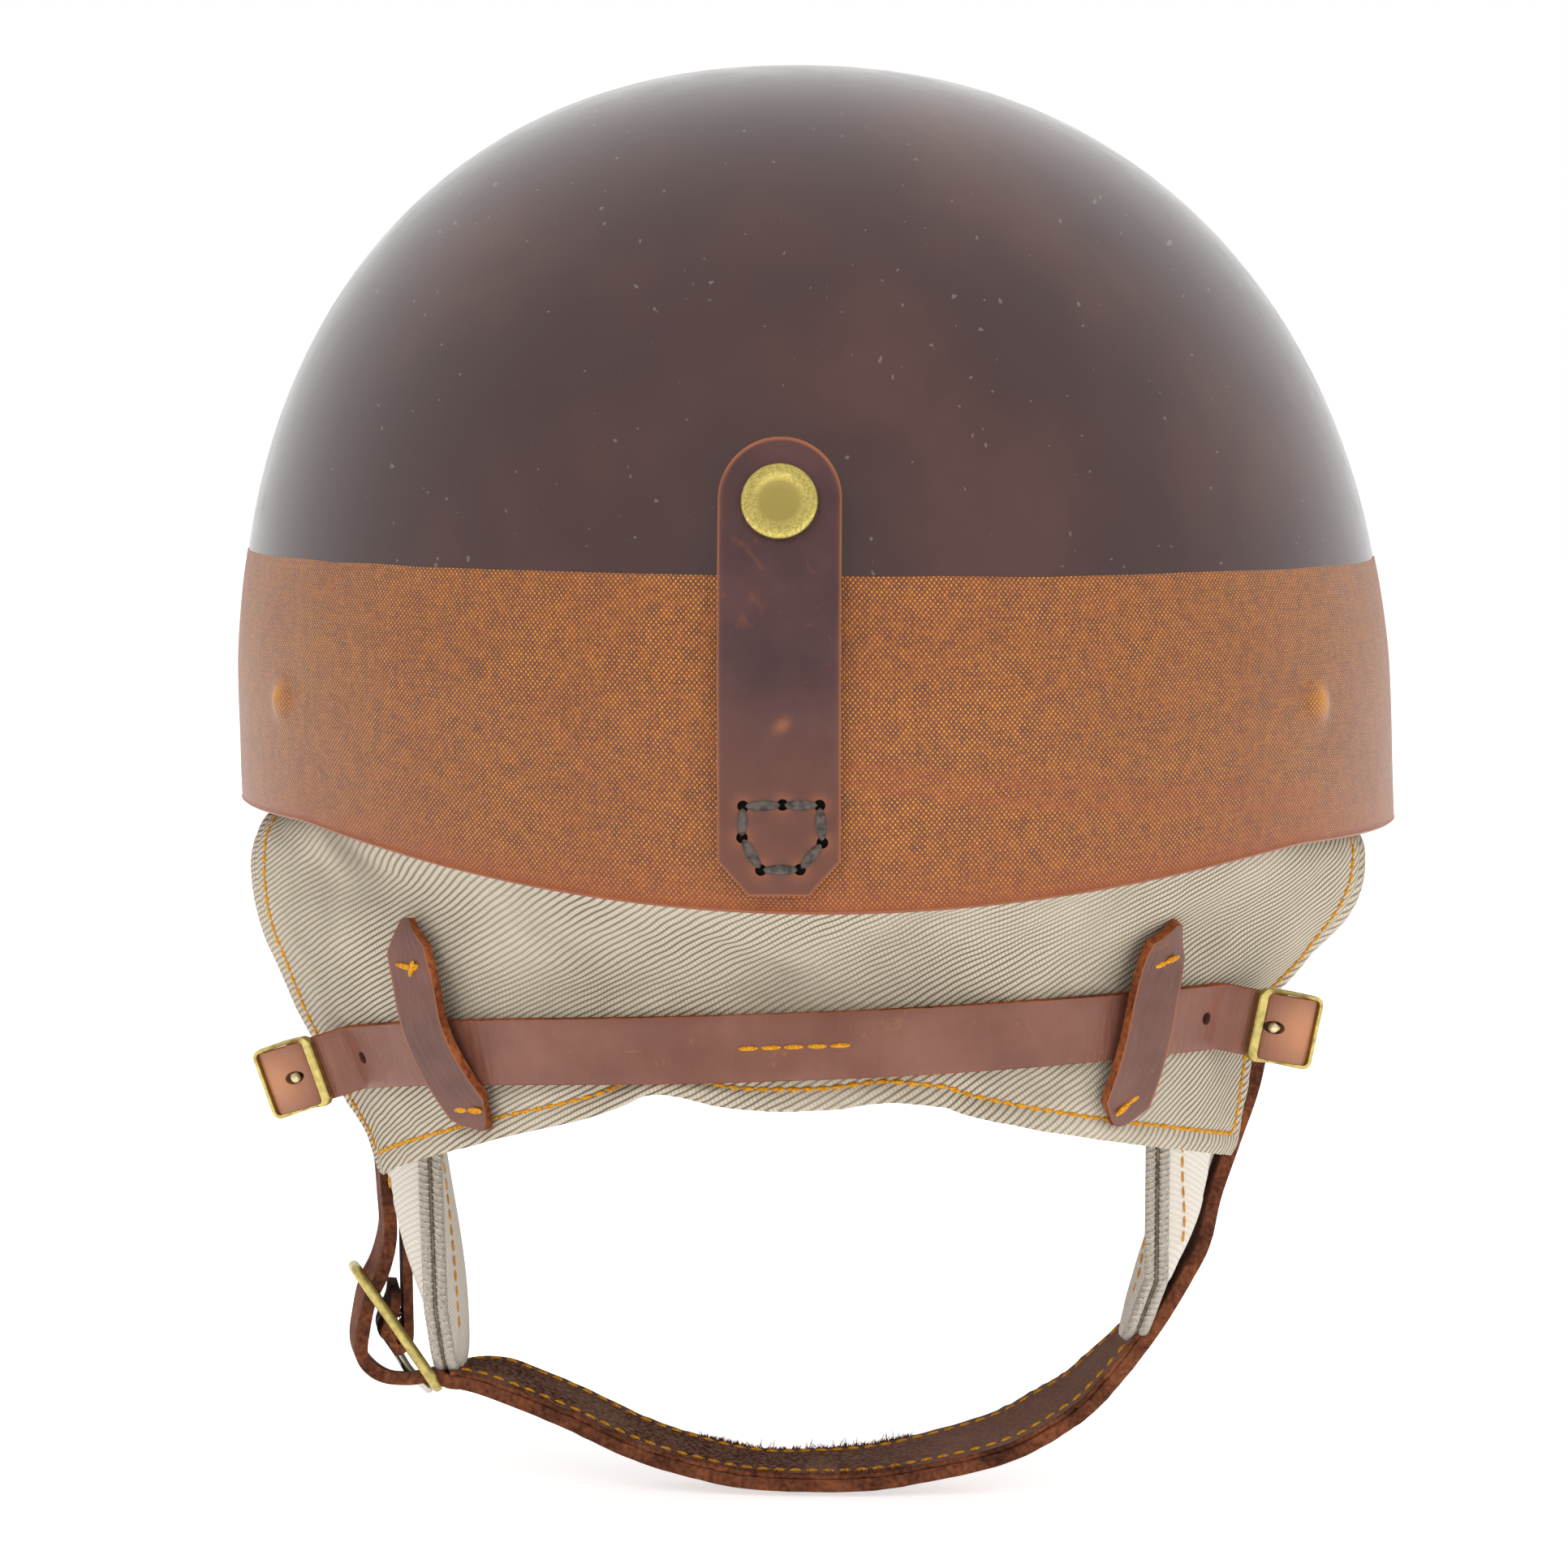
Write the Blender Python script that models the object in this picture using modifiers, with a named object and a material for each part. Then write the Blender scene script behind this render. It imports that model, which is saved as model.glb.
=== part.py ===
"""Half-shell racing helmet with a cloth neck curtain and a leather chin strap.

Metres, +Z up. The helmet faces -Y, so the wearer's left is +X. The origin is the middle of the
mouth of the shell, at the height of its side rim.
"""

from math import atan2, cos, exp, pi, radians, sin

import bmesh
import bpy
from mathutils import Matrix, Vector

MM = 0.001

# Shell: a superelliptic dome over a near-vertical wall whose rim drops at the back
SHELL_HALF_WIDTH = 116.4 * MM
SHELL_HALF_LENGTH = 139 * MM
BROW_Z = 20 * MM
DOME_RISE = 129.5 * MM
DOME_POWER = 2.2
# The dome leans to the wearer's left: sideways shift as a share of the height
DOME_LEAN_SHARE = 0.032
SHELL_WALL = 4 * MM
REAR_DROP = 10 * MM
REAR_DROP_ANGLE = radians(55)
REAR_DROP_POWER = 1.3
RING_SEGMENTS = 48
DOME_RINGS = 8

# Clearance between pieces that touch on the real helmet
FIT_GAP = 0.4 * MM
SEW_GAP = 0.6 * MM

# Linen band laminated round the rim
BAND_TOP_Z = 51 * MM
BAND_THICKNESS = 0.7 * MM
BAND_GAP = 0.3 * MM

# Liner: cork ring, canvas cradle band, leather sweatband
CORK_LOW_Z = 7 * MM
CORK_TOP_Z = 49 * MM
CORK_THICKNESS = 10 * MM
CRADLE_LOW_Z = 15 * MM
CRADLE_TOP_Z = 33 * MM
CRADLE_THICKNESS = 1.2 * MM
SWEATBAND_LOW_Z = 5 * MM
SWEATBAND_TOP_Z = 40 * MM
SWEATBAND_THICKNESS = 1.8 * MM
SWEATBAND_LEAN = 11 * MM
SWEATBAND_LEAN_POWER = 0.7

# Cradle tapes and the lace that draws them together
TAPE_COUNT = 6
TAPE_WIDTH = 18 * MM
TAPE_END_WIDTH = 10 * MM
TAPE_THICKNESS = 1.2 * MM
LACE_Z = 118 * MM
LACE_RING_RADIUS = 15 * MM
LACE_RADIUS = 1.5 * MM

# Rivets through shell, cork and cradle band
RIVET_ANGLES = (58, 122, 238, 302)
RIVET_Z = 24 * MM
RIVET_RADIUS = 2 * MM
RIVET_HEAD_RADIUS = 4.5 * MM
RIVET_HEAD_HEIGHT = 1.2 * MM

# Goggle-strap tab at the back
TAB_WIDTH = 22 * MM
TAB_THICKNESS = 2 * MM
TAB_FOOT_Z = -7.2 * MM
TAB_FOLD_Z = 13 * MM
TAB_TOP_Z = 75.5 * MM
TAB_FOLD_GAP = 0.6 * MM
TAB_CHAMFER = 6.3 * MM
TAB_FOOT_END_WIDTH = 10.6 * MM
TAB_STAND_OFF = 2.6 * MM
TAB_STAND_POWER = 1.5
SNAP_Z = TAB_TOP_Z - TAB_WIDTH / 2
SNAP_CAP_RADIUS = 7 * MM
SNAP_CAP_HEIGHT = 1.7 * MM
SNAP_CAP_LIP = 0.8 * MM
SNAP_DISH = 0.6 * MM
SNAP_DISH_SHARE = 0.62
# Snap cap outside its dish: shares of its radius and height
SNAP_CAP_SHARES = ((0.76, 1.0), (0.92, 0.8), (1.0, 0.35), (0.97, 0.0))
SNAP_SHANK_RADIUS = 1.7 * MM
SNAP_SOCKET_RADIUS = 4.6 * MM
SNAP_BORE_RADIUS = 2.5 * MM
SNAP_POST_RADIUS = 1.7 * MM
SNAP_BASE_RADIUS = 4.5 * MM
SNAP_BASE_HEIGHT = 0.8 * MM

# Neck curtain: top edge inside the rim, hem round the neck
CURTAIN_THICKNESS = 1.5 * MM
CURTAIN_TOP_ANGLE = radians(82.5)
CURTAIN_TUCK = 4 * MM
CURTAIN_TOP_GAP = 0.7 * MM
HEM_ANGLE = radians(75)
HEM_HALF_WIDTH = SHELL_HALF_WIDTH - 28 * MM
HEM_CENTRE_Y = 18.5 * MM
HEM_DEPTH = 84.5 * MM
HEM_Z = -51 * MM
HEM_CORNER_DROP_LEFT = 22 * MM
HEM_CORNER_DROP_RIGHT = 16.5 * MM
HEM_DROP_START_SHARE = 0.25
HEM_DROP_POWER_LEFT = 1.0
HEM_DROP_POWER_RIGHT = 0.8
HEM_SCALLOP = 2.5 * MM
# Each scallop: its place across and its reach as shares, and the share of its height
HEM_SCALLOP_SHARES = ((0.215, 0.085, 1.0), (-0.15, 0.08, 0.6))
HEM_FLARE = 1.2 * MM
HEM_FLARE_START_SHARE = 0.93
WING_BULGE_LEFT = 10 * MM
WING_BULGE_RIGHT = 5 * MM
WING_START_SHARE = 0.095
WING_LENGTH_LEFT_SHARE = 0.8
WING_LENGTH_RIGHT_SHARE = 0.45
WING_FALL_POWER = 0.65
WAIST_SHARE = 0.54
CURTAIN_COLUMNS = 44
CURTAIN_ROWS = 11
AXIS_STEP_SHARE = 0.02
# Each soft dent: place across and down the curtain, its reach both ways, all as shares, and depth
DENT_DEPTH = 3 * MM
DENT_START_SHARE = 0.2
DENT_SHARES = (
    (0.69, 0.24, 0.16, 0.1, 0.8),
    (0.40, 0.50, 0.15, 0.1, 1.0),
    (0.03, 0.46, 0.09, 0.13, 0.9),
    (-0.66, 0.34, 0.16, 0.11, 0.7),
)

# Neck strap and its sewn keepers
NECK_STRAP_WIDTH = 12.7 * MM
NECK_STRAP_THICKNESS = 1.8 * MM
NECK_STRAP_Z = -38.7 * MM
NECK_STRAP_TILT = 5 * MM
NECK_STRAP_FALL_LEFT = 6.5 * MM
NECK_STRAP_FALL_RIGHT = 5 * MM
NECK_STRAP_FALL_POWER = 4
NECK_STRAP_LIE_LEFT_SHARE = 0.84
NECK_STRAP_LIE_RIGHT_SHARE = 0.72
# Stations of the woven strap ends, inner end bar to outer, as shares of the buckle's half length
WEAVE_SHARES = (-1.0, -0.66, -0.33, 0.0, 0.33, 0.66, 1.0, 1.16)
NECK_STRAP_COLUMNS = 22
SPARE_HOLE_RADIUS = 1.2 * MM
SPARE_HOLE_SHARE = 0.96
KEEPER_WIDTH = 9 * MM
KEEPER_THICKNESS = 1.4 * MM
KEEPER_RISE = 3.4 * MM
KEEPER_ARCH_SHARE = 0.3
KEEPER_POINT_SHARE = 0.25
KEEPER_ROWS = 12
# Each keeper: upper and lower end across the curtain as shares, and the heights of both ends
KEEPER_TOP_Z = -19 * MM
KEEPER_LOW_Z = -57.5 * MM
KEEPER_LEFT_SHARES = (0.61, 0.52)
KEEPER_RIGHT_SHARES = (-0.60, -0.55)

# Centre-bar buckles on the neck strap
NECK_BUCKLE_LENGTH = 16.4 * MM
NECK_BUCKLE_WIDTH = 17.4 * MM
NECK_BUCKLE_BAR = 2 * MM
NECK_BUCKLE_CORNER = 2.4 * MM
NECK_BUCKLE_BOW = 3 * MM
NECK_BUCKLE_REST = 13 * MM
NECK_BUCKLE_TURN = radians(26)
NECK_DROOP_LEFT = radians(17)
NECK_DROOP_RIGHT = radians(11)
CENTRE_BAR_RADIUS = 0.8 * MM
CHAPE_THICKNESS = 1.1 * MM
CHAPE_WIDTH = 12 * MM
CHAPE_LENGTH = 10.5 * MM
CHAPE_DIP = 2.3 * MM
CHAPE_BODY = 2.4 * MM
CHAPE_NECK_SHARE = 1.6
PRONG_RADIUS = 0.7 * MM
PRONG_SLOT_WIDTH = 3 * MM
PRONG_SLOT_SHARE = 0.25
PRONG_EYE_ANGLES = (-60, -20, 20, 60, 100)

# Ear flaps: padded tongues, split round the axis on which the chin harness swings
SWING_Z = -80 * MM
SWING_RADIUS = 22 * MM
SWING_GAP = 0.9 * MM
ARC_EDGE_SHARE = 0.98
FLAP_TOP_Z = CORK_LOW_Z - SEW_GAP
FLAP_TOP_X = SHELL_HALF_WIDTH - 12.2 * MM
FLAP_TOP_FRONT_Y = -38 * MM
FLAP_TOP_REAR_Y = 12 * MM
FLAP_NECK_HALF_LENGTH = 24 * MM
FLAP_TIP_HALF_LENGTH = 8 * MM
FLAP_TIP_Z_LEFT = -116.5 * MM
FLAP_TIP_Z_RIGHT = -111 * MM
FLAP_TIP_X_LEFT = SHELL_HALF_WIDTH - 41 * MM
FLAP_TIP_X_RIGHT = SHELL_HALF_WIDTH - 54.9 * MM
FLAP_EDGE_THICKNESS = 2.4 * MM
FLAP_OUTER_BULGE = 1.3 * MM
FLAP_SHOULDER = 4.5 * MM
FLAP_INNER_BULGE = 6.5 * MM
FLAP_TAPER_POWER_LEFT = 1.4
FLAP_TAPER_POWER_RIGHT = 1.0
FLAP_PUFF_POWER = 2.0
FLAP_UPPER_SHARES = (0.0, 0.25, 0.5, 0.75, 1.0)
FLAP_LOWER_SHARES = (0.0, 0.2, 0.4, 0.6, 0.8, 0.94, 1.0)
FLAP_TIP_SHARE = 0.6
FLAP_RING_POINTS = 16

# Chin strap: leather with a suede lining, and the short strap that holds its buckle
CHIN_STRAP_WIDTH = 20 * MM
CHIN_STRAP_THICKNESS = 3 * MM
CHIN_LINING_THICKNESS = 1.6 * MM
CHIN_HALF_SPAN = SHELL_HALF_WIDTH - 32.2 * MM
CHIN_DEPTH = 141.2 * MM
SHORT_STRAP_WIDTH = 19 * MM
FLAP_SHOULDER_Y = CHIN_STRAP_WIDTH / 2 + 1.5 * MM
SHORT_STRAP_THICKNESS = 2 * MM
HANGER_TOP_Z = -24 * MM
CHIN_TAIL_X = SHELL_HALF_WIDTH - 25.4 * MM
CHIN_TAIL_Z = -67 * MM
CHIN_TAIL_SHARES = (0.2, 0.6, 1.0)
CHIN_TAIL_TURN_SHARE = 0.67
# Free span from the right flap to the left buckle: shares of half span and of depth
CHIN_ROUTE_SHARES = (
    (-0.942, 0.632),
    (-0.909, 0.676),
    (-0.817, 0.768),
    (-0.693, 0.861),
    (-0.603, 0.907),
    (-0.463, 0.953),
    (-0.270, 0.983),
    (-0.095, 0.999),
    (0.153, 0.998),
    (0.320, 0.979),
    (0.461, 0.952),
    (0.631, 0.905),
    (0.825, 0.861),
)
CHIN_BUCKLE_X = SHELL_HALF_WIDTH - 28.4 * MM
CHIN_BUCKLE_Z = -110 * MM
CHIN_BUCKLE_TILT = radians(55.5)
CHIN_BUCKLE_LENGTH = 31.6 * MM
CHIN_BUCKLE_WIDTH = 27 * MM
CHIN_BUCKLE_BAR = 2.4 * MM
CHIN_BUCKLE_CORNER = 4 * MM
CHIN_CENTRE_BAR_RADIUS = 1.2 * MM
CHIN_LOOP_RISE = 10.6 * MM
CHIN_PRONG_RADIUS = 1 * MM
CHIN_PRONG_SLOT = 4 * MM
CHIN_SLOT_AT_SHARE = 0.55
CHIN_SLOT_LENGTH_SHARE = 0.7
CHIN_WEAVE_SEGMENTS = 10
SHORT_STRAP_SHARES = (0.4, 0.75)
SHORT_TAIL_SHARES = (2.0, 3.4)

# Steps of round pieces, and the overrun of cutters
ROUND_STEPS = 24
OVERRUN = 1 * MM


def linear(value):
    """One sRGB channel, 0 to 1, as linear light."""
    return value / 12.92 if value <= 0.04045 else ((value + 0.055) / 1.055) ** 2.4


def make_material(name, colour, roughness, metallic=0.0):
    material = bpy.data.materials.new(name)
    material.use_nodes = True
    shader = material.node_tree.nodes["Principled BSDF"]
    channels = [linear(int(colour[i : i + 2], 16) / 255) for i in (0, 2, 4)]
    shader.inputs["Base Color"].default_value = (*channels, 1.0)
    shader.inputs["Roughness"].default_value = roughness
    shader.inputs["Metallic"].default_value = metallic
    return material


for old in list(bpy.data.objects):
    bpy.data.objects.remove(old, do_unlink=True)
helmet = bpy.data.collections.new("racing_helmet")
cutters = bpy.data.collections.new("cutters")
bpy.context.scene.collection.children.link(helmet)
bpy.context.scene.collection.children.link(cutters)

LACQUER = make_material("brown_lacquer", "4a3230", 0.12)
LINEN = make_material("varnished_linen", "a8683a", 0.45)
CORK = make_material("cork", "b98d5c", 0.9)
CANVAS = make_material("cotton_canvas", "cfc4ae", 0.9)
TWILL = make_material("stone_twill", "b3a898", 0.9)
PALE_TWILL = make_material("pale_twill", "ddd5ca", 0.9)
TAB_LEATHER = make_material("plum_leather", "5c3a3c", 0.5)
STRAP_LEATHER = make_material("chestnut_leather", "7c4c3f", 0.5)
SUEDE = make_material("dark_suede", "4b322f", 0.95)
BRASS = make_material("aged_brass", "b9a65a", 0.35, 1.0)
STEEL = make_material("plated_steel", "c8c4b8", 0.3, 1.0)
LACE = make_material("waxed_cotton", "8f8676", 0.8)


def add_object(name, mesh, material, smooth=True):
    item = bpy.data.objects.new(name, mesh)
    helmet.objects.link(item)
    mesh.materials.clear()
    mesh.materials.append(material)
    if smooth:
        mesh.shade_smooth()
        mesh.set_sharp_from_angle(angle=radians(40))
    return item


def solidify(item, thickness, offset):
    wall = item.modifiers.new("wall", "SOLIDIFY")
    wall.thickness = thickness
    wall.offset = offset


def sheet(name, columns, rows, place, thickness, material, offset=0.0, ring=False):
    """A grid bent into place by place(across, along), both from -1 to 1, then given a wall."""
    mesh = bpy.data.meshes.new(name)
    bm = bmesh.new()
    bmesh.ops.create_grid(bm, x_segments=columns, y_segments=rows, size=1.0)
    for vertex in bm.verts:
        vertex.co = place(vertex.co.x, vertex.co.y)
    if ring:
        bmesh.ops.remove_doubles(bm, verts=bm.verts, dist=MM / ROUND_STEPS)
    bm.to_mesh(mesh)
    bm.free()
    item = add_object(name, mesh, material)
    solidify(item, thickness, offset)
    return item


def loft(name, rings, material):
    """A closed body through rings of points that all have the same count."""
    mesh = bpy.data.meshes.new(name)
    bm = bmesh.new()
    rows = [[bm.verts.new(point) for point in ring] for ring in rings]
    count = len(rows[0])
    for upper, lower in zip(rows, rows[1:]):
        for i in range(count):
            j = (i + 1) % count
            bm.faces.new((upper[i], upper[j], lower[j], lower[i]))
    bm.faces.new(rows[0][::-1])
    bm.faces.new(rows[-1])
    bmesh.ops.recalc_face_normals(bm, faces=bm.faces)
    bmesh.ops.triangulate(bm, faces=bm.faces)
    bm.to_mesh(mesh)
    bm.free()
    return add_object(name, mesh, material)


def turned(name, profile, place, material, steps=ROUND_STEPS, closed=False):
    """A profile of (radius, height), top to bottom, turned about the Z of place."""
    mesh = bpy.data.meshes.new(name)
    edges = [(i, i + 1) for i in range(len(profile) - 1)]
    if closed:
        edges.append((len(profile) - 1, 0))
    mesh.from_pydata([(radius, 0, height) for radius, height in profile], edges, [])
    item = add_object(name, mesh, material, smooth=False)
    turn = item.modifiers.new("turn", "SCREW")
    turn.steps = steps
    turn.render_steps = steps
    turn.use_merge_vertices = True
    turn.merge_threshold = MM / 100
    item.matrix_world = place
    return item


def wire(name, points, radius, material, cyclic=False, sides=2):
    """A round wire through points, as a closed mesh."""
    curve = bpy.data.curves.new(name, "CURVE")
    curve.dimensions = "3D"
    curve.bevel_depth = radius
    curve.bevel_resolution = sides
    curve.use_fill_caps = not cyclic
    spline = curve.splines.new("POLY")
    spline.points.add(len(points) - 1)
    for target, point in zip(spline.points, points):
        target.co = (*point, 1)
    spline.use_cyclic_u = cyclic
    guide = bpy.data.objects.new(name + "_guide", curve)
    cutters.objects.link(guide)
    evaluated = guide.evaluated_get(bpy.context.evaluated_depsgraph_get())
    mesh = bpy.data.meshes.new_from_object(evaluated)
    bpy.data.objects.remove(guide)
    bm = bmesh.new()
    bm.from_mesh(mesh)
    bmesh.ops.remove_doubles(bm, verts=bm.verts, dist=MM / 100)
    bm.to_mesh(mesh)
    bm.free()
    return add_object(name, mesh, material)


def extruded(name, outline, half_depth, place, material):
    """A flat outline in the XY of place, thickened both ways along its Z."""
    curve = bpy.data.curves.new(name, "CURVE")
    curve.dimensions = "2D"
    curve.fill_mode = "BOTH"
    curve.extrude = half_depth
    spline = curve.splines.new("POLY")
    spline.points.add(len(outline) - 1)
    for target, point in zip(spline.points, outline):
        target.co = (*point, 0, 1)
    spline.use_cyclic_u = True
    guide = bpy.data.objects.new(name + "_guide", curve)
    cutters.objects.link(guide)
    evaluated = guide.evaluated_get(bpy.context.evaluated_depsgraph_get())
    mesh = bpy.data.meshes.new_from_object(evaluated)
    bpy.data.objects.remove(guide)
    bm = bmesh.new()
    bm.from_mesh(mesh)
    bmesh.ops.remove_doubles(bm, verts=bm.verts, dist=MM / 100)
    bmesh.ops.triangulate(bm, faces=bm.faces)
    bm.to_mesh(mesh)
    bm.free()
    item = add_object(name, mesh, material)
    item.matrix_world = place
    return item


def cutter_box(name, place, size):
    bpy.ops.mesh.primitive_cube_add(size=1)
    return keep_as_cutter(name, place @ Matrix.Diagonal((*size, 1)))


def cutter_rod(name, place, radius, length):
    bpy.ops.mesh.primitive_cylinder_add(vertices=16, radius=radius, depth=length)
    return keep_as_cutter(name, place)


def keep_as_cutter(name, place):
    item = bpy.context.object
    item.name = name
    item.data.transform(place)
    for home in list(item.users_collection):
        home.objects.unlink(item)
    cutters.objects.link(item)
    item.hide_render = True
    item.display_type = "WIRE"
    return item


def cut(item, cutter, operation="DIFFERENCE"):
    step = item.modifiers.new(cutter.name, "BOOLEAN")
    step.operation = operation
    step.solver = "EXACT"
    step.object = cutter


def frame_at(origin, x_axis, z_axis):
    """A placement from an origin, an X direction and a Z direction square to it."""
    x_axis = Vector(x_axis).normalized()
    z_axis = Vector(z_axis).normalized()
    y_axis = z_axis.cross(x_axis)
    place = Matrix((x_axis, y_axis, z_axis)).transposed().to_4x4()
    place.translation = origin
    return place


def rim_z(angle):
    """Height of the rim at an angle from the back: level at the sides, dropped at the back."""
    away = abs(atan2(sin(angle), cos(angle)))
    if away >= REAR_DROP_ANGLE:
        return 0.0
    return -REAR_DROP * cos(away / REAR_DROP_ANGLE * pi / 2) ** REAR_DROP_POWER


def dome_share(z, inset=0.0):
    """Share of the plan size that the dome still has at height z."""
    if z <= BROW_Z:
        return 1.0
    return (1 - ((z - BROW_Z) / (DOME_RISE - inset)) ** DOME_POWER) ** (1 / DOME_POWER)


def wall_point(angle, z, inset=0.0, share=None):
    """Point on the shell's outer surface, or as far inside it as inset says."""
    share = dome_share(z, inset) if share is None else share
    return Vector(
        (
            share * (SHELL_HALF_WIDTH - inset) * sin(angle) + DOME_LEAN_SHARE * z,
            share * (SHELL_HALF_LENGTH - inset) * cos(angle),
            z,
        )
    )


def pivot(name, place, moving, carrier=None):
    """An empty on a joint's axis that carries the pieces which turn about it."""
    empty = bpy.data.objects.new(name, None)
    empty.empty_display_size = SNAP_CAP_RADIUS
    empty.hide_render = True
    helmet.objects.link(empty)
    if carrier is not None:
        empty.parent = carrier
        empty.matrix_parent_inverse = carrier.matrix_basis.inverted()
    empty.matrix_basis = place
    for item in moving:
        item.parent = empty
        item.matrix_parent_inverse = place.inverted()
    return empty


def wall_normal(angle):
    return Vector((sin(angle) / SHELL_HALF_WIDTH, cos(angle) / SHELL_HALF_LENGTH, 0)).normalized()


def liner_share(z):
    """The liner follows the straight facet from the brow line to the top of the cork."""
    fall = 1 - dome_share(CORK_TOP_Z)
    return 1 - fall * max(0.0, z - BROW_Z) / (CORK_TOP_Z - BROW_Z)


CORK_INSET = SHELL_WALL + FIT_GAP + BAND_GAP
CRADLE_INSET = CORK_INSET + CORK_THICKNESS + FIT_GAP
TAPE_INSET = CRADLE_INSET + CRADLE_THICKNESS + FIT_GAP
SWEATBAND_INSET = CRADLE_INSET - 2 * FIT_GAP


def make_shell():
    mesh = bpy.data.meshes.new("shell")
    bm = bmesh.new()
    bmesh.ops.create_uvsphere(bm, u_segments=RING_SEGMENTS, v_segments=2 * DOME_RINGS, radius=1.0)
    step = pi / 2 / DOME_RINGS
    wall_rows = 2
    below = [v for v in bm.verts if v.co.z < -sin(step * (wall_rows + 0.5))]
    bmesh.ops.delete(bm, geom=below, context="VERTS")
    for vertex in bm.verts:
        angle = atan2(vertex.co.x, vertex.co.y)
        latitude = atan2(vertex.co.z, vertex.co.xy.length)
        if latitude > step / 2:
            share = cos(latitude) ** (2 / DOME_POWER) if latitude < pi / 2 - step / 2 else 0.0
            z = BROW_Z + DOME_RISE * sin(latitude) ** (2 / DOME_POWER)
        else:
            share = 1.0
            down = -latitude / step / wall_rows
            z = BROW_Z + (rim_z(angle) - BROW_Z) * max(0.0, down)
        vertex.co = wall_point(angle, z, 0.0, share)
    bm.to_mesh(mesh)
    bm.free()
    item = add_object("shell", mesh, LACQUER)
    solidify(item, SHELL_WALL, -1.0)
    return item


def band_heights(low, high):
    """Rows of a band: its low edge, the brow line and its top."""
    return (low, BROW_Z, high)


def ring_band(name, low, high, inset, thickness, material, offset):
    """A closed band round the wall; low may depend on the angle."""

    def place(across, along):
        angle = -pi * across
        heights = band_heights(low(angle), high)
        z = heights[round(along + 1)]
        share = liner_share(z) if offset < 0 else None
        return wall_point(angle, z, inset, share)

    return sheet(name, RING_SEGMENTS, 2, place, thickness, material, offset, ring=True)


def make_liner(shell):
    ring_band("linen_band", rim_z, BAND_TOP_Z, -BAND_GAP, BAND_THICKNESS, LINEN, 1.0)
    cork = ring_band(
        "cork_liner", lambda angle: CORK_LOW_Z, CORK_TOP_Z, CORK_INSET, CORK_THICKNESS, CORK, -1.0
    )
    cradle = ring_band(
        "cradle_band",
        lambda angle: CRADLE_LOW_Z,
        CRADLE_TOP_Z,
        CRADLE_INSET,
        CRADLE_THICKNESS,
        CANVAS,
        -1.0,
    )

    def sweat_place(across, along):
        share = (along + 1) / 2
        z = SWEATBAND_LOW_Z + (SWEATBAND_TOP_Z - SWEATBAND_LOW_Z) * share
        return wall_point(-pi * across, z, SWEATBAND_INSET + SWEATBAND_LEAN * share**SWEATBAND_LEAN_POWER, 1.0)

    sheet(
        "sweatband", RING_SEGMENTS, 3, sweat_place, SWEATBAND_THICKNESS, STRAP_LEATHER, -1.0,
        ring=True,
    )
    for number, degrees in enumerate(RIVET_ANGLES, 1):
        make_rivet(number, radians(degrees), (shell, cork, cradle))


def make_rivet(number, angle, drilled):
    """A shank from under the linen to a washer head on the cradle band."""
    normal = wall_normal(angle)
    start = wall_point(angle, RIVET_Z) - normal * BAND_THICKNESS
    place = frame_at(start, (0, 0, 1), normal)
    under_head = -(TAPE_INSET + FIT_GAP - BAND_THICKNESS)
    profile = (
        (0, 0),
        (RIVET_RADIUS, 0),
        (RIVET_RADIUS, under_head),
        (RIVET_HEAD_RADIUS, under_head),
        (RIVET_HEAD_RADIUS, under_head - RIVET_HEAD_HEIGHT),
        (0, under_head - RIVET_HEAD_HEIGHT),
    )
    turned(f"harness_rivet_{number}", profile, place, BRASS, steps=12)
    hole = cutter_rod(
        f"rivet_hole_{number}", place, RIVET_RADIUS + FIT_GAP, 2 * TAPE_INSET + 2 * OVERRUN
    )
    for item in drilled:
        cut(item, hole)


def make_tape(number):
    """A tape from the cradle band up under the dome, folded round the crown lace."""
    angle = pi * (2 * number - 1) / TAPE_COUNT
    inset = TAPE_INSET + TAPE_THICKNESS / 2
    half_width = SHELL_HALF_WIDTH - inset
    half_length = SHELL_HALF_LENGTH - inset
    middle = atan2(half_width * sin(angle), half_length * cos(angle))
    hook = LACE_RADIUS + FIT_GAP + TAPE_THICKNESS / 2
    end_z = LACE_Z + hook
    stations = [(1.0, 0.0, CRADLE_LOW_Z + OVERRUN, TAPE_WIDTH)]
    arch_steps = 7
    for i in range(arch_steps + 1):
        turn = i / arch_steps * pi / 2
        z = CRADLE_TOP_Z + (end_z - CRADLE_TOP_Z) * sin(turn)
        width = TAPE_WIDTH + (TAPE_END_WIDTH - TAPE_WIDTH) * i / arch_steps
        stations.append((cos(turn), 0.0, z, width))
    for degrees in (135, 180, 225, 270):
        turn = radians(degrees)
        stations.append((0.0, hook * cos(turn), LACE_Z + hook * sin(turn), TAPE_END_WIDTH))
    last = len(stations) - 1

    def place(across, along):
        share, past, z, width = stations[round((along + 1) / 2 * last)]
        near = LACE_RING_RADIUS + past
        middle_radius = near + (half_width - near) * share
        turn = middle - across * width / 2 / middle_radius
        foot = half_width * half_length
        foot /= ((half_length * sin(turn)) ** 2 + (half_width * cos(turn)) ** 2) ** 0.5
        radius = near + (foot * liner_share(min(z, CRADLE_TOP_Z)) - near) * share
        return Vector((radius * sin(turn) + DOME_LEAN_SHARE * z, radius * cos(turn), z))

    sheet(f"cradle_tape_{number}", 2, last, place, TAPE_THICKNESS, CANVAS)


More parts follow.
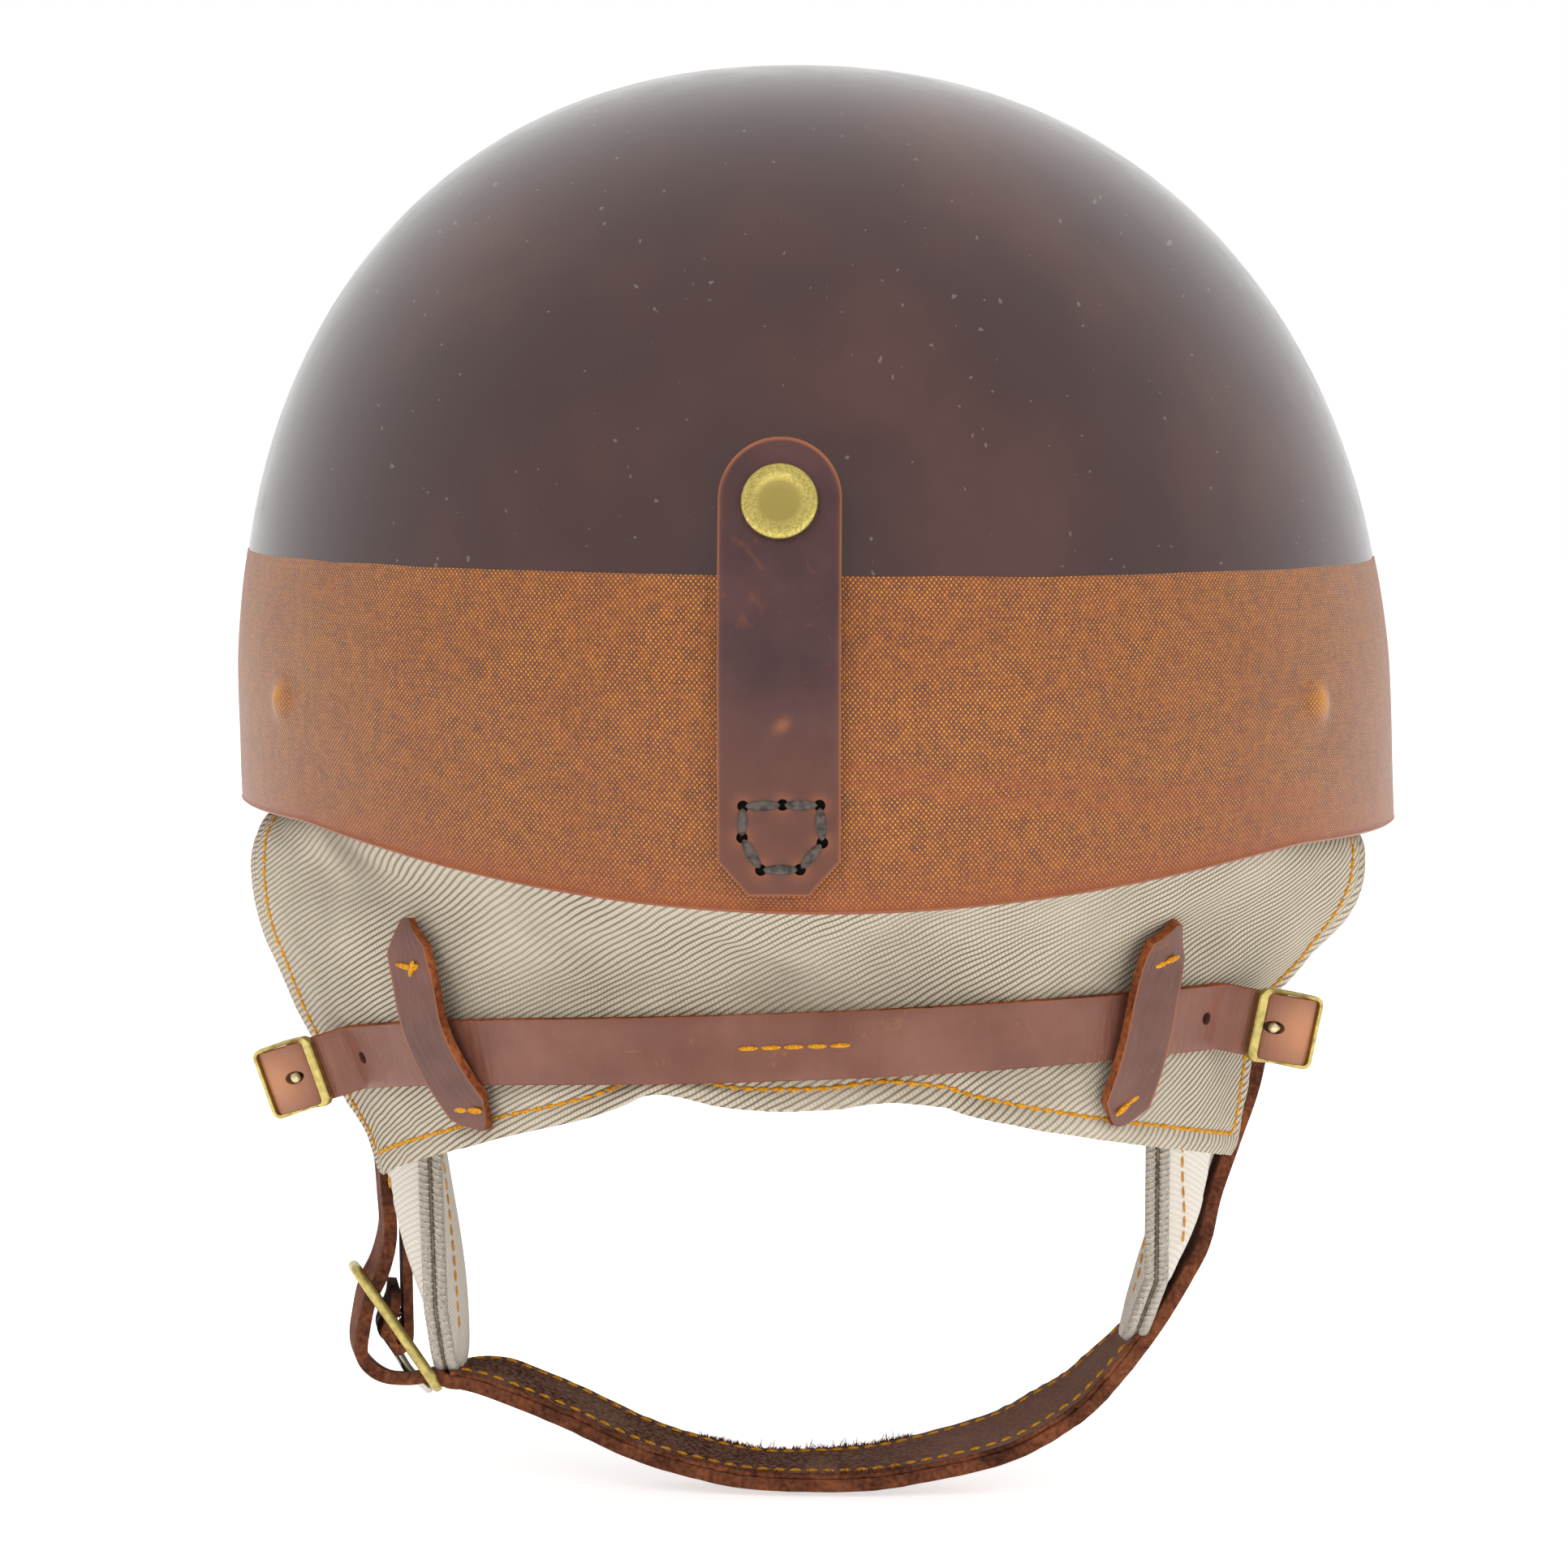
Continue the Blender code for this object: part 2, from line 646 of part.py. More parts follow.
def make_lace():
    turns = 24
    points = [
        (
            LACE_RING_RADIUS * cos(2 * pi * i / turns) + DOME_LEAN_SHARE * LACE_Z,
            LACE_RING_RADIUS * sin(2 * pi * i / turns),
            LACE_Z,
        )
        for i in range(turns)
    ]
    wire("crown_lace", points, LACE_RADIUS, LACE, cyclic=True)


TAB_BASE_GAP = BAND_GAP + BAND_THICKNESS + BAND_GAP + TAB_THICKNESS / 2


def tab_point(x, z):
    """Middle of the tab's leather: close over the linen, standing off the dome by the snap."""
    rise = max(0.0, z - TAB_FOLD_Z) / (SNAP_Z - TAB_FOLD_Z)
    gap = TAB_BASE_GAP + TAB_STAND_OFF * rise**TAB_STAND_POWER
    across = min(1.0, abs(x) / SHELL_HALF_WIDTH)
    share = dome_share(z) * (1 - across**2) ** 0.5
    return Vector((x, share * SHELL_HALF_LENGTH + gap, z))


def make_tab():
    half = TAB_WIDTH / 2
    foot_rows = (
        (TAB_FOOT_Z, TAB_FOOT_END_WIDTH / 2),
        (TAB_FOOT_Z + TAB_CHAMFER, half),
        (TAB_FOLD_Z - TAB_FOLD_GAP, half),
    )
    flap_rows = [(TAB_FOLD_Z + (SNAP_Z - TAB_FOLD_Z) * i / 6, half) for i in range(7)]
    for degrees in (22, 45, 65, 80):
        turn = radians(degrees)
        flap_rows.append((SNAP_Z + half * sin(turn), half * cos(turn)))

    def ribbon(rows):
        def place(across, along):
            z, reach = rows[round((along + 1) / 2 * (len(rows) - 1))]
            return tab_point(across * reach, z)

        return place

    sheet("tab_foot", 2, len(foot_rows) - 1, ribbon(foot_rows), TAB_THICKNESS, TAB_LEATHER)
    flap = sheet(
        "goggle_tab_flap", 2, len(flap_rows) - 1, ribbon(flap_rows), TAB_THICKNESS, TAB_LEATHER
    )
    centre = tab_point(0, SNAP_Z)
    slope = tab_point(0, SNAP_Z + OVERRUN) - tab_point(0, SNAP_Z - OVERRUN)
    normal = slope.cross(Vector((1, 0, 0)))
    place = frame_at(centre, (1, 0, 0), normal)
    top = TAB_THICKNESS / 2 + BAND_GAP
    shank_end = -TAB_THICKNESS / 2 - BAND_GAP - SNAP_CAP_LIP
    dish = top + SNAP_CAP_HEIGHT - SNAP_DISH
    cap = [(0, dish), (SNAP_CAP_RADIUS * SNAP_DISH_SHARE, dish)]
    for radius_share, height_share in SNAP_CAP_SHARES:
        cap.append((SNAP_CAP_RADIUS * radius_share, top + SNAP_CAP_HEIGHT * height_share))
    cap += [(SNAP_SHANK_RADIUS, top), (SNAP_SHANK_RADIUS, shank_end), (0, shank_end)]
    snap = turned("snap_cap", cap, place, BRASS)
    cut(flap, cutter_rod("snap_hole", place, SNAP_SHANK_RADIUS + FIT_GAP, TAB_WIDTH))
    socket_top = -TAB_THICKNESS / 2 - BAND_GAP
    socket_height = TAB_STAND_OFF - SNAP_BASE_HEIGHT - FIT_GAP
    socket = (
        (SNAP_BORE_RADIUS, socket_top),
        (SNAP_SOCKET_RADIUS, socket_top),
        (SNAP_SOCKET_RADIUS, socket_top - socket_height),
        (SNAP_BORE_RADIUS, socket_top - socket_height),
    )
    ring = turned("snap_socket", socket, place, BRASS, closed=True)
    base_top = socket_top - socket_height - FIT_GAP
    post_top = shank_end - FIT_GAP
    stud = (
        (0, post_top),
        (SNAP_POST_RADIUS, post_top),
        (SNAP_POST_RADIUS, base_top),
        (SNAP_BASE_RADIUS, base_top),
        (SNAP_BASE_RADIUS, base_top - SNAP_BASE_HEIGHT),
        (0, base_top - SNAP_BASE_HEIGHT),
    )
    turned("snap_stud", stud, place, BRASS)
    fold = tab_point(0, TAB_FOLD_Z - TAB_FOLD_GAP / 2)
    axis = Vector((0, fold.y + TAB_THICKNESS / 2, fold.z))
    pivot("goggle_tab_axis", Matrix.Translation(axis), (flap, snap, ring))


def hem_z(across):
    """Height of the hem: scalloped at the middle, dropping to a corner at each side."""
    away = abs(across)
    drop, power = HEM_CORNER_DROP_LEFT, HEM_DROP_POWER_LEFT
    if across < 0:
        drop, power = HEM_CORNER_DROP_RIGHT, HEM_DROP_POWER_RIGHT
    run = max(0.0, away - HEM_DROP_START_SHARE) / (1 - HEM_DROP_START_SHARE)
    scallop = 0.0
    for at_share, wide_share, share in HEM_SCALLOP_SHARES:
        scallop += HEM_SCALLOP * share * exp(-(((across - at_share) / wide_share) ** 2))
    return HEM_Z - drop * run**power + scallop


def curtain_top_z(across):
    return rim_z(across * CURTAIN_TOP_ANGLE) + CURTAIN_TUCK


def curtain_point(across, down):
    """Middle of the curtain's cloth: across from -1 to 1 (left), down from 0 to 1 at the hem."""
    angle = across * CURTAIN_TOP_ANGLE
    inset = SHELL_WALL + CURTAIN_TOP_GAP + CURTAIN_THICKNESS / 2
    top = wall_point(angle, curtain_top_z(across), inset, 1.0)
    turn = across * HEM_ANGLE
    outward = Vector((sin(turn), cos(turn), 0))
    hem = Vector((HEM_HALF_WIDTH * sin(turn), HEM_CENTRE_Y + HEM_DEPTH * cos(turn), hem_z(across)))
    tucked = sin(pi / 2 * min(1.0, down / WAIST_SHARE))
    share = tucked + (down - tucked) * across**2
    point = top.lerp(hem, share)
    point.z = top.z + (hem.z - top.z) * down
    wing, length_share = WING_BULGE_LEFT, WING_LENGTH_LEFT_SHARE
    if across < 0:
        wing, length_share = WING_BULGE_RIGHT, WING_LENGTH_RIGHT_SHARE
    run = min(1.0, max(0.0, down - WING_START_SHARE) / length_share)
    bulge = wing * abs(across) ** 3 * sin(pi * run**WING_FALL_POWER)
    flare_run = max(0.0, down - HEM_FLARE_START_SHARE) / (1 - HEM_FLARE_START_SHARE)
    flare = HEM_FLARE * flare_run * (1 - across**2)
    dents = 0.0
    for at_across, at_down, wide, tall, share in DENT_SHARES:
        away = ((across - at_across) / wide) ** 2 + ((down - at_down) / tall) ** 2
        dents += DENT_DEPTH * share * exp(-away)
    return point + outward * (bulge + flare - dents * min(1.0, down / DENT_START_SHARE))


def curtain_down(across, z):
    top = curtain_top_z(across)
    return (z - top) / (hem_z(across) - top)


def curtain_axes(across, down):
    """Directions along the curtain, down it, and square out of it."""
    step = AXIS_STEP_SHARE
    along = (curtain_point(across + step, down) - curtain_point(across - step, down)).normalized()
    fall = (curtain_point(across, down + step) - curtain_point(across, down - step)).normalized()
    out = along.cross(fall).normalized()
    if out.x * sin(across * HEM_ANGLE) + out.y * cos(across * HEM_ANGLE) < 0:
        out = -out
    return along, fall, out


def make_curtain():
    sheet(
        "neck_curtain",
        CURTAIN_COLUMNS,
        CURTAIN_ROWS,
        lambda across, along: curtain_point(across, (1 - along) / 2),
        CURTAIN_THICKNESS,
        TWILL,
    )


STRAP_OFFSET = CURTAIN_THICKNESS / 2 + SEW_GAP + NECK_STRAP_THICKNESS / 2


def neck_strap_reach(side):
    """How far across the curtain the strap lies on it before it rises to its buckle."""
    return NECK_STRAP_LIE_LEFT_SHARE if side > 0 else -NECK_STRAP_LIE_RIGHT_SHARE


def neck_strap_z(across):
    fall = NECK_STRAP_FALL_LEFT if across > 0 else NECK_STRAP_FALL_RIGHT
    fall *= (across / neck_strap_reach(across)) ** NECK_STRAP_FALL_POWER
    return NECK_STRAP_Z - NECK_STRAP_TILT * across - fall


def neck_strap_lie(across):
    """Centre and upward direction of the strap where it lies on the curtain."""
    down = curtain_down(across, neck_strap_z(across))
    _, fall, out = curtain_axes(across, down)
    return curtain_point(across, down) + out * STRAP_OFFSET, -fall


def neck_buckle_place(side):
    """Buckle frame: X outward along the strap, Z out of the helmet, origin on its centre bar."""
    droop = NECK_DROOP_LEFT if side > 0 else NECK_DROOP_RIGHT
    lie, upward = neck_strap_lie(neck_strap_reach(side))
    along = Vector(
        (
            side * cos(NECK_BUCKLE_TURN) * cos(droop),
            -sin(NECK_BUCKLE_TURN) * cos(droop),
            -sin(droop),
        )
    )
    out = along.cross(upward) * -side
    return frame_at(lie + along * NECK_BUCKLE_REST + out.normalized() * CHAPE_BODY, along, out)


END_BAR_LIFT = NECK_BUCKLE_BAR / 2 - FIT_GAP / 2
CENTRE_BAR_DROP = NECK_BUCKLE_BOW - END_BAR_LIFT
STRAP_UNDER = END_BAR_LIFT - NECK_BUCKLE_BAR / 2 - BAND_GAP - NECK_STRAP_THICKNESS / 2
STRAP_OVER = (
    CENTRE_BAR_RADIUS
    + BAND_GAP
    + CHAPE_THICKNESS
    + BAND_GAP
    + NECK_STRAP_THICKNESS / 2
    - CENTRE_BAR_DROP
)


def make_neck_strap():
    """Leather strap on the curtain, its ends woven through both buckles."""
    reach = NECK_BUCKLE_LENGTH / 2 - NECK_BUCKLE_BAR / 2

    def woven(side):
        place = neck_buckle_place(side)
        points = []
        for share in WEAVE_SHARES:
            lift = STRAP_OVER - STRAP_UNDER
            height = STRAP_UNDER + lift * cos(min(1.0, abs(share)) * pi / 2) ** 2
            centre = place @ Vector((share * reach, 0, height))
            points.append((centre, place.to_3x3() @ Vector((0, 1, 0))))
        return points

    stations = []
    for centre, upward in reversed(woven(-1)):
        stations.append((centre, upward if upward.z > 0 else -upward))
    for i in range(NECK_STRAP_COLUMNS + 1):
        across = neck_strap_reach(-1)
        across += (neck_strap_reach(1) - neck_strap_reach(-1)) * i / NECK_STRAP_COLUMNS
        stations.append(neck_strap_lie(across))
    for centre, upward in woven(1):
        stations.append((centre, upward if upward.z > 0 else -upward))
    last = len(stations) - 1

    def place(across, along):
        centre, upward = stations[round((along + 1) / 2 * last)]
        return centre + upward * (across * NECK_STRAP_WIDTH / 2)

    strap = sheet("neck_strap", 1, last, place, NECK_STRAP_THICKNESS, STRAP_LEATHER)
    for side, name in ((1, "left"), (-1, "right")):
        frame = neck_buckle_place(side)
        slot = frame @ Matrix.Translation((-reach * PRONG_SLOT_SHARE, 0, STRAP_OVER))
        size = (reach, PRONG_SLOT_WIDTH, 4 * NECK_BUCKLE_BAR)
        cut(strap, cutter_box(f"prong_slot_{name}", slot, size))
        centre, upward = neck_strap_lie(neck_strap_reach(side) * SPARE_HOLE_SHARE)
        spare = frame_at(centre, upward, frame.to_3x3() @ Vector((0, 0, 1)))
        cut(strap, cutter_rod(f"spare_hole_{name}", spare, SPARE_HOLE_RADIUS, 8 * OVERRUN))


def make_keeper(name, shares):
    """A pointed leather keeper sewn down at both ends and bowed over the strap."""
    rows = KEEPER_ROWS
    base = CURTAIN_THICKNESS / 2 + SEW_GAP + KEEPER_THICKNESS / 2
    crossing = neck_strap_z((shares[0] + shares[1]) / 2)
    strap_share = (KEEPER_TOP_Z - crossing) / (KEEPER_TOP_Z - KEEPER_LOW_Z)

    def centre_at(share):
        across = shares[0] + (shares[1] - shares[0]) * share
        z = KEEPER_TOP_Z + (KEEPER_LOW_Z - KEEPER_TOP_Z) * share
        down = curtain_down(across, z)
        _, _, out = curtain_axes(across, down)
        rise = KEEPER_RISE * exp(-(((share - strap_share) / KEEPER_ARCH_SHARE) ** 4))
        return curtain_point(across, down) + out * (base + rise), out

    def place(across, along):
        share = (1 - along) / 2
        centre, out = centre_at(share)
        ahead, _ = centre_at(share + 1 / rows)
        behind, _ = centre_at(share - 1 / rows)
        side = (ahead - behind).cross(out).normalized()
        from_end = min(share, 1 - share)
        widening = KEEPER_POINT_SHARE + (1 - KEEPER_POINT_SHARE) * from_end * rows
        reach = KEEPER_WIDTH / 2 * min(1.0, widening)
        return centre + side * (across * reach)

    sheet(name, 2, rows, place, KEEPER_THICKNESS, STRAP_LEATHER)


def buckle(name, place, length, width, bar, corner, bow, bar_radius, bar_drop):
    """A rounded, bowed wire frame with a centre bar let into its side rails."""
    half_long = length / 2 - bar / 2
    half_wide = width / 2 - bar / 2
    points = []
    corners = ((1, 1, 0), (-1, 1, 90), (-1, -1, 180), (1, -1, 270))
    for sign_x, sign_y, start in corners:
        for degrees in (0, 30, 60, 90):
            turn = radians(start + degrees)
            x = sign_x * (half_long - corner) + corner * cos(turn)
            y = sign_y * (half_wide - corner) + corner * sin(turn)
            points.append((x, y))
        if sign_x * sign_y > 0:
            for share in (0.5, 0.0, -0.5):
                points.append((sign_x * share * (half_long - corner), sign_y * half_wide))
    shaped = [
        place @ Vector((x, y, END_BAR_LIFT * (bow > 0) - bow * cos(pi / 2 * x / half_long) ** 2))
        for x, y in points
    ]
    frame = wire(name, shaped, bar / 2, BRASS, cyclic=True)
    quarter = Matrix.Rotation(pi / 2, 4, "X")
    middle = place @ Matrix.Translation((0, 0, -bar_drop)) @ quarter
    cut(frame, cutter_rod(name + "_centre_bar", middle, bar_radius, 2 * half_wide), "UNION")
    return frame


def prong(name, place, bar_radius, bar_drop, radius, tip_x, tip_z, material):
    """A wire bent round the centre bar, its tip resting on the inner end bar."""
    eye = bar_radius + BAND_GAP + radius
    points = [
        place @ Vector((eye * cos(radians(d)), 0, eye * sin(radians(d)) - bar_drop))
        for d in PRONG_EYE_ANGLES
    ]
    points.append(place @ Vector((tip_x, 0, tip_z)))
    return wire(name, points, radius, material)


def make_neck_buckle(side, name):
    place = neck_buckle_place(side)
    buckle(
        f"neck_buckle_{name}",
        place,
        NECK_BUCKLE_LENGTH,
        NECK_BUCKLE_WIDTH,
        NECK_BUCKLE_BAR,
        NECK_BUCKLE_CORNER,
        NECK_BUCKLE_BOW,
        CENTRE_BAR_RADIUS,
        CENTRE_BAR_DROP,
    )
    tip_x = -(NECK_BUCKLE_LENGTH / 2 - NECK_BUCKLE_BAR / 2)
    tip_z = END_BAR_LIFT + NECK_BUCKLE_BAR / 2 + BAND_GAP + PRONG_RADIUS
    tongue = prong(
        f"neck_prong_{name}",
        place,
        CENTRE_BAR_RADIUS,
        CENTRE_BAR_DROP,
        PRONG_RADIUS,
        tip_x,
        tip_z,
        BRASS,
    )
    bar_place = place @ Matrix.Translation((0, 0, -CENTRE_BAR_DROP))
    pivot(f"neck_prong_axis_{name}", bar_place, (tongue,))
    eye_in = CENTRE_BAR_RADIUS + BAND_GAP
    eye_out = eye_in + CHAPE_THICKNESS
    flat = CHAPE_BODY / 2
    outline = [
        (eye_out * cos(radians(d)), eye_out * sin(radians(d))) for d in range(-120, 121, 30)
    ]
    neck_x, neck_dip = -eye_out * CHAPE_NECK_SHARE, CHAPE_DIP / 3
    outline += [(neck_x, flat - neck_dip), (-CHAPE_LENGTH, flat - CHAPE_DIP)]
    outline += [(flat - CHAPE_LENGTH, -flat - CHAPE_DIP), (neck_x, -flat - neck_dip)]
    side_on = bar_place @ Matrix.Rotation(pi / 2, 4, "X")
    chape = extruded(
        f"buckle_chape_{name}", outline, CHAPE_WIDTH / 2, side_on, STRAP_LEATHER
    )
    cut(chape, cutter_rod(f"chape_eye_{name}", side_on, eye_in, CHAPE_WIDTH + 2 * OVERRUN))
    ahead = side_on @ Matrix.Translation((eye_out, 0, 0))
    size = (4 * eye_out, 4 * eye_out, PRONG_SLOT_WIDTH)
    cut(chape, cutter_box(f"chape_slot_{name}", ahead, size))


def flap_tip(side):
    """Place of the tip of an ear flap, sideways and in height."""
    if side > 0:
        return FLAP_TIP_X_LEFT, FLAP_TIP_Z_LEFT
    return FLAP_TIP_X_RIGHT, FLAP_TIP_Z_RIGHT


def flap_middle(side, z):
    """Distance of the flap's middle from the plane of symmetry, at height z."""
    tip_x, tip_z = flap_tip(side)
    share = max(0.0, (z - tip_z) / (FLAP_TOP_Z - tip_z))
    power = FLAP_TAPER_POWER_LEFT if side > 0 else FLAP_TAPER_POWER_RIGHT
    return tip_x + (FLAP_TOP_X - tip_x) * share**power


def flap_ring(side, height_at, front, rear, puff):
    """One ring of the padded flap; height_at(y) gives each point's height."""
    count = FLAP_RING_POINTS
    ring = []
    for i in range(count):
        turn = 2 * pi * i / count
        y = (front + rear) / 2 + (rear - front) / 2 * cos(turn)
        z = height_at(y)
        edge = FLAP_EDGE_THICKNESS / 2
        if sin(turn) > 0:
            beyond = max(0.0, abs(y) - FLAP_SHOULDER_Y)
            shoulder = FLAP_SHOULDER * min(1.0, beyond / FLAP_SHOULDER)
            reach = sin(turn) * (edge + (FLAP_OUTER_BULGE + shoulder) * puff)
        else:
            reach = sin(turn) * (edge + FLAP_INNER_BULGE * puff)
        ring.append(Vector((side * (flap_middle(side, z) + reach), y, z)))
    return ring


def arc_z(y, radius):
    """Height of the split, a circle about the swing axis, at a distance y from it."""
    reach = min(abs(y), radius * ARC_EDGE_SHARE)
    return SWING_Z + (radius**2 - reach**2) ** 0.5


def make_ear_flap(side, name):
    outer_radius = SWING_RADIUS + SWING_GAP
    neck = FLAP_NECK_HALF_LENGTH

    def upper(share):
        def height(y):
            low = arc_z(y, outer_radius)
            return FLAP_TOP_Z + (low - FLAP_TOP_Z) * share

        return height

    rings = []
    for share in FLAP_UPPER_SHARES:
        front = FLAP_TOP_FRONT_Y + (-neck - FLAP_TOP_FRONT_Y) * share
        rear = FLAP_TOP_REAR_Y + (neck - FLAP_TOP_REAR_Y) * share
        rings.append(flap_ring(side, upper(share), front, rear, share))
    loft(f"ear_flap_{name}", rings, PALE_TWILL)

    _, tip_z = flap_tip(side)
    top_reach = neck - FLAP_EDGE_THICKNESS

    def lower(share):
        def height(y):
            high = arc_z(y, SWING_RADIUS)
            return high + (tip_z - high) * share

        return height

    rings = []
    for share in FLAP_LOWER_SHARES:
        round_off = 1.0 if share < 1 else FLAP_TIP_SHARE
        reach = top_reach + (FLAP_TIP_HALF_LENGTH - top_reach) * share
        reach *= round_off
        puff = 1 - share**FLAP_PUFF_POWER
        rings.append(flap_ring(side, lower(share), -reach, reach, puff))
    return loft(f"ear_tongue_{name}", rings, PALE_TWILL)


def ribbon_body(name, route, width, thickness, material, y_bend=None):
    """A strap whose centre line runs through route, (x, z) pairs, with its width along Y."""
    last = len(route) - 1

    def place(across, along):
        k = round((along + 1) / 2 * last)
        y = across * width / 2
        x, z = route[k]
        if y_bend is not None:
            z = y_bend(k, y, z)
        return Vector((x, y, z))

    return sheet(name, 4, last, place, thickness, material)


def flap_side(side, z, clearance):
    """Distance of a strap's centre line that lies on the flap's outer face."""
    face = flap_middle(side, z) + FLAP_EDGE_THICKNESS / 2 + FLAP_OUTER_BULGE
    return side * (face + clearance)


def chin_frame():
    along = Vector((cos(CHIN_BUCKLE_TILT), 0, sin(CHIN_BUCKLE_TILT)))
    out = Vector((sin(CHIN_BUCKLE_TILT), 0, -cos(CHIN_BUCKLE_TILT)))
    return frame_at((CHIN_BUCKLE_X, 0, CHIN_BUCKLE_Z), along, out)


def make_hanger(side, name, thickness, width):
    """Upper, fixed end of the harness, sewn on the flap's outer face above the split."""
    low = SWING_Z + SWING_RADIUS + SWING_GAP
    rows = 4
    heights = [HANGER_TOP_Z + (low - HANGER_TOP_Z) * i / rows for i in range(rows + 1)]
    clear = SEW_GAP + thickness / 2
    route = [(flap_side(side, z, clear), z) for z in heights]

    def bend(k, y, z):
        return z + (arc_z(y, SWING_RADIUS + SWING_GAP) - low) * (k == rows)

    ribbon_body(f"strap_hanger_{name}", route, width, thickness, STRAP_LEATHER, bend)


def make_chin_strap():
    place = chin_frame()
    half = CHIN_BUCKLE_LENGTH / 2 - CHIN_BUCKLE_BAR / 2
    under = -(CHIN_BUCKLE_BAR / 2 + BAND_GAP + CHIN_STRAP_THICKNESS / 2)
    top = SWING_Z + SWING_RADIUS
    clear = SEW_GAP + CHIN_STRAP_THICKNESS / 2
    route = [(flap_side(-1, top, clear), top)]
    for share in (0.5, 1.0):
        z = top + (SWING_Z - top) * share
        route.append((flap_side(-1, z, clear), z))
    for x_share, z_share in CHIN_ROUTE_SHARES:
        route.append((x_share * CHIN_HALF_SPAN, -z_share * CHIN_DEPTH))
    free_start = 6
    free_end = len(route) - 1
    for step in range(CHIN_WEAVE_SEGMENTS + 1):
        share = 2 * step / CHIN_WEAVE_SEGMENTS - 1
        height = under + CHIN_LOOP_RISE * cos(share * pi / 2) ** 2
        point = place @ Vector((share * half, 0, height))
        route.append((point.x, point.z))
    buckle_top = place @ Vector((half, 0, under))
    for share in CHIN_TAIL_SHARES:
        z = buckle_top.z + (CHIN_TAIL_Z - buckle_top.z) * share
        turned_share = min(1.0, share / CHIN_TAIL_TURN_SHARE)
        x = buckle_top.x + (CHIN_TAIL_X - buckle_top.x) * turned_share
        route.append((x, z))

    def bend(k, y, z):
        return z + (arc_z(y, SWING_RADIUS) - top) * (k == 0)

    strap = ribbon_body(
        "chin_strap", route, CHIN_STRAP_WIDTH, CHIN_STRAP_THICKNESS, STRAP_LEATHER, bend
    )
    slot = place @ Matrix.Translation((-half * CHIN_SLOT_AT_SHARE, 0, 0))
    size = (half * CHIN_SLOT_LENGTH_SHARE, CHIN_PRONG_SLOT, 2 * CHIN_LOOP_RISE)
    cut(strap, cutter_box("chin_prong_slot", slot, size))

    inner = []
    lift = (CHIN_STRAP_THICKNESS + CHIN_LINING_THICKNESS) / 2 + BAND_GAP
    for k in range(free_start, free_end):
        before, after = Vector(route[k - 1]), Vector(route[k + 1])
        run = (after - before).normalized()
        inner.append((route[k][0] - run.y * lift, route[k][1] + run.x * lift))
    lining = ribbon_body(
        "chin_strap_lining", inner, CHIN_STRAP_WIDTH, CHIN_LINING_THICKNESS, SUEDE
    )
    return strap, lining


def make_short_strap():
    """Short strap down the left flap, round the buckle's centre bar and back up."""
    top = SWING_Z + SWING_RADIUS
    clear = SEW_GAP + SHORT_STRAP_THICKNESS / 2
    route = [(flap_side(1, top, clear), top)]
    for share in (0.5, 1.0):
        z = top + (SWING_Z - top) * share
        route.append((flap_side(1, z, clear), z))
    turn_radius = CHIN_CENTRE_BAR_RADIUS + BAND_GAP + SHORT_STRAP_THICKNESS / 2
    inner_x = CHIN_BUCKLE_X - turn_radius
    start_x = route[-1][0]
    for share in SHORT_STRAP_SHARES:
        z = SWING_Z + (CHIN_BUCKLE_Z - SWING_Z) * share
        x = start_x + (inner_x - start_x) * share
        route.append((x, z))
    for degrees in range(180, 361, 30):
        turn = radians(degrees)
        route.append(
            (
                CHIN_BUCKLE_X + turn_radius * cos(turn),
                CHIN_BUCKLE_Z + turn_radius * sin(turn),
            )
        )
    back_x = inner_x + SHORT_STRAP_THICKNESS + BAND_GAP + FIT_GAP
    near_share, far_share = SHORT_TAIL_SHARES
    route.append((back_x + FIT_GAP, CHIN_BUCKLE_Z + near_share * turn_radius))
    route.append((back_x, CHIN_BUCKLE_Z + far_share * turn_radius))

    def bend(k, y, z):
        return z + (arc_z(y, SWING_RADIUS) - top) * (k == 0)

    strap = ribbon_body(
        "chin_short_strap", route, SHORT_STRAP_WIDTH, SHORT_STRAP_THICKNESS, STRAP_LEATHER, bend
    )
    eye = CHIN_CENTRE_BAR_RADIUS + BAND_GAP + 2 * CHIN_PRONG_RADIUS + FIT_GAP
    cut(strap, cutter_box("short_strap_slot", chin_frame(), (2 * eye, CHIN_PRONG_SLOT, 2 * eye)))
    return strap


def make_chin_buckle():
    place = chin_frame()
    frame = buckle(
        "chin_buckle",
        place,
        CHIN_BUCKLE_LENGTH,
        CHIN_BUCKLE_WIDTH,
        CHIN_BUCKLE_BAR,
        CHIN_BUCKLE_CORNER,
        0.0,
        CHIN_CENTRE_BAR_RADIUS,
        0.0,
    )
    tip_x = -(CHIN_BUCKLE_LENGTH / 2 - CHIN_BUCKLE_BAR / 2)
    tip_z = CHIN_BUCKLE_BAR / 2 + BAND_GAP + CHIN_PRONG_RADIUS
    tongue = prong(
        "chin_prong",
        place,
        CHIN_CENTRE_BAR_RADIUS,
        0.0,
        CHIN_PRONG_RADIUS,
        tip_x,
        tip_z,
        STEEL,
    )
    return frame, tongue


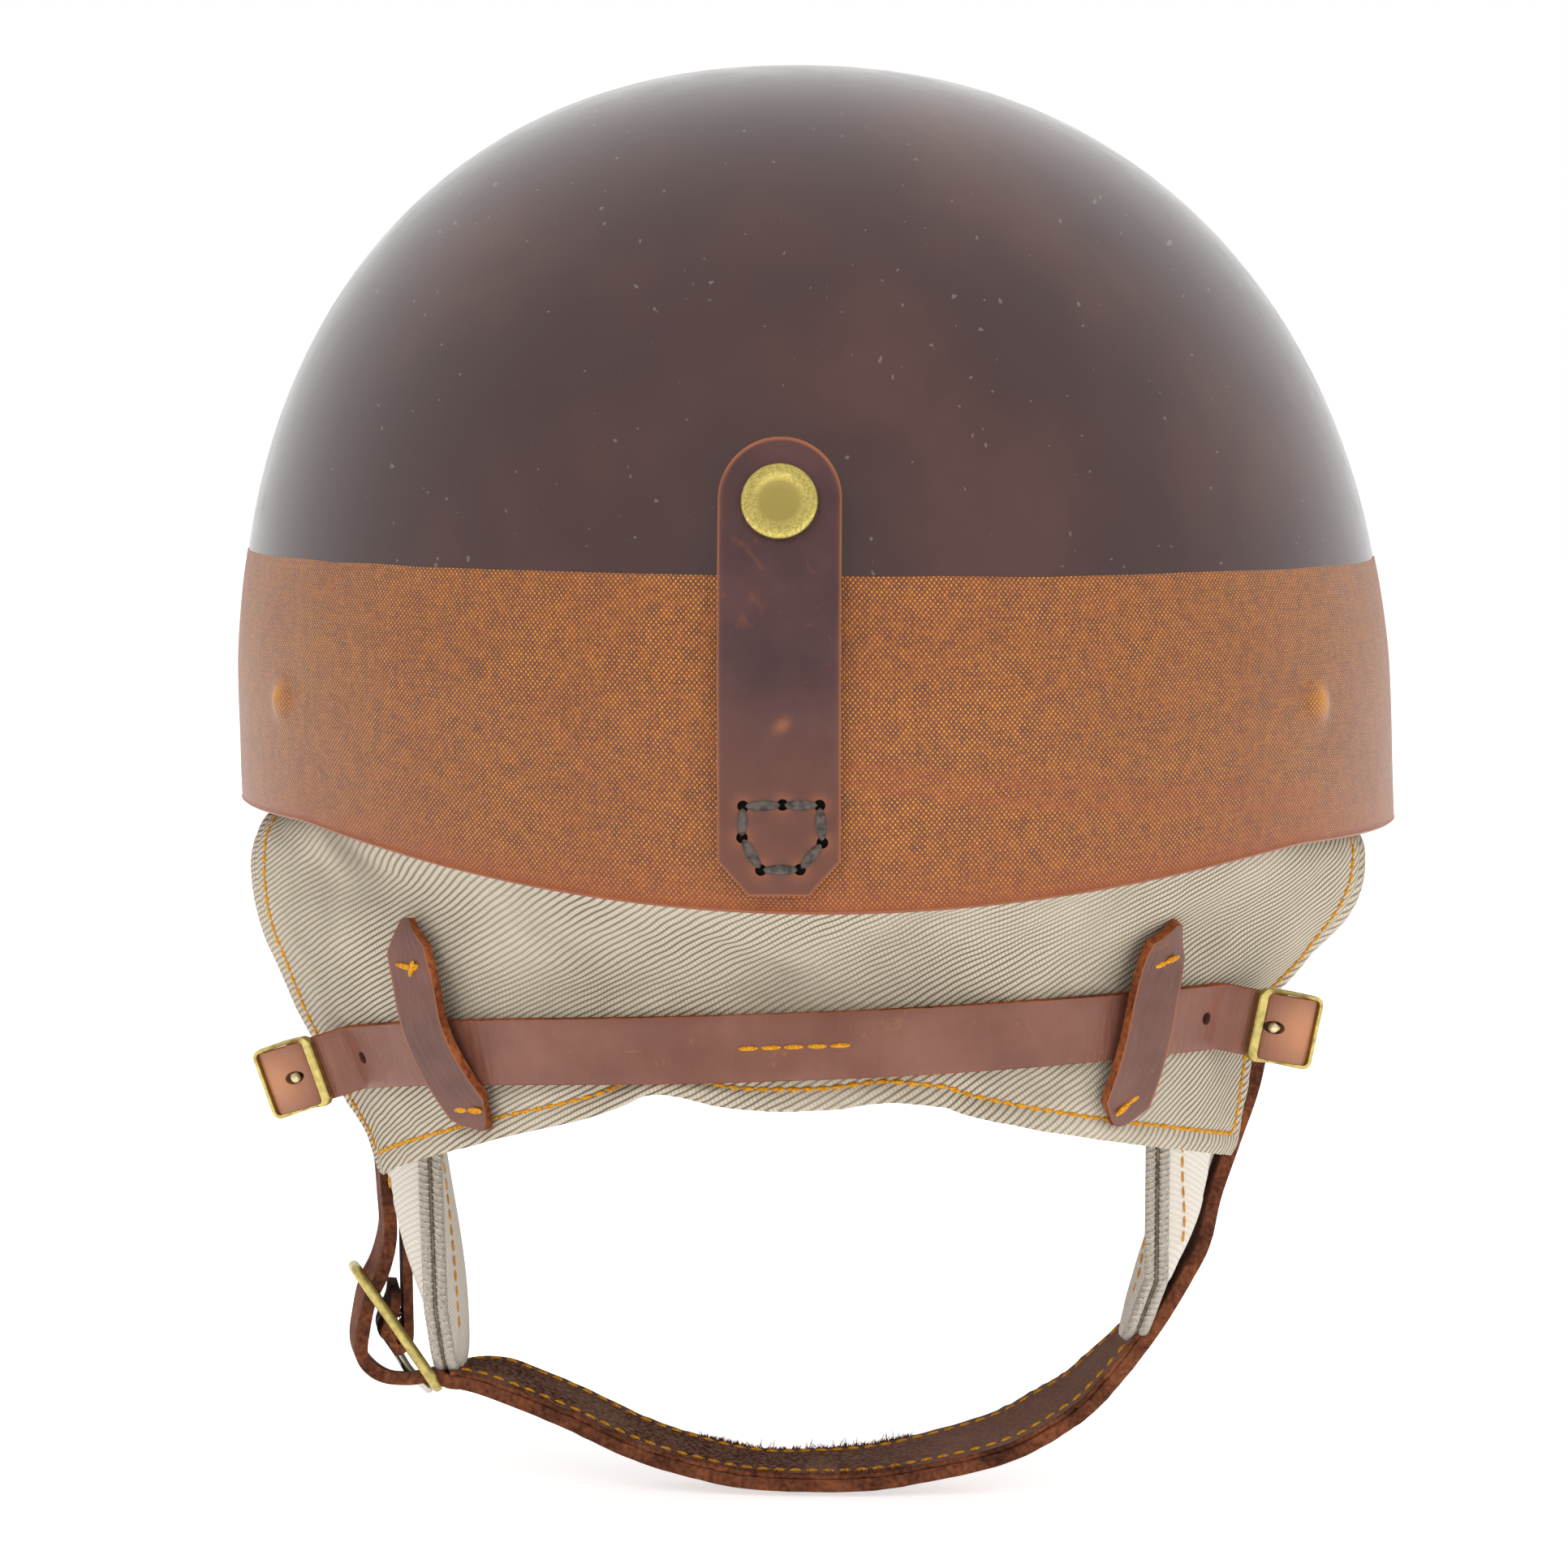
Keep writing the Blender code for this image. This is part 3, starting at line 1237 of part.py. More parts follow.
def main():
    shell = make_shell()
    make_liner(shell)
    for number in range(1, TAPE_COUNT + 1):
        make_tape(number)
    make_lace()
    make_tab()
    make_curtain()
    make_neck_strap()
    make_keeper("strap_keeper_left", KEEPER_LEFT_SHARES)
    make_keeper("strap_keeper_right", KEEPER_RIGHT_SHARES)
    swinging = []
    for side, name in ((1, "left"), (-1, "right")):
        make_neck_buckle(side, name)
        swinging.append(make_ear_flap(side, name))
    make_hanger(1, "left", SHORT_STRAP_THICKNESS, SHORT_STRAP_WIDTH)
    make_hanger(-1, "right", CHIN_STRAP_THICKNESS, CHIN_STRAP_WIDTH)
    swinging.extend(make_chin_strap())
    swinging.append(make_short_strap())
    frame, tongue = make_chin_buckle()
    swinging.append(frame)
    harness = pivot("chin_harness_axis", Matrix.Translation((0, 0, SWING_Z)), swinging)
    pivot("chin_prong_axis", chin_frame(), (tongue,), harness)


main()
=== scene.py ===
"""Dressed model of a half-shell racing helmet, seen from behind.

A lacquered shell with a linen rim band and a leather goggle-strap tab, a twill neck curtain with
a buckled leather strap, twill ear flaps and a leather chin strap. Everything is in metres, in the
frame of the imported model: +Z up, the face towards -Y, the wearer's left at +X.
"""

import random
from math import atan2, cos, exp, hypot, pi, radians, sin

import bpy
from mathutils import Matrix, Vector, noise


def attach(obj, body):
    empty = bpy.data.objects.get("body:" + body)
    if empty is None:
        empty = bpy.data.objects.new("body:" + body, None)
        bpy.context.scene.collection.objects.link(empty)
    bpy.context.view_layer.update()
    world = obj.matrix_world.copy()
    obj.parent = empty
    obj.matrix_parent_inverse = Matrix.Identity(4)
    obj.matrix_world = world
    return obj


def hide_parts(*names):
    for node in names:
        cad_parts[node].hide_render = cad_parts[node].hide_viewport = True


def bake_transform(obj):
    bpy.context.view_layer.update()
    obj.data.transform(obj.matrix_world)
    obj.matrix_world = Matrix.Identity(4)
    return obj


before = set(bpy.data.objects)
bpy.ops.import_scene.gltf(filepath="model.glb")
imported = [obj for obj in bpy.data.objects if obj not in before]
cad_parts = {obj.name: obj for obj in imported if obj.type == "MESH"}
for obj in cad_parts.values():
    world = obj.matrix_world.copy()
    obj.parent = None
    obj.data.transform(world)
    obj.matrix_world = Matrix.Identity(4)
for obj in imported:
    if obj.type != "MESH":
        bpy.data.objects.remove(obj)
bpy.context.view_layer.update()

MM = 0.001

# Shell and rim
SHELL_HALF_WIDTH = 116.4 * MM
SHELL_HALF_LENGTH = 139 * MM
BROW_Z = 20 * MM
DOME_RISE = 129.1 * MM
DOME_POWER = 2.2
DOME_LEAN_SHARE = 0.032
SHELL_WALL = 4 * MM
REAR_DROP = 10 * MM
REAR_DROP_ANGLE = radians(55)
REAR_DROP_POWER = 1.3
RIM_TILT = 2.2 * MM
WALL_GIRTH = 2 * pi * 128 * MM
BAND_TOP_Z = 51 * MM
BAND_THICKNESS = 0.7 * MM
BAND_GAP = 0.3 * MM
FIT_GAP = 0.4 * MM
SEW_GAP = 0.6 * MM
RIVET_ANGLES = (58, 122, 238, 302)
RIVET_Z = 24 * MM
RIVET_BUMP = 1.7 * MM
RIVET_BUMP_REACH = 3.4 * MM
BAND_TURN_DOWN = 0.55 * MM
BAND_TURN_IN = 3.2 * MM
BAND_SUNK = 0.3 * MM
BAND_TOP_SUNK = 0.55 * MM
BAND_CREASES = (13 * MM, 16.2 * MM)

# Liner
CORK_LOW_Z = 7 * MM
CORK_TOP_Z = 49 * MM
CORK_THICKNESS = 10 * MM
CRADLE_LOW_Z = 15 * MM
CRADLE_TOP_Z = 33 * MM
CRADLE_THICKNESS = 1.2 * MM
SWEATBAND_LOW_Z = 5 * MM
SWEATBAND_TOP_Z = 40 * MM
SWEATBAND_THICKNESS = 1.8 * MM
SWEATBAND_LEAN = 11 * MM
TAPE_COUNT = 6
TAPE_WIDTH = 18 * MM
TAPE_END_WIDTH = 10 * MM
TAPE_THICKNESS = 1.2 * MM
LACE_Z = 118 * MM
LACE_RING_RADIUS = 15 * MM
LACE_RADIUS = 1.5 * MM

# Tab at the back and its snap
TAB_WIDTH = 22 * MM
TAB_THICKNESS = 2 * MM
TAB_FOOT_Z = -7.2 * MM
TAB_FOLD_Z = 13 * MM
TAB_TOP_Z = 74.6 * MM
TAB_CHAMFER = 6.3 * MM
TAB_FOOT_END_WIDTH = 10.6 * MM
TAB_STAND_OFF = 2.6 * MM
TAB_SHIFT = 0.7 * MM
SNAP_Z = TAB_TOP_Z - TAB_WIDTH / 2
CAP_Z = 63 * MM
SNAP_CAP_RADIUS = 7.0 * MM
SNAP_CAP_HEIGHT = 1.7 * MM
SNAP_POST_RADIUS = 1.7 * MM
TAB_HOLE_RADIUS = 1.05 * MM
TAB_HOLE_SINK = 0.35 * MM
TAB_SCUFF = (-0.6 * MM, 0, 23.4 * MM)

# Neck curtain
CURTAIN_THICKNESS = 1.5 * MM
CURTAIN_TOP_ANGLE = radians(82.5)
CURTAIN_TUCK = 4 * MM
CURTAIN_TOP_GAP = 0.7 * MM
HEM_ANGLE = radians(75)
HEM_HALF_WIDTH = 88.4 * MM
HEM_CENTRE_Y = 18.5 * MM
HEM_DEPTH = 84.5 * MM
HEM_Z = -51 * MM
HEM_CORNER_DROP_LEFT = 22 * MM
HEM_CORNER_DROP_RIGHT = 16.5 * MM
HEM_DROP_START_SHARE = 0.25
HEM_SCALLOP = 2.5 * MM
HEM_SCALLOP_SHARES = ((0.215, 0.085, 1.0), (-0.15, 0.08, 0.6))
HEM_FLARE = 1.2 * MM
WING_START_SHARE = 0.095
WAIST_SHARE = 0.54
DENT_DEPTH = 3 * MM
DENT_SHARES = (
    (0.69, 0.24, 0.16, 0.1, 1.2),
    (0.40, 0.50, 0.15, 0.1, 1.0),
    (0.03, 0.46, 0.09, 0.13, 0.9),
    (-0.66, 0.34, 0.16, 0.11, 0.7),
)
HEM_STITCH_INSET = 4 * MM
CURTAIN_CORNER = 6 * MM
# How far each wing stands out, and over which share of its depth
CURTAIN_WING_LEFT = (10 * MM, 0.8)
CURTAIN_WING_RIGHT = (5 * MM, 0.45)
# Half girth of the cloth at its top and at its hem, for the weave
CURTAIN_TOP_REACH = 165 * MM
CURTAIN_HEM_REACH = 128 * MM
CURTAIN_GROOVE = 0.35 * MM
CURTAIN_PUFF = 0.4 * MM
CURTAIN_PUCKER = 0.12 * MM
# Pitch, length, width and height of each seam's stitches
HEM_STITCH = (2.8 * MM, 2.6 * MM, 0.95 * MM, 0.75 * MM)
BAR_STITCH = (4.3 * MM, 3.9 * MM, 0.95 * MM, 0.6 * MM)
FLAP_STITCH = (3.3 * MM, 2.6 * MM, 0.6 * MM, 0.45 * MM)
CHIN_STITCH = (3.4 * MM, 2.5 * MM, 0.8 * MM, 0.95 * MM)

# Neck strap, keepers and buckles
NECK_STRAP_WIDTH = 12.7 * MM
NECK_STRAP_THICKNESS = 1.8 * MM
NECK_STRAP_Z = -38.7 * MM
NECK_STRAP_TILT = 5 * MM
NECK_STRAP_REACH_LEFT = 0.845
NECK_STRAP_REACH_RIGHT = -0.74
NECK_STRAP_FALL_LEFT = 3.5 * MM
NECK_STRAP_FALL_RIGHT = 1.4 * MM
STRAP_HOLE_RADIUS = 1.25 * MM
KEEPER_WIDTH = 9 * MM
KEEPER_THICKNESS = 1.4 * MM
KEEPER_WALL = 2 * MM
KEEPER_REACH = 5.4 * MM
KEEPER_RISE = 3.9 * MM
# Upper and lower end of the left and of the right keeper
KEEPER_LEFT_Z = (-17 * MM, -57.5 * MM)
KEEPER_RIGHT_Z = (-15.5 * MM, -56 * MM)
NECK_FRAME_HALF_LENGTH = 7 * MM
NECK_FRAME_HALF_WIDTH = 7.2 * MM
NECK_FRAME_THICKNESS = 1.8 * MM
NECK_FRAME_CORNER = 1.8 * MM
NECK_FRAME_BROAD_END = 2.1 * MM
NECK_FRAME_NARROW_END = 0.9 * MM
NECK_FRAME_SIDE = 0.85 * MM
NECK_BUCKLE_BAR = 2 * MM
NECK_BUCKLE_BOW = 3 * MM
NECK_BUCKLE_REST = 13 * MM
NECK_BUCKLE_TURN = radians(26)
NECK_DROOP_LEFT = radians(17)
NECK_DROOP_RIGHT = radians(11)
CENTRE_BAR_RADIUS = 0.8 * MM
CHAPE_THICKNESS = 1.1 * MM
CHAPE_WIDTH = 12 * MM
CHAPE_LENGTH = 10.5 * MM
CHAPE_DIP = 2.3 * MM
CHAPE_BODY = 2.4 * MM
CHAPE_REACH = 5.9 * MM
PRONG_RADIUS = 0.7 * MM
PRONG_SLACK = 0.65 * MM
PRONG_BALL_RADIUS = 1.05 * MM
PRONG_HOLE_RADIUS = 1.3 * MM
NECK_PRONG_TIP_LEFT = -1.9 * MM
NECK_PRONG_TIP_RIGHT = -3.4 * MM

# Ear flaps and chin harness
SWING_Z = -80 * MM
SWING_RADIUS = 22 * MM
FLAP_TOP_Z = CORK_LOW_Z - SEW_GAP
FLAP_TOP_X = SHELL_HALF_WIDTH - 12.2 * MM
FLAP_TOP_FRONT_Y = -38 * MM
FLAP_TOP_REAR_Y = 12 * MM
FLAP_NECK_HALF_LENGTH = 24 * MM
FLAP_TIP_HALF_LENGTH = 8 * MM
FLAP_TIP_Z_LEFT = -119.3 * MM
FLAP_TIP_Z_RIGHT = -111 * MM
FLAP_TIP_X_LEFT = SHELL_HALF_WIDTH - 40 * MM
FLAP_TIP_X_RIGHT = SHELL_HALF_WIDTH - 52 * MM
FLAP_EDGE_THICKNESS = 2.4 * MM
FLAP_OUTER_BULGE = 1.3 * MM
FLAP_SHOULDER = 4.5 * MM
FLAP_INNER_BULGE = 6.5 * MM
FLAP_SHOULDER_Y = 11.5 * MM
FLAP_LEAN_LEFT = 1.4
FLAP_LEAN_RIGHT = 1.0
# In mm: how high the outer face stands, a swell on it and how far down that lies
FLAP_FACE_LEFT = (9, 1.6, 92)
FLAP_FACE_RIGHT = (8, 3.5, 86)
FLAP_FLATTER_LEFT = 2.6 * MM
FLAP_FLATTER_RIGHT = 3.2 * MM
FLAP_PLUMB_LEFT = 77.8 * MM
FLAP_PLUMB_RIGHT = 69.3 * MM
FLAP_RIDGE_RADIUS = 1.15 * MM
FLAP_RIDGE_SHIFT = 1.35 * MM
FLAP_GROOVE_RADIUS = 0.28 * MM
OVERCAST_PITCH = 1.25 * MM
CHIN_STRAP_WIDTH = 20 * MM
CHIN_STRAP_THICKNESS = 2.7 * MM
CHIN_LINING_THICKNESS = 1.1 * MM
CHIN_HALF_SPAN = 84.2 * MM
CHIN_DEPTH = 140.5 * MM
SHORT_STRAP_WIDTH = 19 * MM
SHORT_STRAP_THICKNESS = 2 * MM
HANGER_TOP_Z = -24 * MM
HANGER_SET_IN = 4.8 * MM
HANGER_SET_OUT = 2.9 * MM
CHIN_ROUTE_SHARES = (
    (-0.942, 0.632),
    (-0.909, 0.676),
    (-0.817, 0.768),
    (-0.693, 0.861),
    (-0.603, 0.907),
    (-0.463, 0.953),
    (-0.270, 0.983),
    (-0.095, 0.999),
    (0.153, 0.998),
    (0.320, 0.979),
    (0.461, 0.952),
    (0.631, 0.905),
    (0.825, 0.861),
)
CHIN_BUCKLE_X = 88 * MM
CHIN_BUCKLE_Z = -110 * MM
CHIN_BUCKLE_TILT = radians(55.5)
CHIN_BUCKLE_LENGTH = 31.6 * MM
CHIN_BUCKLE_WIDTH = 27 * MM
CHIN_BUCKLE_BAR = 2.4 * MM
CHIN_BUCKLE_CORNER = 4 * MM
CHIN_BUCKLE_TWIST = radians(11.4)
CHIN_CENTRE_BAR_RADIUS = 1.2 * MM
CHIN_PRONG_RADIUS = 1 * MM
CHIN_HOLE_RADIUS = 1.8 * MM
CHIN_STITCH_ROW = 7.6 * MM
# The strap's turn about its own length: x in mm, degrees with its inner face to the rear
CHIN_TURNS = (
    (-100, 0),
    (-70, 1),
    (-58, 10),
    (-46, 13),
    (-20, 8),
    (10, 3),
    (44, 5),
    (66, 5),
    (79, -7),
    (90, -11),
)
CHIN_STILL_EDGE = 8 * MM
# The strap's route is cut into this many steps a span; its lining runs between two spans
ROUTE_STEPS = 8
LINING_FIRST_SPAN = 8
LINING_LAST_SPAN = 19
FIBRE_COUNT = 900

# Studio
FLOOR_Z = -143.2 * MM
CAMERA_AZIMUTH = radians(183)
CAMERA_ELEVATION = radians(4)
CAMERA_DISTANCE = 1.1
CAMERA_TARGET = (7.2 * MM, 0, 3 * MM)
CAMERA_LENS = 123
# Name, place, width in metres and power in watts of each soft lamp
LAMPS = (
    ("key_lamp", (0.7, 1.6, 1.5), 1.6, 17.0),
    ("fill_lamp", (-1.4, 1.2, 0.7), 1.4, 9.0),
    ("top_lamp", (0.0, -0.3, 2.0), 1.8, 12.0),
)


# Small tools


def linear(code):
    """An sRGB hex colour as linear light with full alpha."""
    channels = [int(code[i : i + 2], 16) / 255 for i in (0, 2, 4)]
    light = [c / 12.92 if c <= 0.04045 else ((c + 0.055) / 1.055) ** 2.4 for c in channels]
    return (*light, 1.0)


def add(tree, kind, inputs=None, take=0, **settings):
    """Adds a shader node with its settings and links, and returns one of its outputs."""
    item = tree.nodes.new("ShaderNode" + kind)
    for key, value in settings.items():
        setattr(item, key, value)
    for key, value in (inputs or {}).items():
        if isinstance(value, bpy.types.NodeSocket):
            tree.links.new(value, item.inputs[key])
        else:
            item.inputs[key].default_value = value
    return item.outputs[take]


def new_material(name, code, roughness, metallic=0.0, shine=0.5):
    """A material of one colour, with its node tree and its shader's inputs."""
    material = bpy.data.materials.new(name)
    material.use_nodes = True
    shader = material.node_tree.nodes["Principled BSDF"].inputs
    shader["Base Color"].default_value = linear(code)
    shader["Roughness"].default_value = roughness
    shader["Metallic"].default_value = metallic
    shader["Specular IOR Level"].default_value = shine
    return material, material.node_tree, shader


def mix(tree, share, first, second):
    """Blends two colours or colour sockets by a share."""
    return add(tree, "Mix", {0: share, 6: first, 7: second}, take=2, data_type="RGBA")


def alone(piece):
    """Selects one object only and makes it the active one."""
    bpy.ops.object.select_all(action="DESELECT")
    piece.select_set(True)
    bpy.context.view_layer.objects.active = piece


def shaped_by(piece, kind, **settings):
    """Adds a modifier and applies it."""
    alone(piece)
    step = piece.modifiers.new("step", kind)
    for key, value in settings.items():
        setattr(step, key, value)
    bpy.ops.object.modifier_apply(modifier=step.name)


def dress(piece, name, materials, smooth=50):
    """Names a piece, gives it its materials and smooths it up to an angle in degrees."""
    piece.name = name
    piece.data.name = name
    coats = piece.data.materials
    for place, material in enumerate(materials):
        if place < len(coats):
            coats[place] = material
        else:
            coats.append(material)
    alone(piece)
    bpy.ops.object.shade_smooth_by_angle(angle=radians(smooth))
    return piece


def set_on(piece, body, slot, *nodes):
    """Rides a piece on its body, in place of the nodes that it stands for; the slot is not used."""
    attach(piece, body)
    if nodes:
        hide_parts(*nodes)


def weld(piece, distance=MM / 100):
    """Merges doubled points and turns all faces outwards."""
    alone(piece)
    bpy.ops.object.mode_set(mode="EDIT")
    bpy.ops.mesh.select_all(action="SELECT")
    bpy.ops.mesh.remove_doubles(threshold=distance)
    bpy.ops.mesh.normals_make_consistent(inside=False)
    bpy.ops.object.mode_set(mode="OBJECT")


def bent_sheet(columns, rows, place, flat, thickness, edge=0.0, offset=0.0, ring=False):
    """A grid bent by place(across, along), both from -1 to 1, its UV map in metres, with a wall."""
    bpy.ops.object.select_all(action="DESELECT")
    bpy.ops.mesh.primitive_grid_add(x_subdivisions=columns, y_subdivisions=rows, size=2)
    piece = bpy.context.object
    corners = piece.data.uv_layers.active.data
    for loop in piece.data.loops:
        spot = piece.data.vertices[loop.vertex_index].co
        corners[loop.index].uv = (spot.x * flat[0] / 2, spot.y * flat[1] / 2)
    for vertex in piece.data.vertices:
        vertex.co = place(vertex.co.x, vertex.co.y)
    if ring:
        weld(piece)
    for _ in range(2):
        piece.data.materials.append(None)
    shaped_by(piece, "SOLIDIFY", thickness=thickness, offset=offset, material_offset_rim=1)
    if edge:
        shaped_by(
            piece,
            "BEVEL",
            width=edge,
            segments=2,
            limit_method="ANGLE",
            angle_limit=radians(60),
            material=1,
        )
    return piece


def turn_map(piece):
    """Turns a strap's UV map so that U runs along it."""
    for corner in piece.data.uv_layers.active.data:
        corner.uv = (corner.uv[1], corner.uv[0])


def smooth_route(points, steps):
    """A Catmull-Rom line through vectors of any size, steps points to a span."""
    route = []
    last = len(points) - 1
    for k in range(last):
        before = points[max(0, k - 1)]
        start, end = points[k], points[k + 1]
        after = points[min(last, k + 2)]
        for i in range(steps):
            t = i / steps
            route.append(
                0.5
                * (
                    2 * start
                    + (end - before) * t
                    + (2 * before - 5 * start + 4 * end - after) * t**2
                    + (3 * start - before - 3 * end + after) * t**3
                )
            )
    route.append(points[last].copy())
    return route


def pick(route, share):
    """A point of a route at a share from 0 to 1 of its count."""
    at = min(max(share, 0.0), 1.0) * (len(route) - 1)
    low = min(int(at), len(route) - 2)
    return route[low].lerp(route[low + 1], at - low)


def tube(points, radius, cyclic=False, sides=4):
    """A round rod through points, as a mesh."""
    bpy.ops.object.select_all(action="DESELECT")
    bpy.ops.curve.primitive_nurbs_path_add()
    piece = bpy.context.object
    curve = piece.data
    curve.splines.clear()
    spline = curve.splines.new("POLY")
    spline.points.add(len(points) - 1)
    for target, point in zip(spline.points, points):
        target.co = (*point, 1)
    spline.use_cyclic_u = cyclic
    curve.bevel_depth = radius
    curve.bevel_resolution = sides
    curve.use_fill_caps = not cyclic
    alone(piece)
    bpy.ops.object.convert(target="MESH")
    piece = bpy.context.object
    weld(piece, MM / 1000)
    return piece


def lathe(profile, place, steps=64):
    """A profile of (radius, height) turned about the Z of place."""
    bpy.ops.object.select_all(action="DESELECT")
    bpy.ops.mesh.primitive_plane_add(size=1)
    piece = bpy.context.object
    mesh = bpy.data.meshes.new("profile")
    edges = [(i, i + 1) for i in range(len(profile) - 1)]
    mesh.from_pydata([(radius, 0, height) for radius, height in profile], edges, [])
    piece.data = mesh
    shaped_by(
        piece,
        "SCREW",
        steps=steps,
        render_steps=steps,
        use_merge_vertices=True,
        merge_threshold=MM / 1000,
    )
    piece.data.transform(place)
    weld(piece)
    return piece


def rod(radius, depth, place, sides=24):
    """A round bar along the Z of place, for cutting a hole."""
    bpy.ops.mesh.primitive_cylinder_add(vertices=sides, radius=radius, depth=depth)
    piece = bpy.context.object
    piece.data.transform(place)
    return piece


def cut_by(piece, cutter, crosses=False):
    """Takes a cutter's body out of a piece, which may touch or cross itself."""
    settings = {"operation": "DIFFERENCE", "solver": "EXACT", "use_self": crosses}
    shaped_by(piece, "BOOLEAN", object=cutter, **settings)
    bpy.data.objects.remove(cutter)


def joined(pieces):
    """Joins several objects into the first."""
    bpy.ops.object.select_all(action="DESELECT")
    for piece in pieces:
        piece.select_set(True)
    bpy.context.view_layer.objects.active = pieces[0]
    bpy.ops.object.join()
    return bpy.context.object


def copies(pattern, places):
    """One small pattern copied to each place, as one mesh; the pattern itself goes."""
    made = []
    for place in places:
        twin = pattern.copy()
        twin.data = pattern.data.copy()
        twin.data.transform(place)
        bpy.context.scene.collection.objects.link(twin)
        made.append(twin)
    bpy.data.objects.remove(pattern)
    return joined(made)


def frame_at(origin, x_axis, z_axis):
    """A placement from an origin, an X direction and a Z direction roughly square to it."""
    x_axis = Vector(x_axis).normalized()
    y_axis = Vector(z_axis).cross(x_axis).normalized()
    z_axis = x_axis.cross(y_axis)
    place = Matrix((x_axis, y_axis, z_axis)).transposed().to_4x4()
    place.translation = origin
    return place


def bean(length, width, height):
    """A stitch of thread: a small rounded body along X."""
    bpy.ops.object.select_all(action="DESELECT")
    bpy.ops.mesh.primitive_uv_sphere_add(segments=8, ring_count=6, radius=0.5)
    piece = bpy.context.object
    piece.data.transform(Matrix.Rotation(pi / 2, 4, "Y"))
    piece.data.transform(Matrix.Diagonal((length, width, height, 1)))
    return piece


def seam(name, runs, sizes, material, body=None):
    """Rows of stitches; each run is a list of (point, outward) along which they are set. Sizes are
    a stitch's pitch, length, width and height."""
    pitch, *size = sizes
    places = []
    for run in runs:
        travelled = 0.0
        due = pitch / 2
        for (start, out), (end, _) in zip(run, run[1:]):
            span = (end - start).length
            while due <= travelled + span:
                spot = start.lerp(end, (due - travelled) / span)
                places.append(frame_at(spot, end - start, out))
                due += pitch
            travelled += span
    piece = copies(bean(*size), places)
    dress(piece, name, [material], 180)
    if body:
        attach(piece, body)
    return piece


def paint(piece, name, value):
    """A point attribute from value(point), read by the piece's material."""
    attribute = piece.data.attributes.new(name, "FLOAT", "POINT")
    for vertex in piece.data.vertices:
        attribute.data[vertex.index].value = value(vertex.co)


def near(point, centre, reach):
    """1 at a centre, fading to 0 with distance, at the pace of reach."""
    return exp(-(((point - centre).length / reach) ** 2))


# The helmet's own shapes


def rim_z(angle):
    """Height of the rim at an angle from the rear: it dips at the nape."""
    away = abs(atan2(sin(angle), cos(angle)))
    level = RIM_TILT * sin(angle)
    if away >= REAR_DROP_ANGLE:
        return level
    return level - REAR_DROP * cos(away / REAR_DROP_ANGLE * pi / 2) ** REAR_DROP_POWER


def dome_share(z, inset=0.0):
    """Share of the wall's girth that is left at height z of the dome."""
    if z <= BROW_Z:
        return 1.0
    return max(0.0, 1 - ((z - BROW_Z) / (DOME_RISE - inset)) ** DOME_POWER) ** (1 / DOME_POWER)


def wall_point(angle, z, inset=0.0, share=None):
    """A point of the shell's wall, set in by inset."""
    share = dome_share(z, inset) if share is None else share
    return Vector(
        (
            share * (SHELL_HALF_WIDTH - inset) * sin(angle) + DOME_LEAN_SHARE * z,
            share * (SHELL_HALF_LENGTH - inset) * cos(angle),
            z,
        )
    )


def liner_share(z):
    """Share of the girth along the straight facet that the liner follows."""
    fall = 1 - dome_share(CORK_TOP_Z)
    return 1 - fall * max(0.0, z - BROW_Z) / (CORK_TOP_Z - BROW_Z)


CORK_INSET = SHELL_WALL + FIT_GAP + BAND_GAP
CRADLE_INSET = CORK_INSET + CORK_THICKNESS + FIT_GAP
TAPE_INSET = CRADLE_INSET + CRADLE_THICKNESS + FIT_GAP
SWEATBAND_INSET = CRADLE_INSET - 2 * FIT_GAP
TAB_BASE_GAP = BAND_GAP + BAND_THICKNESS + BAND_GAP + TAB_THICKNESS / 2


def tab_point(x, z):
    """Middle of the tab's leather, which stands off towards the snap."""
    rise = max(0.0, z - TAB_FOLD_Z) / (SNAP_Z - TAB_FOLD_Z)
    gap = TAB_BASE_GAP + TAB_STAND_OFF * rise**1.5
    share = dome_share(z) * (1 - min(1.0, abs(x) / SHELL_HALF_WIDTH) ** 2) ** 0.5
    return Vector((x + TAB_SHIFT, share * SHELL_HALF_LENGTH + gap, z))


def hem_z(across):
    """Height of the curtain's hem: lower at its corners, with two shallow scallops."""
    drop, power = (HEM_CORNER_DROP_LEFT, 1.0) if across > 0 else (HEM_CORNER_DROP_RIGHT, 0.8)
    run = max(0.0, abs(across) - HEM_DROP_START_SHARE) / (1 - HEM_DROP_START_SHARE)
    scallop = 0.0
    for at_share, wide_share, share in HEM_SCALLOP_SHARES:
        scallop += HEM_SCALLOP * share * exp(-(((across - at_share) / wide_share) ** 2))
    return HEM_Z - drop * run**power + scallop


def curtain_top_z(across):
    """Height of the curtain's upper edge, tucked up inside the rim."""
    return rim_z(across * CURTAIN_TOP_ANGLE) + CURTAIN_TUCK


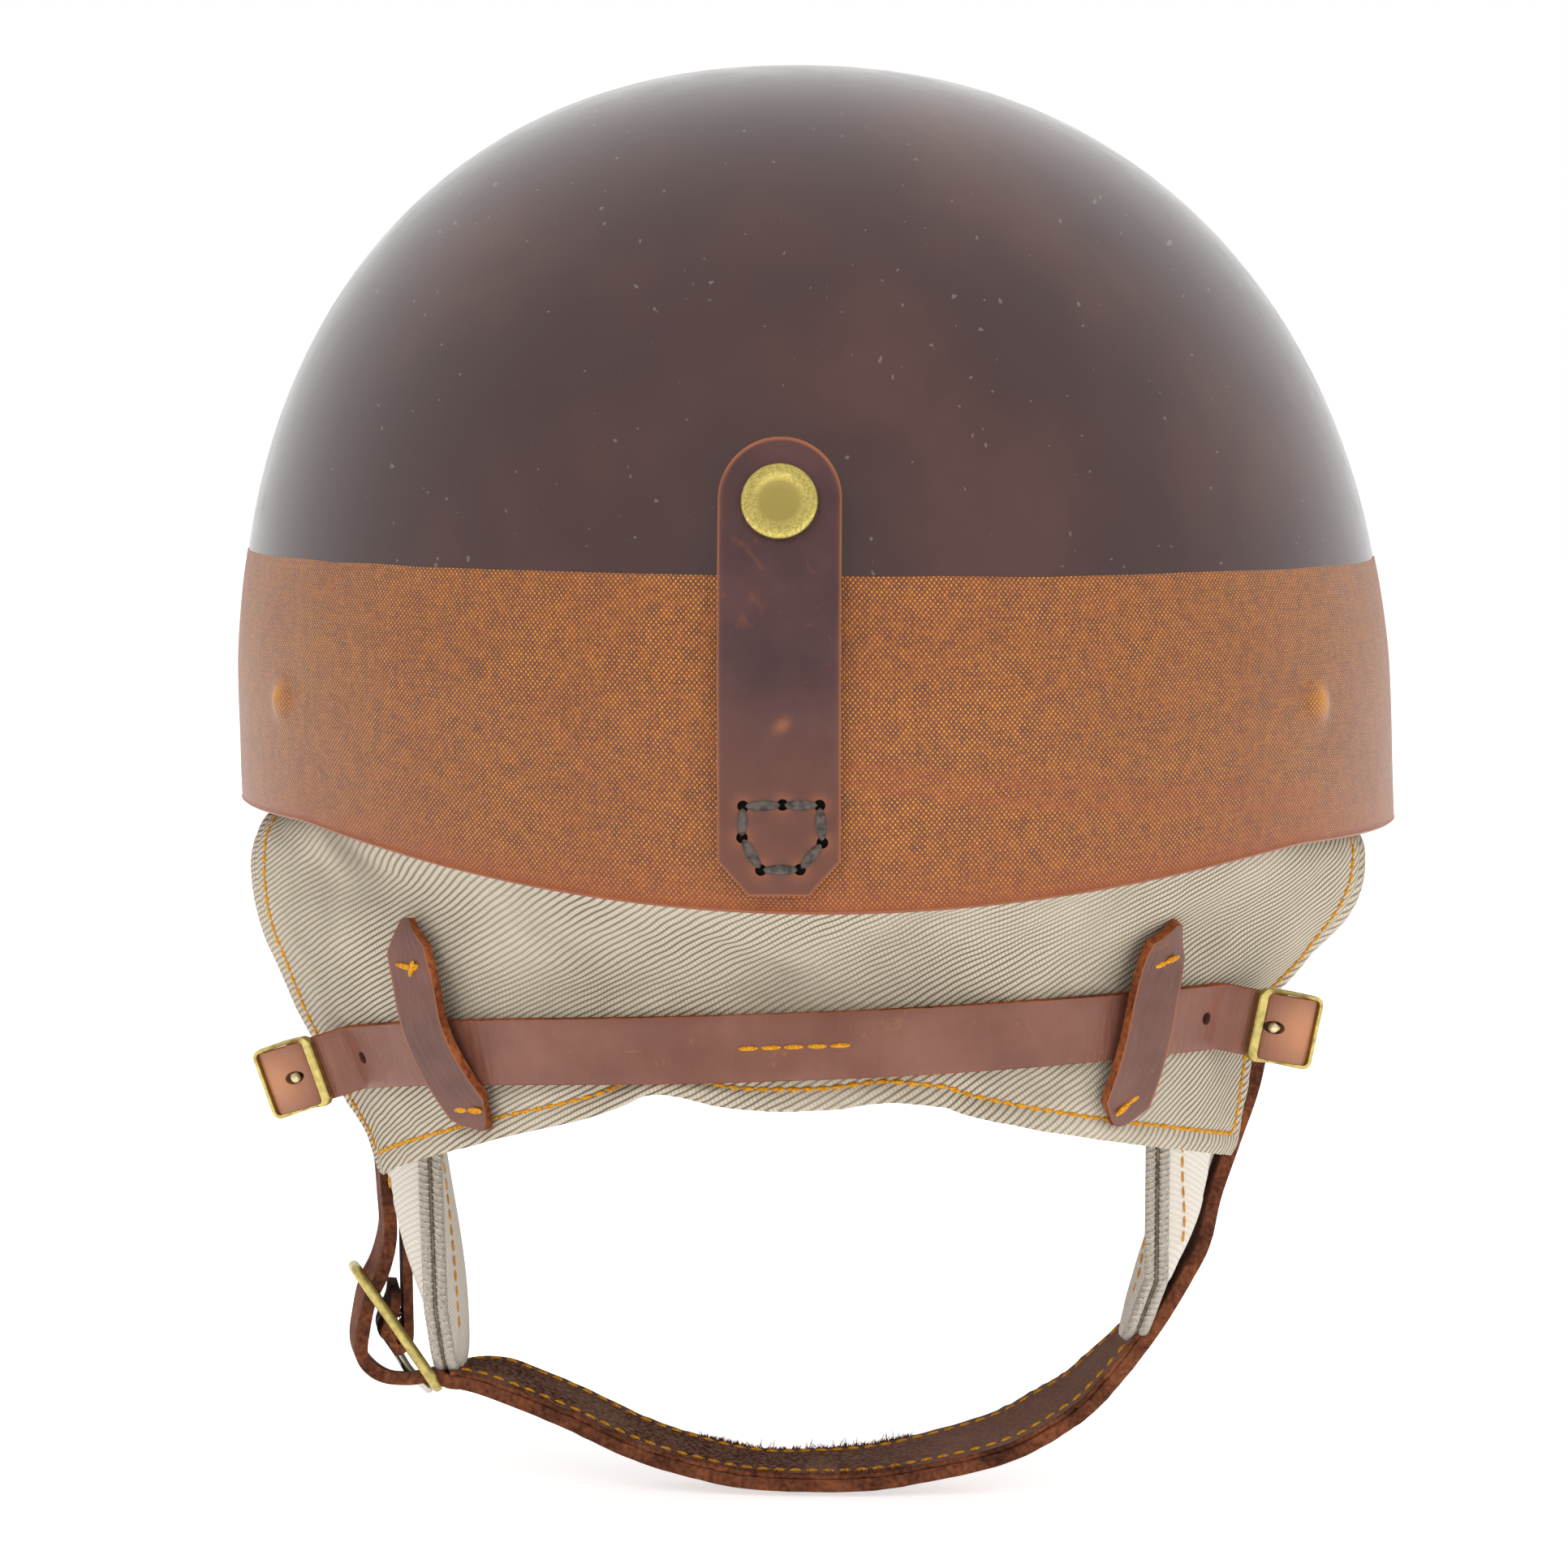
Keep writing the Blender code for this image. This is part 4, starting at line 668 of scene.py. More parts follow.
def curtain_point(across, down):
    """Middle of the curtain's cloth: across from -1 to 1 (left), down from 0 to 1 at the hem."""
    angle = across * CURTAIN_TOP_ANGLE
    inset = SHELL_WALL + CURTAIN_TOP_GAP + CURTAIN_THICKNESS / 2
    top = wall_point(angle, curtain_top_z(across), inset, 1.0)
    turn = across * HEM_ANGLE
    outward = Vector((sin(turn), cos(turn), 0))
    hem = Vector((HEM_HALF_WIDTH * sin(turn), HEM_CENTRE_Y + HEM_DEPTH * cos(turn), hem_z(across)))
    tucked = sin(pi / 2 * min(1.0, down / WAIST_SHARE))
    share = tucked + (down - tucked) * across**2
    point = top.lerp(hem, share)
    point.z = top.z + (hem.z - top.z) * down
    wing, length_share = CURTAIN_WING_LEFT if across > 0 else CURTAIN_WING_RIGHT
    run = min(1.0, max(0.0, down - WING_START_SHARE) / length_share)
    bulge = wing * abs(across) ** 3 * sin(pi * run**0.65)
    flare = HEM_FLARE * max(0.0, down - 0.93) / 0.07 * (1 - across**2)
    dents = 0.0
    for at_across, at_down, wide, tall, depth in DENT_SHARES:
        away = ((across - at_across) / wide) ** 2 + ((down - at_down) / tall) ** 2
        dents += DENT_DEPTH * depth * exp(-away)
    return point + outward * (bulge + flare - dents * min(1.0, down / 0.2))


def curtain_down(across, z):
    """How far down the curtain the height z lies, 1 at the hem."""
    top = curtain_top_z(across)
    return (z - top) / (hem_z(across) - top)


def curtain_axes(across, down):
    """Directions along the curtain, down it, and square out of it."""
    step = 0.02
    along = (curtain_point(across + step, down) - curtain_point(across - step, down)).normalized()
    fall = (curtain_point(across, down + step) - curtain_point(across, down - step)).normalized()
    out = along.cross(fall).normalized()
    if out.x * sin(across * HEM_ANGLE) + out.y * cos(across * HEM_ANGLE) < 0:
        out = -out
    return along, fall, out


STRAP_OFFSET = CURTAIN_THICKNESS / 2 + SEW_GAP + NECK_STRAP_THICKNESS / 2


def neck_strap_reach(side):
    """Share across the curtain at which the strap leaves it for its buckle."""
    return NECK_STRAP_REACH_LEFT if side > 0 else NECK_STRAP_REACH_RIGHT


def neck_strap_z(across):
    """Height of the strap's middle line on the curtain."""
    fall = NECK_STRAP_FALL_LEFT if across > 0 else NECK_STRAP_FALL_RIGHT
    fall *= (across / neck_strap_reach(across)) ** 4
    return NECK_STRAP_Z - NECK_STRAP_TILT * across - fall


def neck_strap_lie(across):
    """Centre, upward and outward directions of the strap where it lies on the curtain."""
    z = neck_strap_z(across)
    down = curtain_down(across, z)
    _, fall, out = curtain_axes(across, down)
    return curtain_point(across, down) + out * STRAP_OFFSET, -fall, out


def neck_buckle_place(side):
    """Buckle frame: X outward along the strap, Z out of the helmet, origin on its centre bar."""
    droop = NECK_DROOP_LEFT if side > 0 else NECK_DROOP_RIGHT
    lie, upward, _ = neck_strap_lie(neck_strap_reach(side))
    flat = cos(droop)
    along = Vector((side * cos(NECK_BUCKLE_TURN) * flat, -sin(NECK_BUCKLE_TURN) * flat, -sin(droop)))
    out = along.cross(upward) * -side
    return frame_at(lie + along * NECK_BUCKLE_REST + out.normalized() * CHAPE_BODY, along, out)


END_BAR_LIFT = NECK_BUCKLE_BAR / 2 - FIT_GAP / 2
CENTRE_BAR_DROP = NECK_BUCKLE_BOW - END_BAR_LIFT
STRAP_UNDER = END_BAR_LIFT - NECK_BUCKLE_BAR / 2 - BAND_GAP - NECK_STRAP_THICKNESS / 2
CHAPE_TOP = CENTRE_BAR_RADIUS + BAND_GAP + CHAPE_THICKNESS - CENTRE_BAR_DROP
STRAP_OVER = CHAPE_TOP + BAND_GAP + NECK_STRAP_THICKNESS / 2


def flap_middle(side, z):
    """Distance of a flap's middle from the plane of symmetry, at height z."""
    if side > 0:
        tip_x, power = FLAP_TIP_X_LEFT, FLAP_LEAN_LEFT
    else:
        tip_x, power = FLAP_TIP_X_RIGHT, FLAP_LEAN_RIGHT
    tip_z = flap_tip_z(side)
    share = max(0.0, (z - tip_z) / (FLAP_TOP_Z - tip_z))
    return tip_x + (FLAP_TOP_X - tip_x) * share**power


def flap_side(side, z, clearance):
    """X of a strap's middle that lies on a flap's outer face."""
    face = flap_middle(side, z) + FLAP_EDGE_THICKNESS / 2 + FLAP_OUTER_BULGE
    return side * (face + clearance)


def chin_frame():
    """The chin buckle's placement: X along the strap, Z out of the frame."""
    along = Vector((cos(CHIN_BUCKLE_TILT), 0, sin(CHIN_BUCKLE_TILT)))
    out = Vector((sin(CHIN_BUCKLE_TILT), 0, -cos(CHIN_BUCKLE_TILT)))
    return frame_at((CHIN_BUCKLE_X, 0, CHIN_BUCKLE_Z), along, out)


# Materials


def lacquer():
    """Dark brown lacquer, brushed and polished on a laminated shell: a deep wet gloss over a
    mottled reddish brown, with tiny pale specks and a few hairline scratches."""
    material, tree, shader = new_material("brushed_brown_lacquer", "42231d", 0.16, 0.0, 0.48)
    spot = add(tree, "TexCoord", take="Object")
    # Mottling 30 mm across, with a finer one of 8 mm
    broad = add(tree, "TexNoise", {"Vector": spot, "Scale": 16.0, "Detail": 3.0})
    fine = add(tree, "TexNoise", {"Vector": spot, "Scale": 120.0, "Detail": 4.0})
    warm = add(tree, "MapRange", {0: broad, 1: 0.42, 2: 0.72}, interpolation_type="SMOOTHSTEP")
    colour = mix(tree, warm, linear("391f1d"), linear("502d27"))
    cloudy = add(tree, "MapRange", {0: fine, 1: 0.35, 2: 0.75, 4: 0.35})
    colour = mix(tree, cloudy, colour, linear("351b19"))
    # Specks just under 1 mm across, a few to the hand's breadth
    cells = add(tree, "TexVoronoi", {"Vector": spot, "Scale": 60.0, "Randomness": 1.0})
    speck = add(tree, "MapRange", {0: cells, 1: 0.034, 2: 0.018})
    patches = add(tree, "TexNoise", {"Vector": spot, "Scale": 30.0})
    sparse = add(tree, "MapRange", {0: patches, 1: 0.63, 2: 0.66})
    shown = add(tree, "Math", {0: speck, 1: sparse}, operation="MULTIPLY")
    # Hairlines: a stretched noise cut to thin threads
    lie = {"Vector": spot, "Rotation": (0.6, 0.4, 0.9), "Scale": (600.0, 14.0, 600.0)}
    stretched = add(tree, "Mapping", lie)
    hair = add(tree, "TexNoise", {"Vector": stretched, "Scale": 1.0, "Detail": 1.0})
    line = add(tree, "MapRange", {0: hair, 1: 0.75, 2: 0.775, 4: 0.25})
    marks = add(tree, "Math", {0: shown, 1: line}, operation="MAXIMUM")
    tree.links.new(mix(tree, marks, colour, linear("a89c96")), shader["Base Color"])
    haze = add(tree, "MapRange", {0: fine, 1: 0.3, 2: 0.8, 3: 0.1, 4: 0.22})
    tree.links.new(haze, shader["Roughness"])
    ripple = add(tree, "TexNoise", {"Vector": spot, "Scale": 220.0, "Detail": 2.0})
    bump = add(tree, "Bump", {"Height": ripple, "Strength": 0.25, "Distance": 0.00006})
    tree.links.new(bump, shader["Normal"])
    shader["Coat Weight"].default_value = 0.1
    return material


def laminate():
    """The shell's bare inner side: resin-soaked cloth, matt brown with its weave showing."""
    material, tree, shader = new_material("resin_laminate", "5b3a28", 0.7)
    spot = add(tree, "TexCoord", take="Object")
    fine = add(tree, "TexNoise", {"Vector": spot, "Scale": 400.0, "Detail": 3.0})
    tree.links.new(mix(tree, fine, linear("4c2f22"), linear("6a4630")), shader["Base Color"])
    bump = add(tree, "Bump", {"Height": fine, "Strength": 0.5, "Distance": 0.0002})
    tree.links.new(bump, shader["Normal"])
    return material


def linen():
    """Plain-woven linen soaked in amber varnish: orange-brown threads 0.5 mm apart with golden
    highlights on their crowns, and plum-brown ones where the varnish lies deeper."""
    pitch = 0.51 * MM
    material, tree, shader = new_material("varnished_linen", "a3632f", 0.5, 0.0, 0.3)
    cloth = add(tree, "TexCoord", take="UV")
    spot = add(tree, "TexCoord", take="Object")
    sway = add(tree, "TexNoise", {"Vector": spot, "Scale": 90.0, "Detail": 2.0}, take=1)
    sway = add(tree, "VectorMath", {0: sway, "Scale": 0.0009}, operation="SCALE")
    cloth = add(tree, "VectorMath", {0: cloth, 1: sway}, operation="ADD")
    around = add(tree, "SeparateXYZ", {0: cloth}, take=0)
    upward = add(tree, "SeparateXYZ", {0: cloth}, take=1)
    warp = add(tree, "Math", {0: around, 1: pi / pitch}, operation="MULTIPLY")
    warp = add(tree, "Math", {0: warp}, operation="SINE")
    weft = add(tree, "Math", {0: upward, 1: pi / pitch}, operation="MULTIPLY")
    weft = add(tree, "Math", {0: weft}, operation="SINE")
    crown = add(tree, "Math", {0: warp, 1: weft}, operation="MULTIPLY")
    crest = add(tree, "Math", {0: crown}, operation="ABSOLUTE")
    # Uneven yarns: each a little lighter or darker along its run, and small clouds of dye
    slub_a = add(tree, "Mapping", {"Vector": cloth, "Scale": (260.0, 1300.0, 1.0)})
    slub_a = add(tree, "TexNoise", {"Vector": slub_a, "Scale": 1.0, "Detail": 2.0})
    slub_b = add(tree, "Mapping", {"Vector": cloth, "Scale": (1300.0, 260.0, 1.0)})
    slub_b = add(tree, "TexNoise", {"Vector": slub_b, "Scale": 1.0, "Detail": 2.0})
    slub = add(tree, "Math", {0: slub_a, 1: slub_b}, operation="ADD")
    clouds = add(tree, "TexNoise", {"Vector": spot, "Scale": 300.0, "Detail": 4.0})
    plum = add(tree, "Math", {0: slub, 1: clouds}, operation="ADD")
    plum = add(tree, "MapRange", {0: plum, 1: 1.25, 2: 1.75, 4: 0.85})
    colour = mix(tree, plum, linear("955124"), linear("683327"))
    broad = add(tree, "TexNoise", {"Vector": spot, "Scale": 45.0, "Detail": 4.0})
    patchy = add(tree, "MapRange", {0: broad, 1: 0.35, 2: 0.65, 3: 0.75, 4: 1.1})
    single = add(tree, "VectorMath", {0: cloth, "Scale": 1 / pitch}, operation="SCALE")
    single = add(tree, "VectorMath", {0: single}, operation="FLOOR")
    single = add(tree, "TexWhiteNoise", {"Vector": single})
    single = add(tree, "MapRange", {0: single, 3: 0.45, 4: 1.0})
    gold = add(tree, "MapRange", {0: crown, 1: 0.25, 2: 0.85})
    gold = add(tree, "Math", {0: gold, 1: patchy}, operation="MULTIPLY")
    gold = add(tree, "Math", {0: gold, 1: single}, operation="MULTIPLY")
    colour = mix(tree, gold, colour, linear("e9ab33"))
    gap = add(tree, "MapRange", {0: crown, 1: -0.2, 2: -0.8, 4: 0.6})
    colour = mix(tree, gap, colour, linear("5e2c1c"))
    # Painted shade: redder and darker where the band turns under the rim, and along two creases
    rim = add(tree, "Attribute", take="Fac", attribute_name="band_shade")
    colour = mix(tree, rim, colour, linear("9c4a2a"))
    # Rubbed wear and a painted highlight on top of each rivet bump, from a point attribute
    worn_and_sheen = add(tree, "Attribute", take="Fac", attribute_name="wear_and_sheen")
    colour = mix(tree, worn_and_sheen, colour, linear("f0a440"))
    tree.links.new(colour, shader["Base Color"])
    bump = add(tree, "Bump", {"Height": crest, "Strength": 0.6, "Distance": 0.0002})
    tree.links.new(bump, shader["Normal"])
    shader["Coat Weight"].default_value = 0.3
    shader["Coat Roughness"].default_value = 0.3
    return material


def twill(name, ridge, groove, slope, pitch, depth):
    """Cotton twill, woven with diagonal ridges a ridge's pitch apart, washed soft and matt. Dark
    grooves part the pale ridges, and each ridge shows its short crossing yarns."""
    material, tree, shader = new_material(name, ridge, 0.92, 0.0, 0.15)
    cloth = add(tree, "TexCoord", take="UV")
    spot = add(tree, "TexCoord", take="Object")
    sway = add(tree, "TexNoise", {"Vector": spot, "Scale": 70.0, "Detail": 3.0}, take=1)
    sway = add(tree, "VectorMath", {0: sway, "Scale": 0.0007}, operation="SCALE")
    cloth = add(tree, "VectorMath", {0: cloth, 1: sway}, operation="ADD")
    turned = add(tree, "Mapping", {"Vector": cloth, "Rotation": (0.0, 0.0, slope)})
    along = add(tree, "SeparateXYZ", {0: turned}, take=0)
    square = add(tree, "SeparateXYZ", {0: turned}, take=1)
    wave = add(tree, "Math", {0: square, 1: 2 * pi / pitch}, operation="MULTIPLY")
    wave = add(tree, "Math", {0: wave}, operation="SINE")
    ridge_share = add(tree, "MapRange", {0: wave, 1: -0.95, 2: -0.1})
    # Crossing yarns every 0.8 mm along a ridge
    yarn = add(tree, "Math", {0: along, 1: 2 * pi / (0.8 * MM)}, operation="MULTIPLY")
    yarn = add(tree, "Math", {0: yarn}, operation="SINE")
    yarn = add(tree, "MapRange", {0: yarn, 1: -1.0, 2: 1.0, 3: 0.55, 4: 1.0})
    fibre = add(tree, "TexNoise", {"Vector": cloth, "Scale": 1800.0, "Detail": 2.0})
    fibre = add(tree, "MapRange", {0: fibre, 1: 0.2, 2: 0.8, 3: 0.75, 4: 1.0})
    height = add(tree, "Math", {0: ridge_share, 1: yarn}, operation="MULTIPLY")
    height = add(tree, "Math", {0: height, 1: fibre}, operation="MULTIPLY")
    blur = add(tree, "TexNoise", {"Vector": spot, "Scale": 22.0, "Detail": 2.0})
    blur = add(tree, "MapRange", {0: blur, 1: 0.4, 2: 0.65, 3: 0.95, 4: 0.55})
    shade = add(tree, "MapRange", {0: height, 1: 0.0, 2: 0.75, 3: 1.0, 4: 0.0})
    shade = add(tree, "Math", {0: shade, 1: blur}, operation="MULTIPLY")
    colour = mix(tree, shade, linear(ridge), linear(groove))
    # Random soiling over the cloth, and painted shade in the curtain's folds and dents from a point
    # attribute
    broad = add(tree, "TexNoise", {"Vector": spot, "Scale": 35.0, "Detail": 4.0})
    soil_and_shade = add(tree, "MapRange", {0: broad, 1: 0.5, 2: 0.8, 4: 0.3})
    fold_shade = add(tree, "Attribute", take="Fac", attribute_name="soil_and_shade")
    soil_and_shade = add(tree, "Math", {0: soil_and_shade, 1: fold_shade}, operation="MAXIMUM")
    colour = mix(tree, soil_and_shade, colour, linear(groove))
    tree.links.new(colour, shader["Base Color"])
    bump = add(tree, "Bump", {"Height": height, "Strength": 0.8, "Distance": depth})
    tree.links.new(bump, shader["Normal"])
    return material


def leather(name, deep, mid, worn_and_sheen, roughness=0.5):
    """Vegetable-tanned, oiled leather with its grain side out: uneven dye, fine pores, short creases
    across the length, and a paler tone where it is bent or rubbed, which on the neck strap also carries
    a painted highlight."""
    material, tree, shader = new_material(name, mid, roughness, 0.0, 0.4)
    spot = add(tree, "TexCoord", take="Object")
    cloth = add(tree, "TexCoord", take="UV")
    # Dye in patches 17 mm across, pores 0.6 mm apart, creases 1.1 mm apart and 8 mm long
    broad = add(tree, "TexNoise", {"Vector": spot, "Scale": 60.0, "Detail": 5.0})
    broad = add(tree, "MapRange", {0: broad, 1: 0.35, 2: 0.68})
    colour = mix(tree, broad, linear(deep), linear(mid))
    grain = add(tree, "TexVoronoi", {"Vector": spot, "Scale": 1700.0})
    crease = add(tree, "Mapping", {"Vector": cloth, "Scale": (900.0, 130.0, 1.0)})
    crease = add(tree, "TexNoise", {"Vector": crease, "Scale": 1.0, "Detail": 3.0})
    scuffs = add(tree, "TexNoise", {"Vector": spot, "Scale": 190.0, "Detail": 6.0, "Distortion": 1.2})
    scuff = add(tree, "MapRange", {0: scuffs, 1: 0.65, 2: 0.8, 4: 0.4})
    # A point attribute adds rubbed wear, and on the neck strap a painted highlight where it bows
    # through the buckles
    rubbed = add(tree, "Attribute", take="Fac", attribute_name="wear_and_sheen")
    rubbed = add(tree, "Math", {0: rubbed, 1: scuff}, operation="MAXIMUM")
    colour = mix(tree, rubbed, colour, linear(worn_and_sheen))
    # Undyed fibre showing along the cut outline
    outline = add(tree, "Attribute", take="Fac", attribute_name="outline")
    tree.links.new(mix(tree, outline, colour, linear("b26a3a")), shader["Base Color"])
    gloss = add(tree, "MapRange", {0: scuffs, 1: 0.3, 2: 0.7, 3: roughness - 0.08, 4: roughness + 0.12})
    tree.links.new(gloss, shader["Roughness"])
    pores = add(tree, "Bump", {"Height": grain, "Strength": 0.35, "Distance": 0.00005})
    folds = add(tree, "Bump", {"Height": crease, "Strength": 0.8, "Distance": 0.0003, "Normal": pores})
    tree.links.new(folds, shader["Normal"])
    return material


def cut_edge(name, deep, pale):
    """The cut edge of oiled leather: undyed rust-orange fibre, matt and slightly ragged."""
    material, tree, shader = new_material(name, pale, 0.85, 0.0, 0.15)
    spot = add(tree, "TexCoord", take="Object")
    # Fibres 1.1 mm long in clumps of 8 mm
    fibre = add(tree, "TexNoise", {"Vector": spot, "Scale": 900.0, "Detail": 4.0})
    broad = add(tree, "TexNoise", {"Vector": spot, "Scale": 120.0, "Detail": 2.0})
    tone = add(tree, "Math", {0: fibre, 1: broad}, operation="MULTIPLY")
    tone = add(tree, "MapRange", {0: tone, 1: 0.12, 2: 0.4})
    tree.links.new(mix(tree, tone, linear(deep), linear(pale)), shader["Base Color"])
    bump = add(tree, "Bump", {"Height": fibre, "Strength": 0.8, "Distance": 0.0002})
    tree.links.new(bump, shader["Normal"])
    return material


def suede():
    """Split leather, flesh side out: a dark, napped brown whose fibres catch a dusty mauve."""
    material, tree, shader = new_material("napped_suede", "4b322f", 1.0, 0.0, 0.05)
    spot = add(tree, "TexCoord", take="Object")
    # Nap 0.9 mm long, drawn coarser than the real one so that it shows, brushed in 11 mm patches
    nap = add(tree, "TexNoise", {"Vector": spot, "Scale": 1100.0, "Detail": 4.0})
    broad = add(tree, "TexNoise", {"Vector": spot, "Scale": 90.0, "Detail": 3.0})
    tone = add(tree, "MapRange", {0: nap, 1: 0.4, 2: 0.62})
    colour = mix(tree, tone, linear("472b21"), linear("8c6857"))
    brushed = add(tree, "MapRange", {0: broad, 1: 0.5, 2: 0.72, 4: 0.6})
    colour = mix(tree, brushed, colour, linear("967768"))
    worn_and_sheen = add(tree, "Attribute", take="Fac", attribute_name="wear_and_sheen")
    tree.links.new(mix(tree, worn_and_sheen, colour, linear("937165")), shader["Base Color"])
    bump = add(tree, "Bump", {"Height": nap, "Strength": 0.9, "Distance": 0.00035})
    tree.links.new(bump, shader["Normal"])
    return material


def brass(name, bright, dull, grain):
    """Stamped and drawn brass gone dull with age: yellow on the rubbed high places, with an
    olive-brown film in the hollows and fine rolling lines."""
    material, tree, shader = new_material(name, bright, 0.36, 1.0)
    spot = add(tree, "TexCoord", take="Object")
    film = add(tree, "TexNoise", {"Vector": spot, "Scale": grain, "Detail": 5.0})
    film = add(tree, "MapRange", {0: film, 1: 0.35, 2: 0.7, 4: 0.7})
    aged = add(tree, "Attribute", take="Fac", attribute_name="age")
    share = add(tree, "Math", {0: film, 1: aged}, operation="MAXIMUM")
    tree.links.new(mix(tree, share, linear(bright), linear(dull)), shader["Base Color"])
    rough = add(tree, "MapRange", {0: share, 3: 0.3, 4: 0.55})
    tree.links.new(rough, shader["Roughness"])
    bump = add(tree, "Bump", {"Height": film, "Strength": 0.3, "Distance": 0.00008})
    tree.links.new(bump, shader["Normal"])
    return material


def steel():
    """Plated steel wire: a grey-silver with a soft brushed shine."""
    material, tree, shader = new_material("plated_steel_wire", "c8c4b8", 0.25, 1.0)
    spot = add(tree, "TexCoord", take="Object")
    film = add(tree, "TexNoise", {"Vector": spot, "Scale": 500.0, "Detail": 3.0})
    rough = add(tree, "MapRange", {0: film, 3: 0.18, 4: 0.4})
    tree.links.new(rough, shader["Roughness"])
    return material


def thread(name, light, dark, scale):
    """Twisted thread: round, matt strands whose twist shows as fine dark lines."""
    material, tree, shader = new_material(name, light, 0.75, 0.0, 0.2)
    spot = add(tree, "TexCoord", take="Object")
    strands = add(tree, "TexNoise", {"Vector": spot, "Scale": scale, "Detail": 2.0})
    strands = add(tree, "MapRange", {0: strands, 1: 0.35, 2: 0.6})
    tree.links.new(mix(tree, strands, linear(dark), linear(light)), shader["Base Color"])
    bump = add(tree, "Bump", {"Height": strands, "Strength": 0.5, "Distance": 0.0001})
    tree.links.new(bump, shader["Normal"])
    return material


def cork():
    """Pressed cork sheet: buff granules 2 mm across with darker ones among them."""
    material, tree, shader = new_material("pressed_cork", "b98d5c", 0.9)
    spot = add(tree, "TexCoord", take="Object")
    grains = add(tree, "TexVoronoi", {"Vector": spot, "Scale": 480.0}, take=1)
    tone = add(tree, "SeparateXYZ", {0: grains}, take=0)
    colour = mix(tree, tone, linear("c79c69"), linear("8d6237"))
    tree.links.new(colour, shader["Base Color"])
    edges = add(tree, "TexVoronoi", {"Vector": spot, "Scale": 480.0}, feature="DISTANCE_TO_EDGE")
    bump = add(tree, "Bump", {"Height": edges, "Strength": 0.5, "Distance": 0.0003})
    tree.links.new(bump, shader["Normal"])
    return material


def canvas():
    """Cotton canvas webbing: plain woven, cream, with a clear 1 mm weave."""
    material, tree, shader = new_material("cotton_webbing", "cfc4ae", 0.9)
    cloth = add(tree, "TexCoord", take="UV")
    threads = {"Vector": cloth, "Scale": 160.0, "Distortion": 0.4}
    warp = add(tree, "TexWave", threads, take=1)
    weft = add(tree, "TexWave", threads, take=1, bands_direction="Y")
    weave = add(tree, "Math", {0: warp, 1: weft}, operation="MULTIPLY")
    tree.links.new(mix(tree, weave, linear("b5a88f"), linear("ded4c0")), shader["Base Color"])
    bump = add(tree, "Bump", {"Height": weave, "Strength": 0.7, "Distance": 0.0003})
    tree.links.new(bump, shader["Normal"])
    return material


LACQUER = lacquer()
LAMINATE = laminate()
LINEN = linen()
CORK = cork()
CANVAS = canvas()
TWILL = twill("stone_twill", "d9cdb8", "695c4b", radians(24), 1.12 * MM, 0.00028)
PALE_TWILL = twill("pale_twill", "ebe4d8", "d3cabc", radians(-38), 0.85 * MM, 0.00008)
TAB_LEATHER = leather("plum_leather", "3b2123", "50302e", "8e5438", 0.45)
STRAP_LEATHER = leather("chestnut_leather", "734637", "88594a", "c4865f", 0.42)
KEEPER_LEATHER = leather("plum_keeper_leather", "5c3930", "754c40", "b87a54", 0.42)
EDGE = cut_edge("cut_leather_edge", "5b2c18", "ab6238")
WORN_EDGE = cut_edge("worn_strap_leather", "3f2218", "8b5236")
# Near-black walls of the tab's stitch holes: painted shade
HOLE_SHADE = cut_edge("painted_shade_in_stitch_holes", "0c0706", "1c110d")
SUEDE = suede()
BRASS = brass("aged_brass", "c6b46c", "8a7b4a", 700.0)
CAP_BRASS = brass("filmed_cap_brass", "d0be6c", "84723f", 2300.0)
PRONG_BRASS = brass("rubbed_prong_brass", "dcd3a8", "b3a67a", 900.0)
STEEL = steel()
THREAD = thread("golden_thread", "eba826", "b87216", 2500.0)
CORD = thread("waxed_grey_cord", "615852", "3f3834", 900.0)
# A dark thread standing in the flaps' seam grooves: painted shade
SEAM_SHADE = thread("seam_groove_shade_thread", "857867", "5c5143", 900.0)
CREAM = thread("cream_overcast_thread", "d8cebc", "9a8e7b", 2200.0)
LACE = thread("cotton_lace", "a39a88", "6f6757", 1200.0)


# Shell, linen band and liner


def make_shell():
    """The shell: a rounded dome over an upright wall, hollow, with a dipped rim."""
    bpy.ops.object.select_all(action="DESELECT")
    bpy.ops.mesh.primitive_uv_sphere_add(segments=160, ring_count=80, radius=1)
    piece = bpy.context.object
    bpy.ops.object.mode_set(mode="EDIT")
    bpy.ops.mesh.select_all(action="SELECT")
    wall = radians(22.5)
    bpy.ops.mesh.bisect(plane_co=(0, 0, -sin(wall)), plane_no=(0, 0, -1), clear_outer=True)
    bpy.ops.object.mode_set(mode="OBJECT")
    for vertex in piece.data.vertices:
        angle = atan2(vertex.co.x, vertex.co.y)
        latitude = atan2(vertex.co.z, vertex.co.xy.length)
        if latitude > 0:
            share = max(0.0, cos(latitude)) ** (2 / DOME_POWER)
            z = BROW_Z + DOME_RISE * sin(latitude) ** (2 / DOME_POWER)
        else:
            share = 1.0
            z = BROW_Z + (rim_z(angle) - BROW_Z) * min(1.0, -latitude / wall)
        vertex.co = wall_point(angle, z, 0.0, share)
    weld(piece)
    for _ in range(2):
        piece.data.materials.append(None)
    shaped_by(piece, "SOLIDIFY", thickness=SHELL_WALL, offset=-1.0, material_offset=1)
    corners = {"limit_method": "ANGLE", "angle_limit": radians(60)}
    shaped_by(piece, "BEVEL", width=0.8 * MM, segments=3, **corners)
    dress(piece, "lacquered_shell", [LACQUER, LAMINATE])
    set_on(piece, "helmet", "brown_lacquer", "shell")


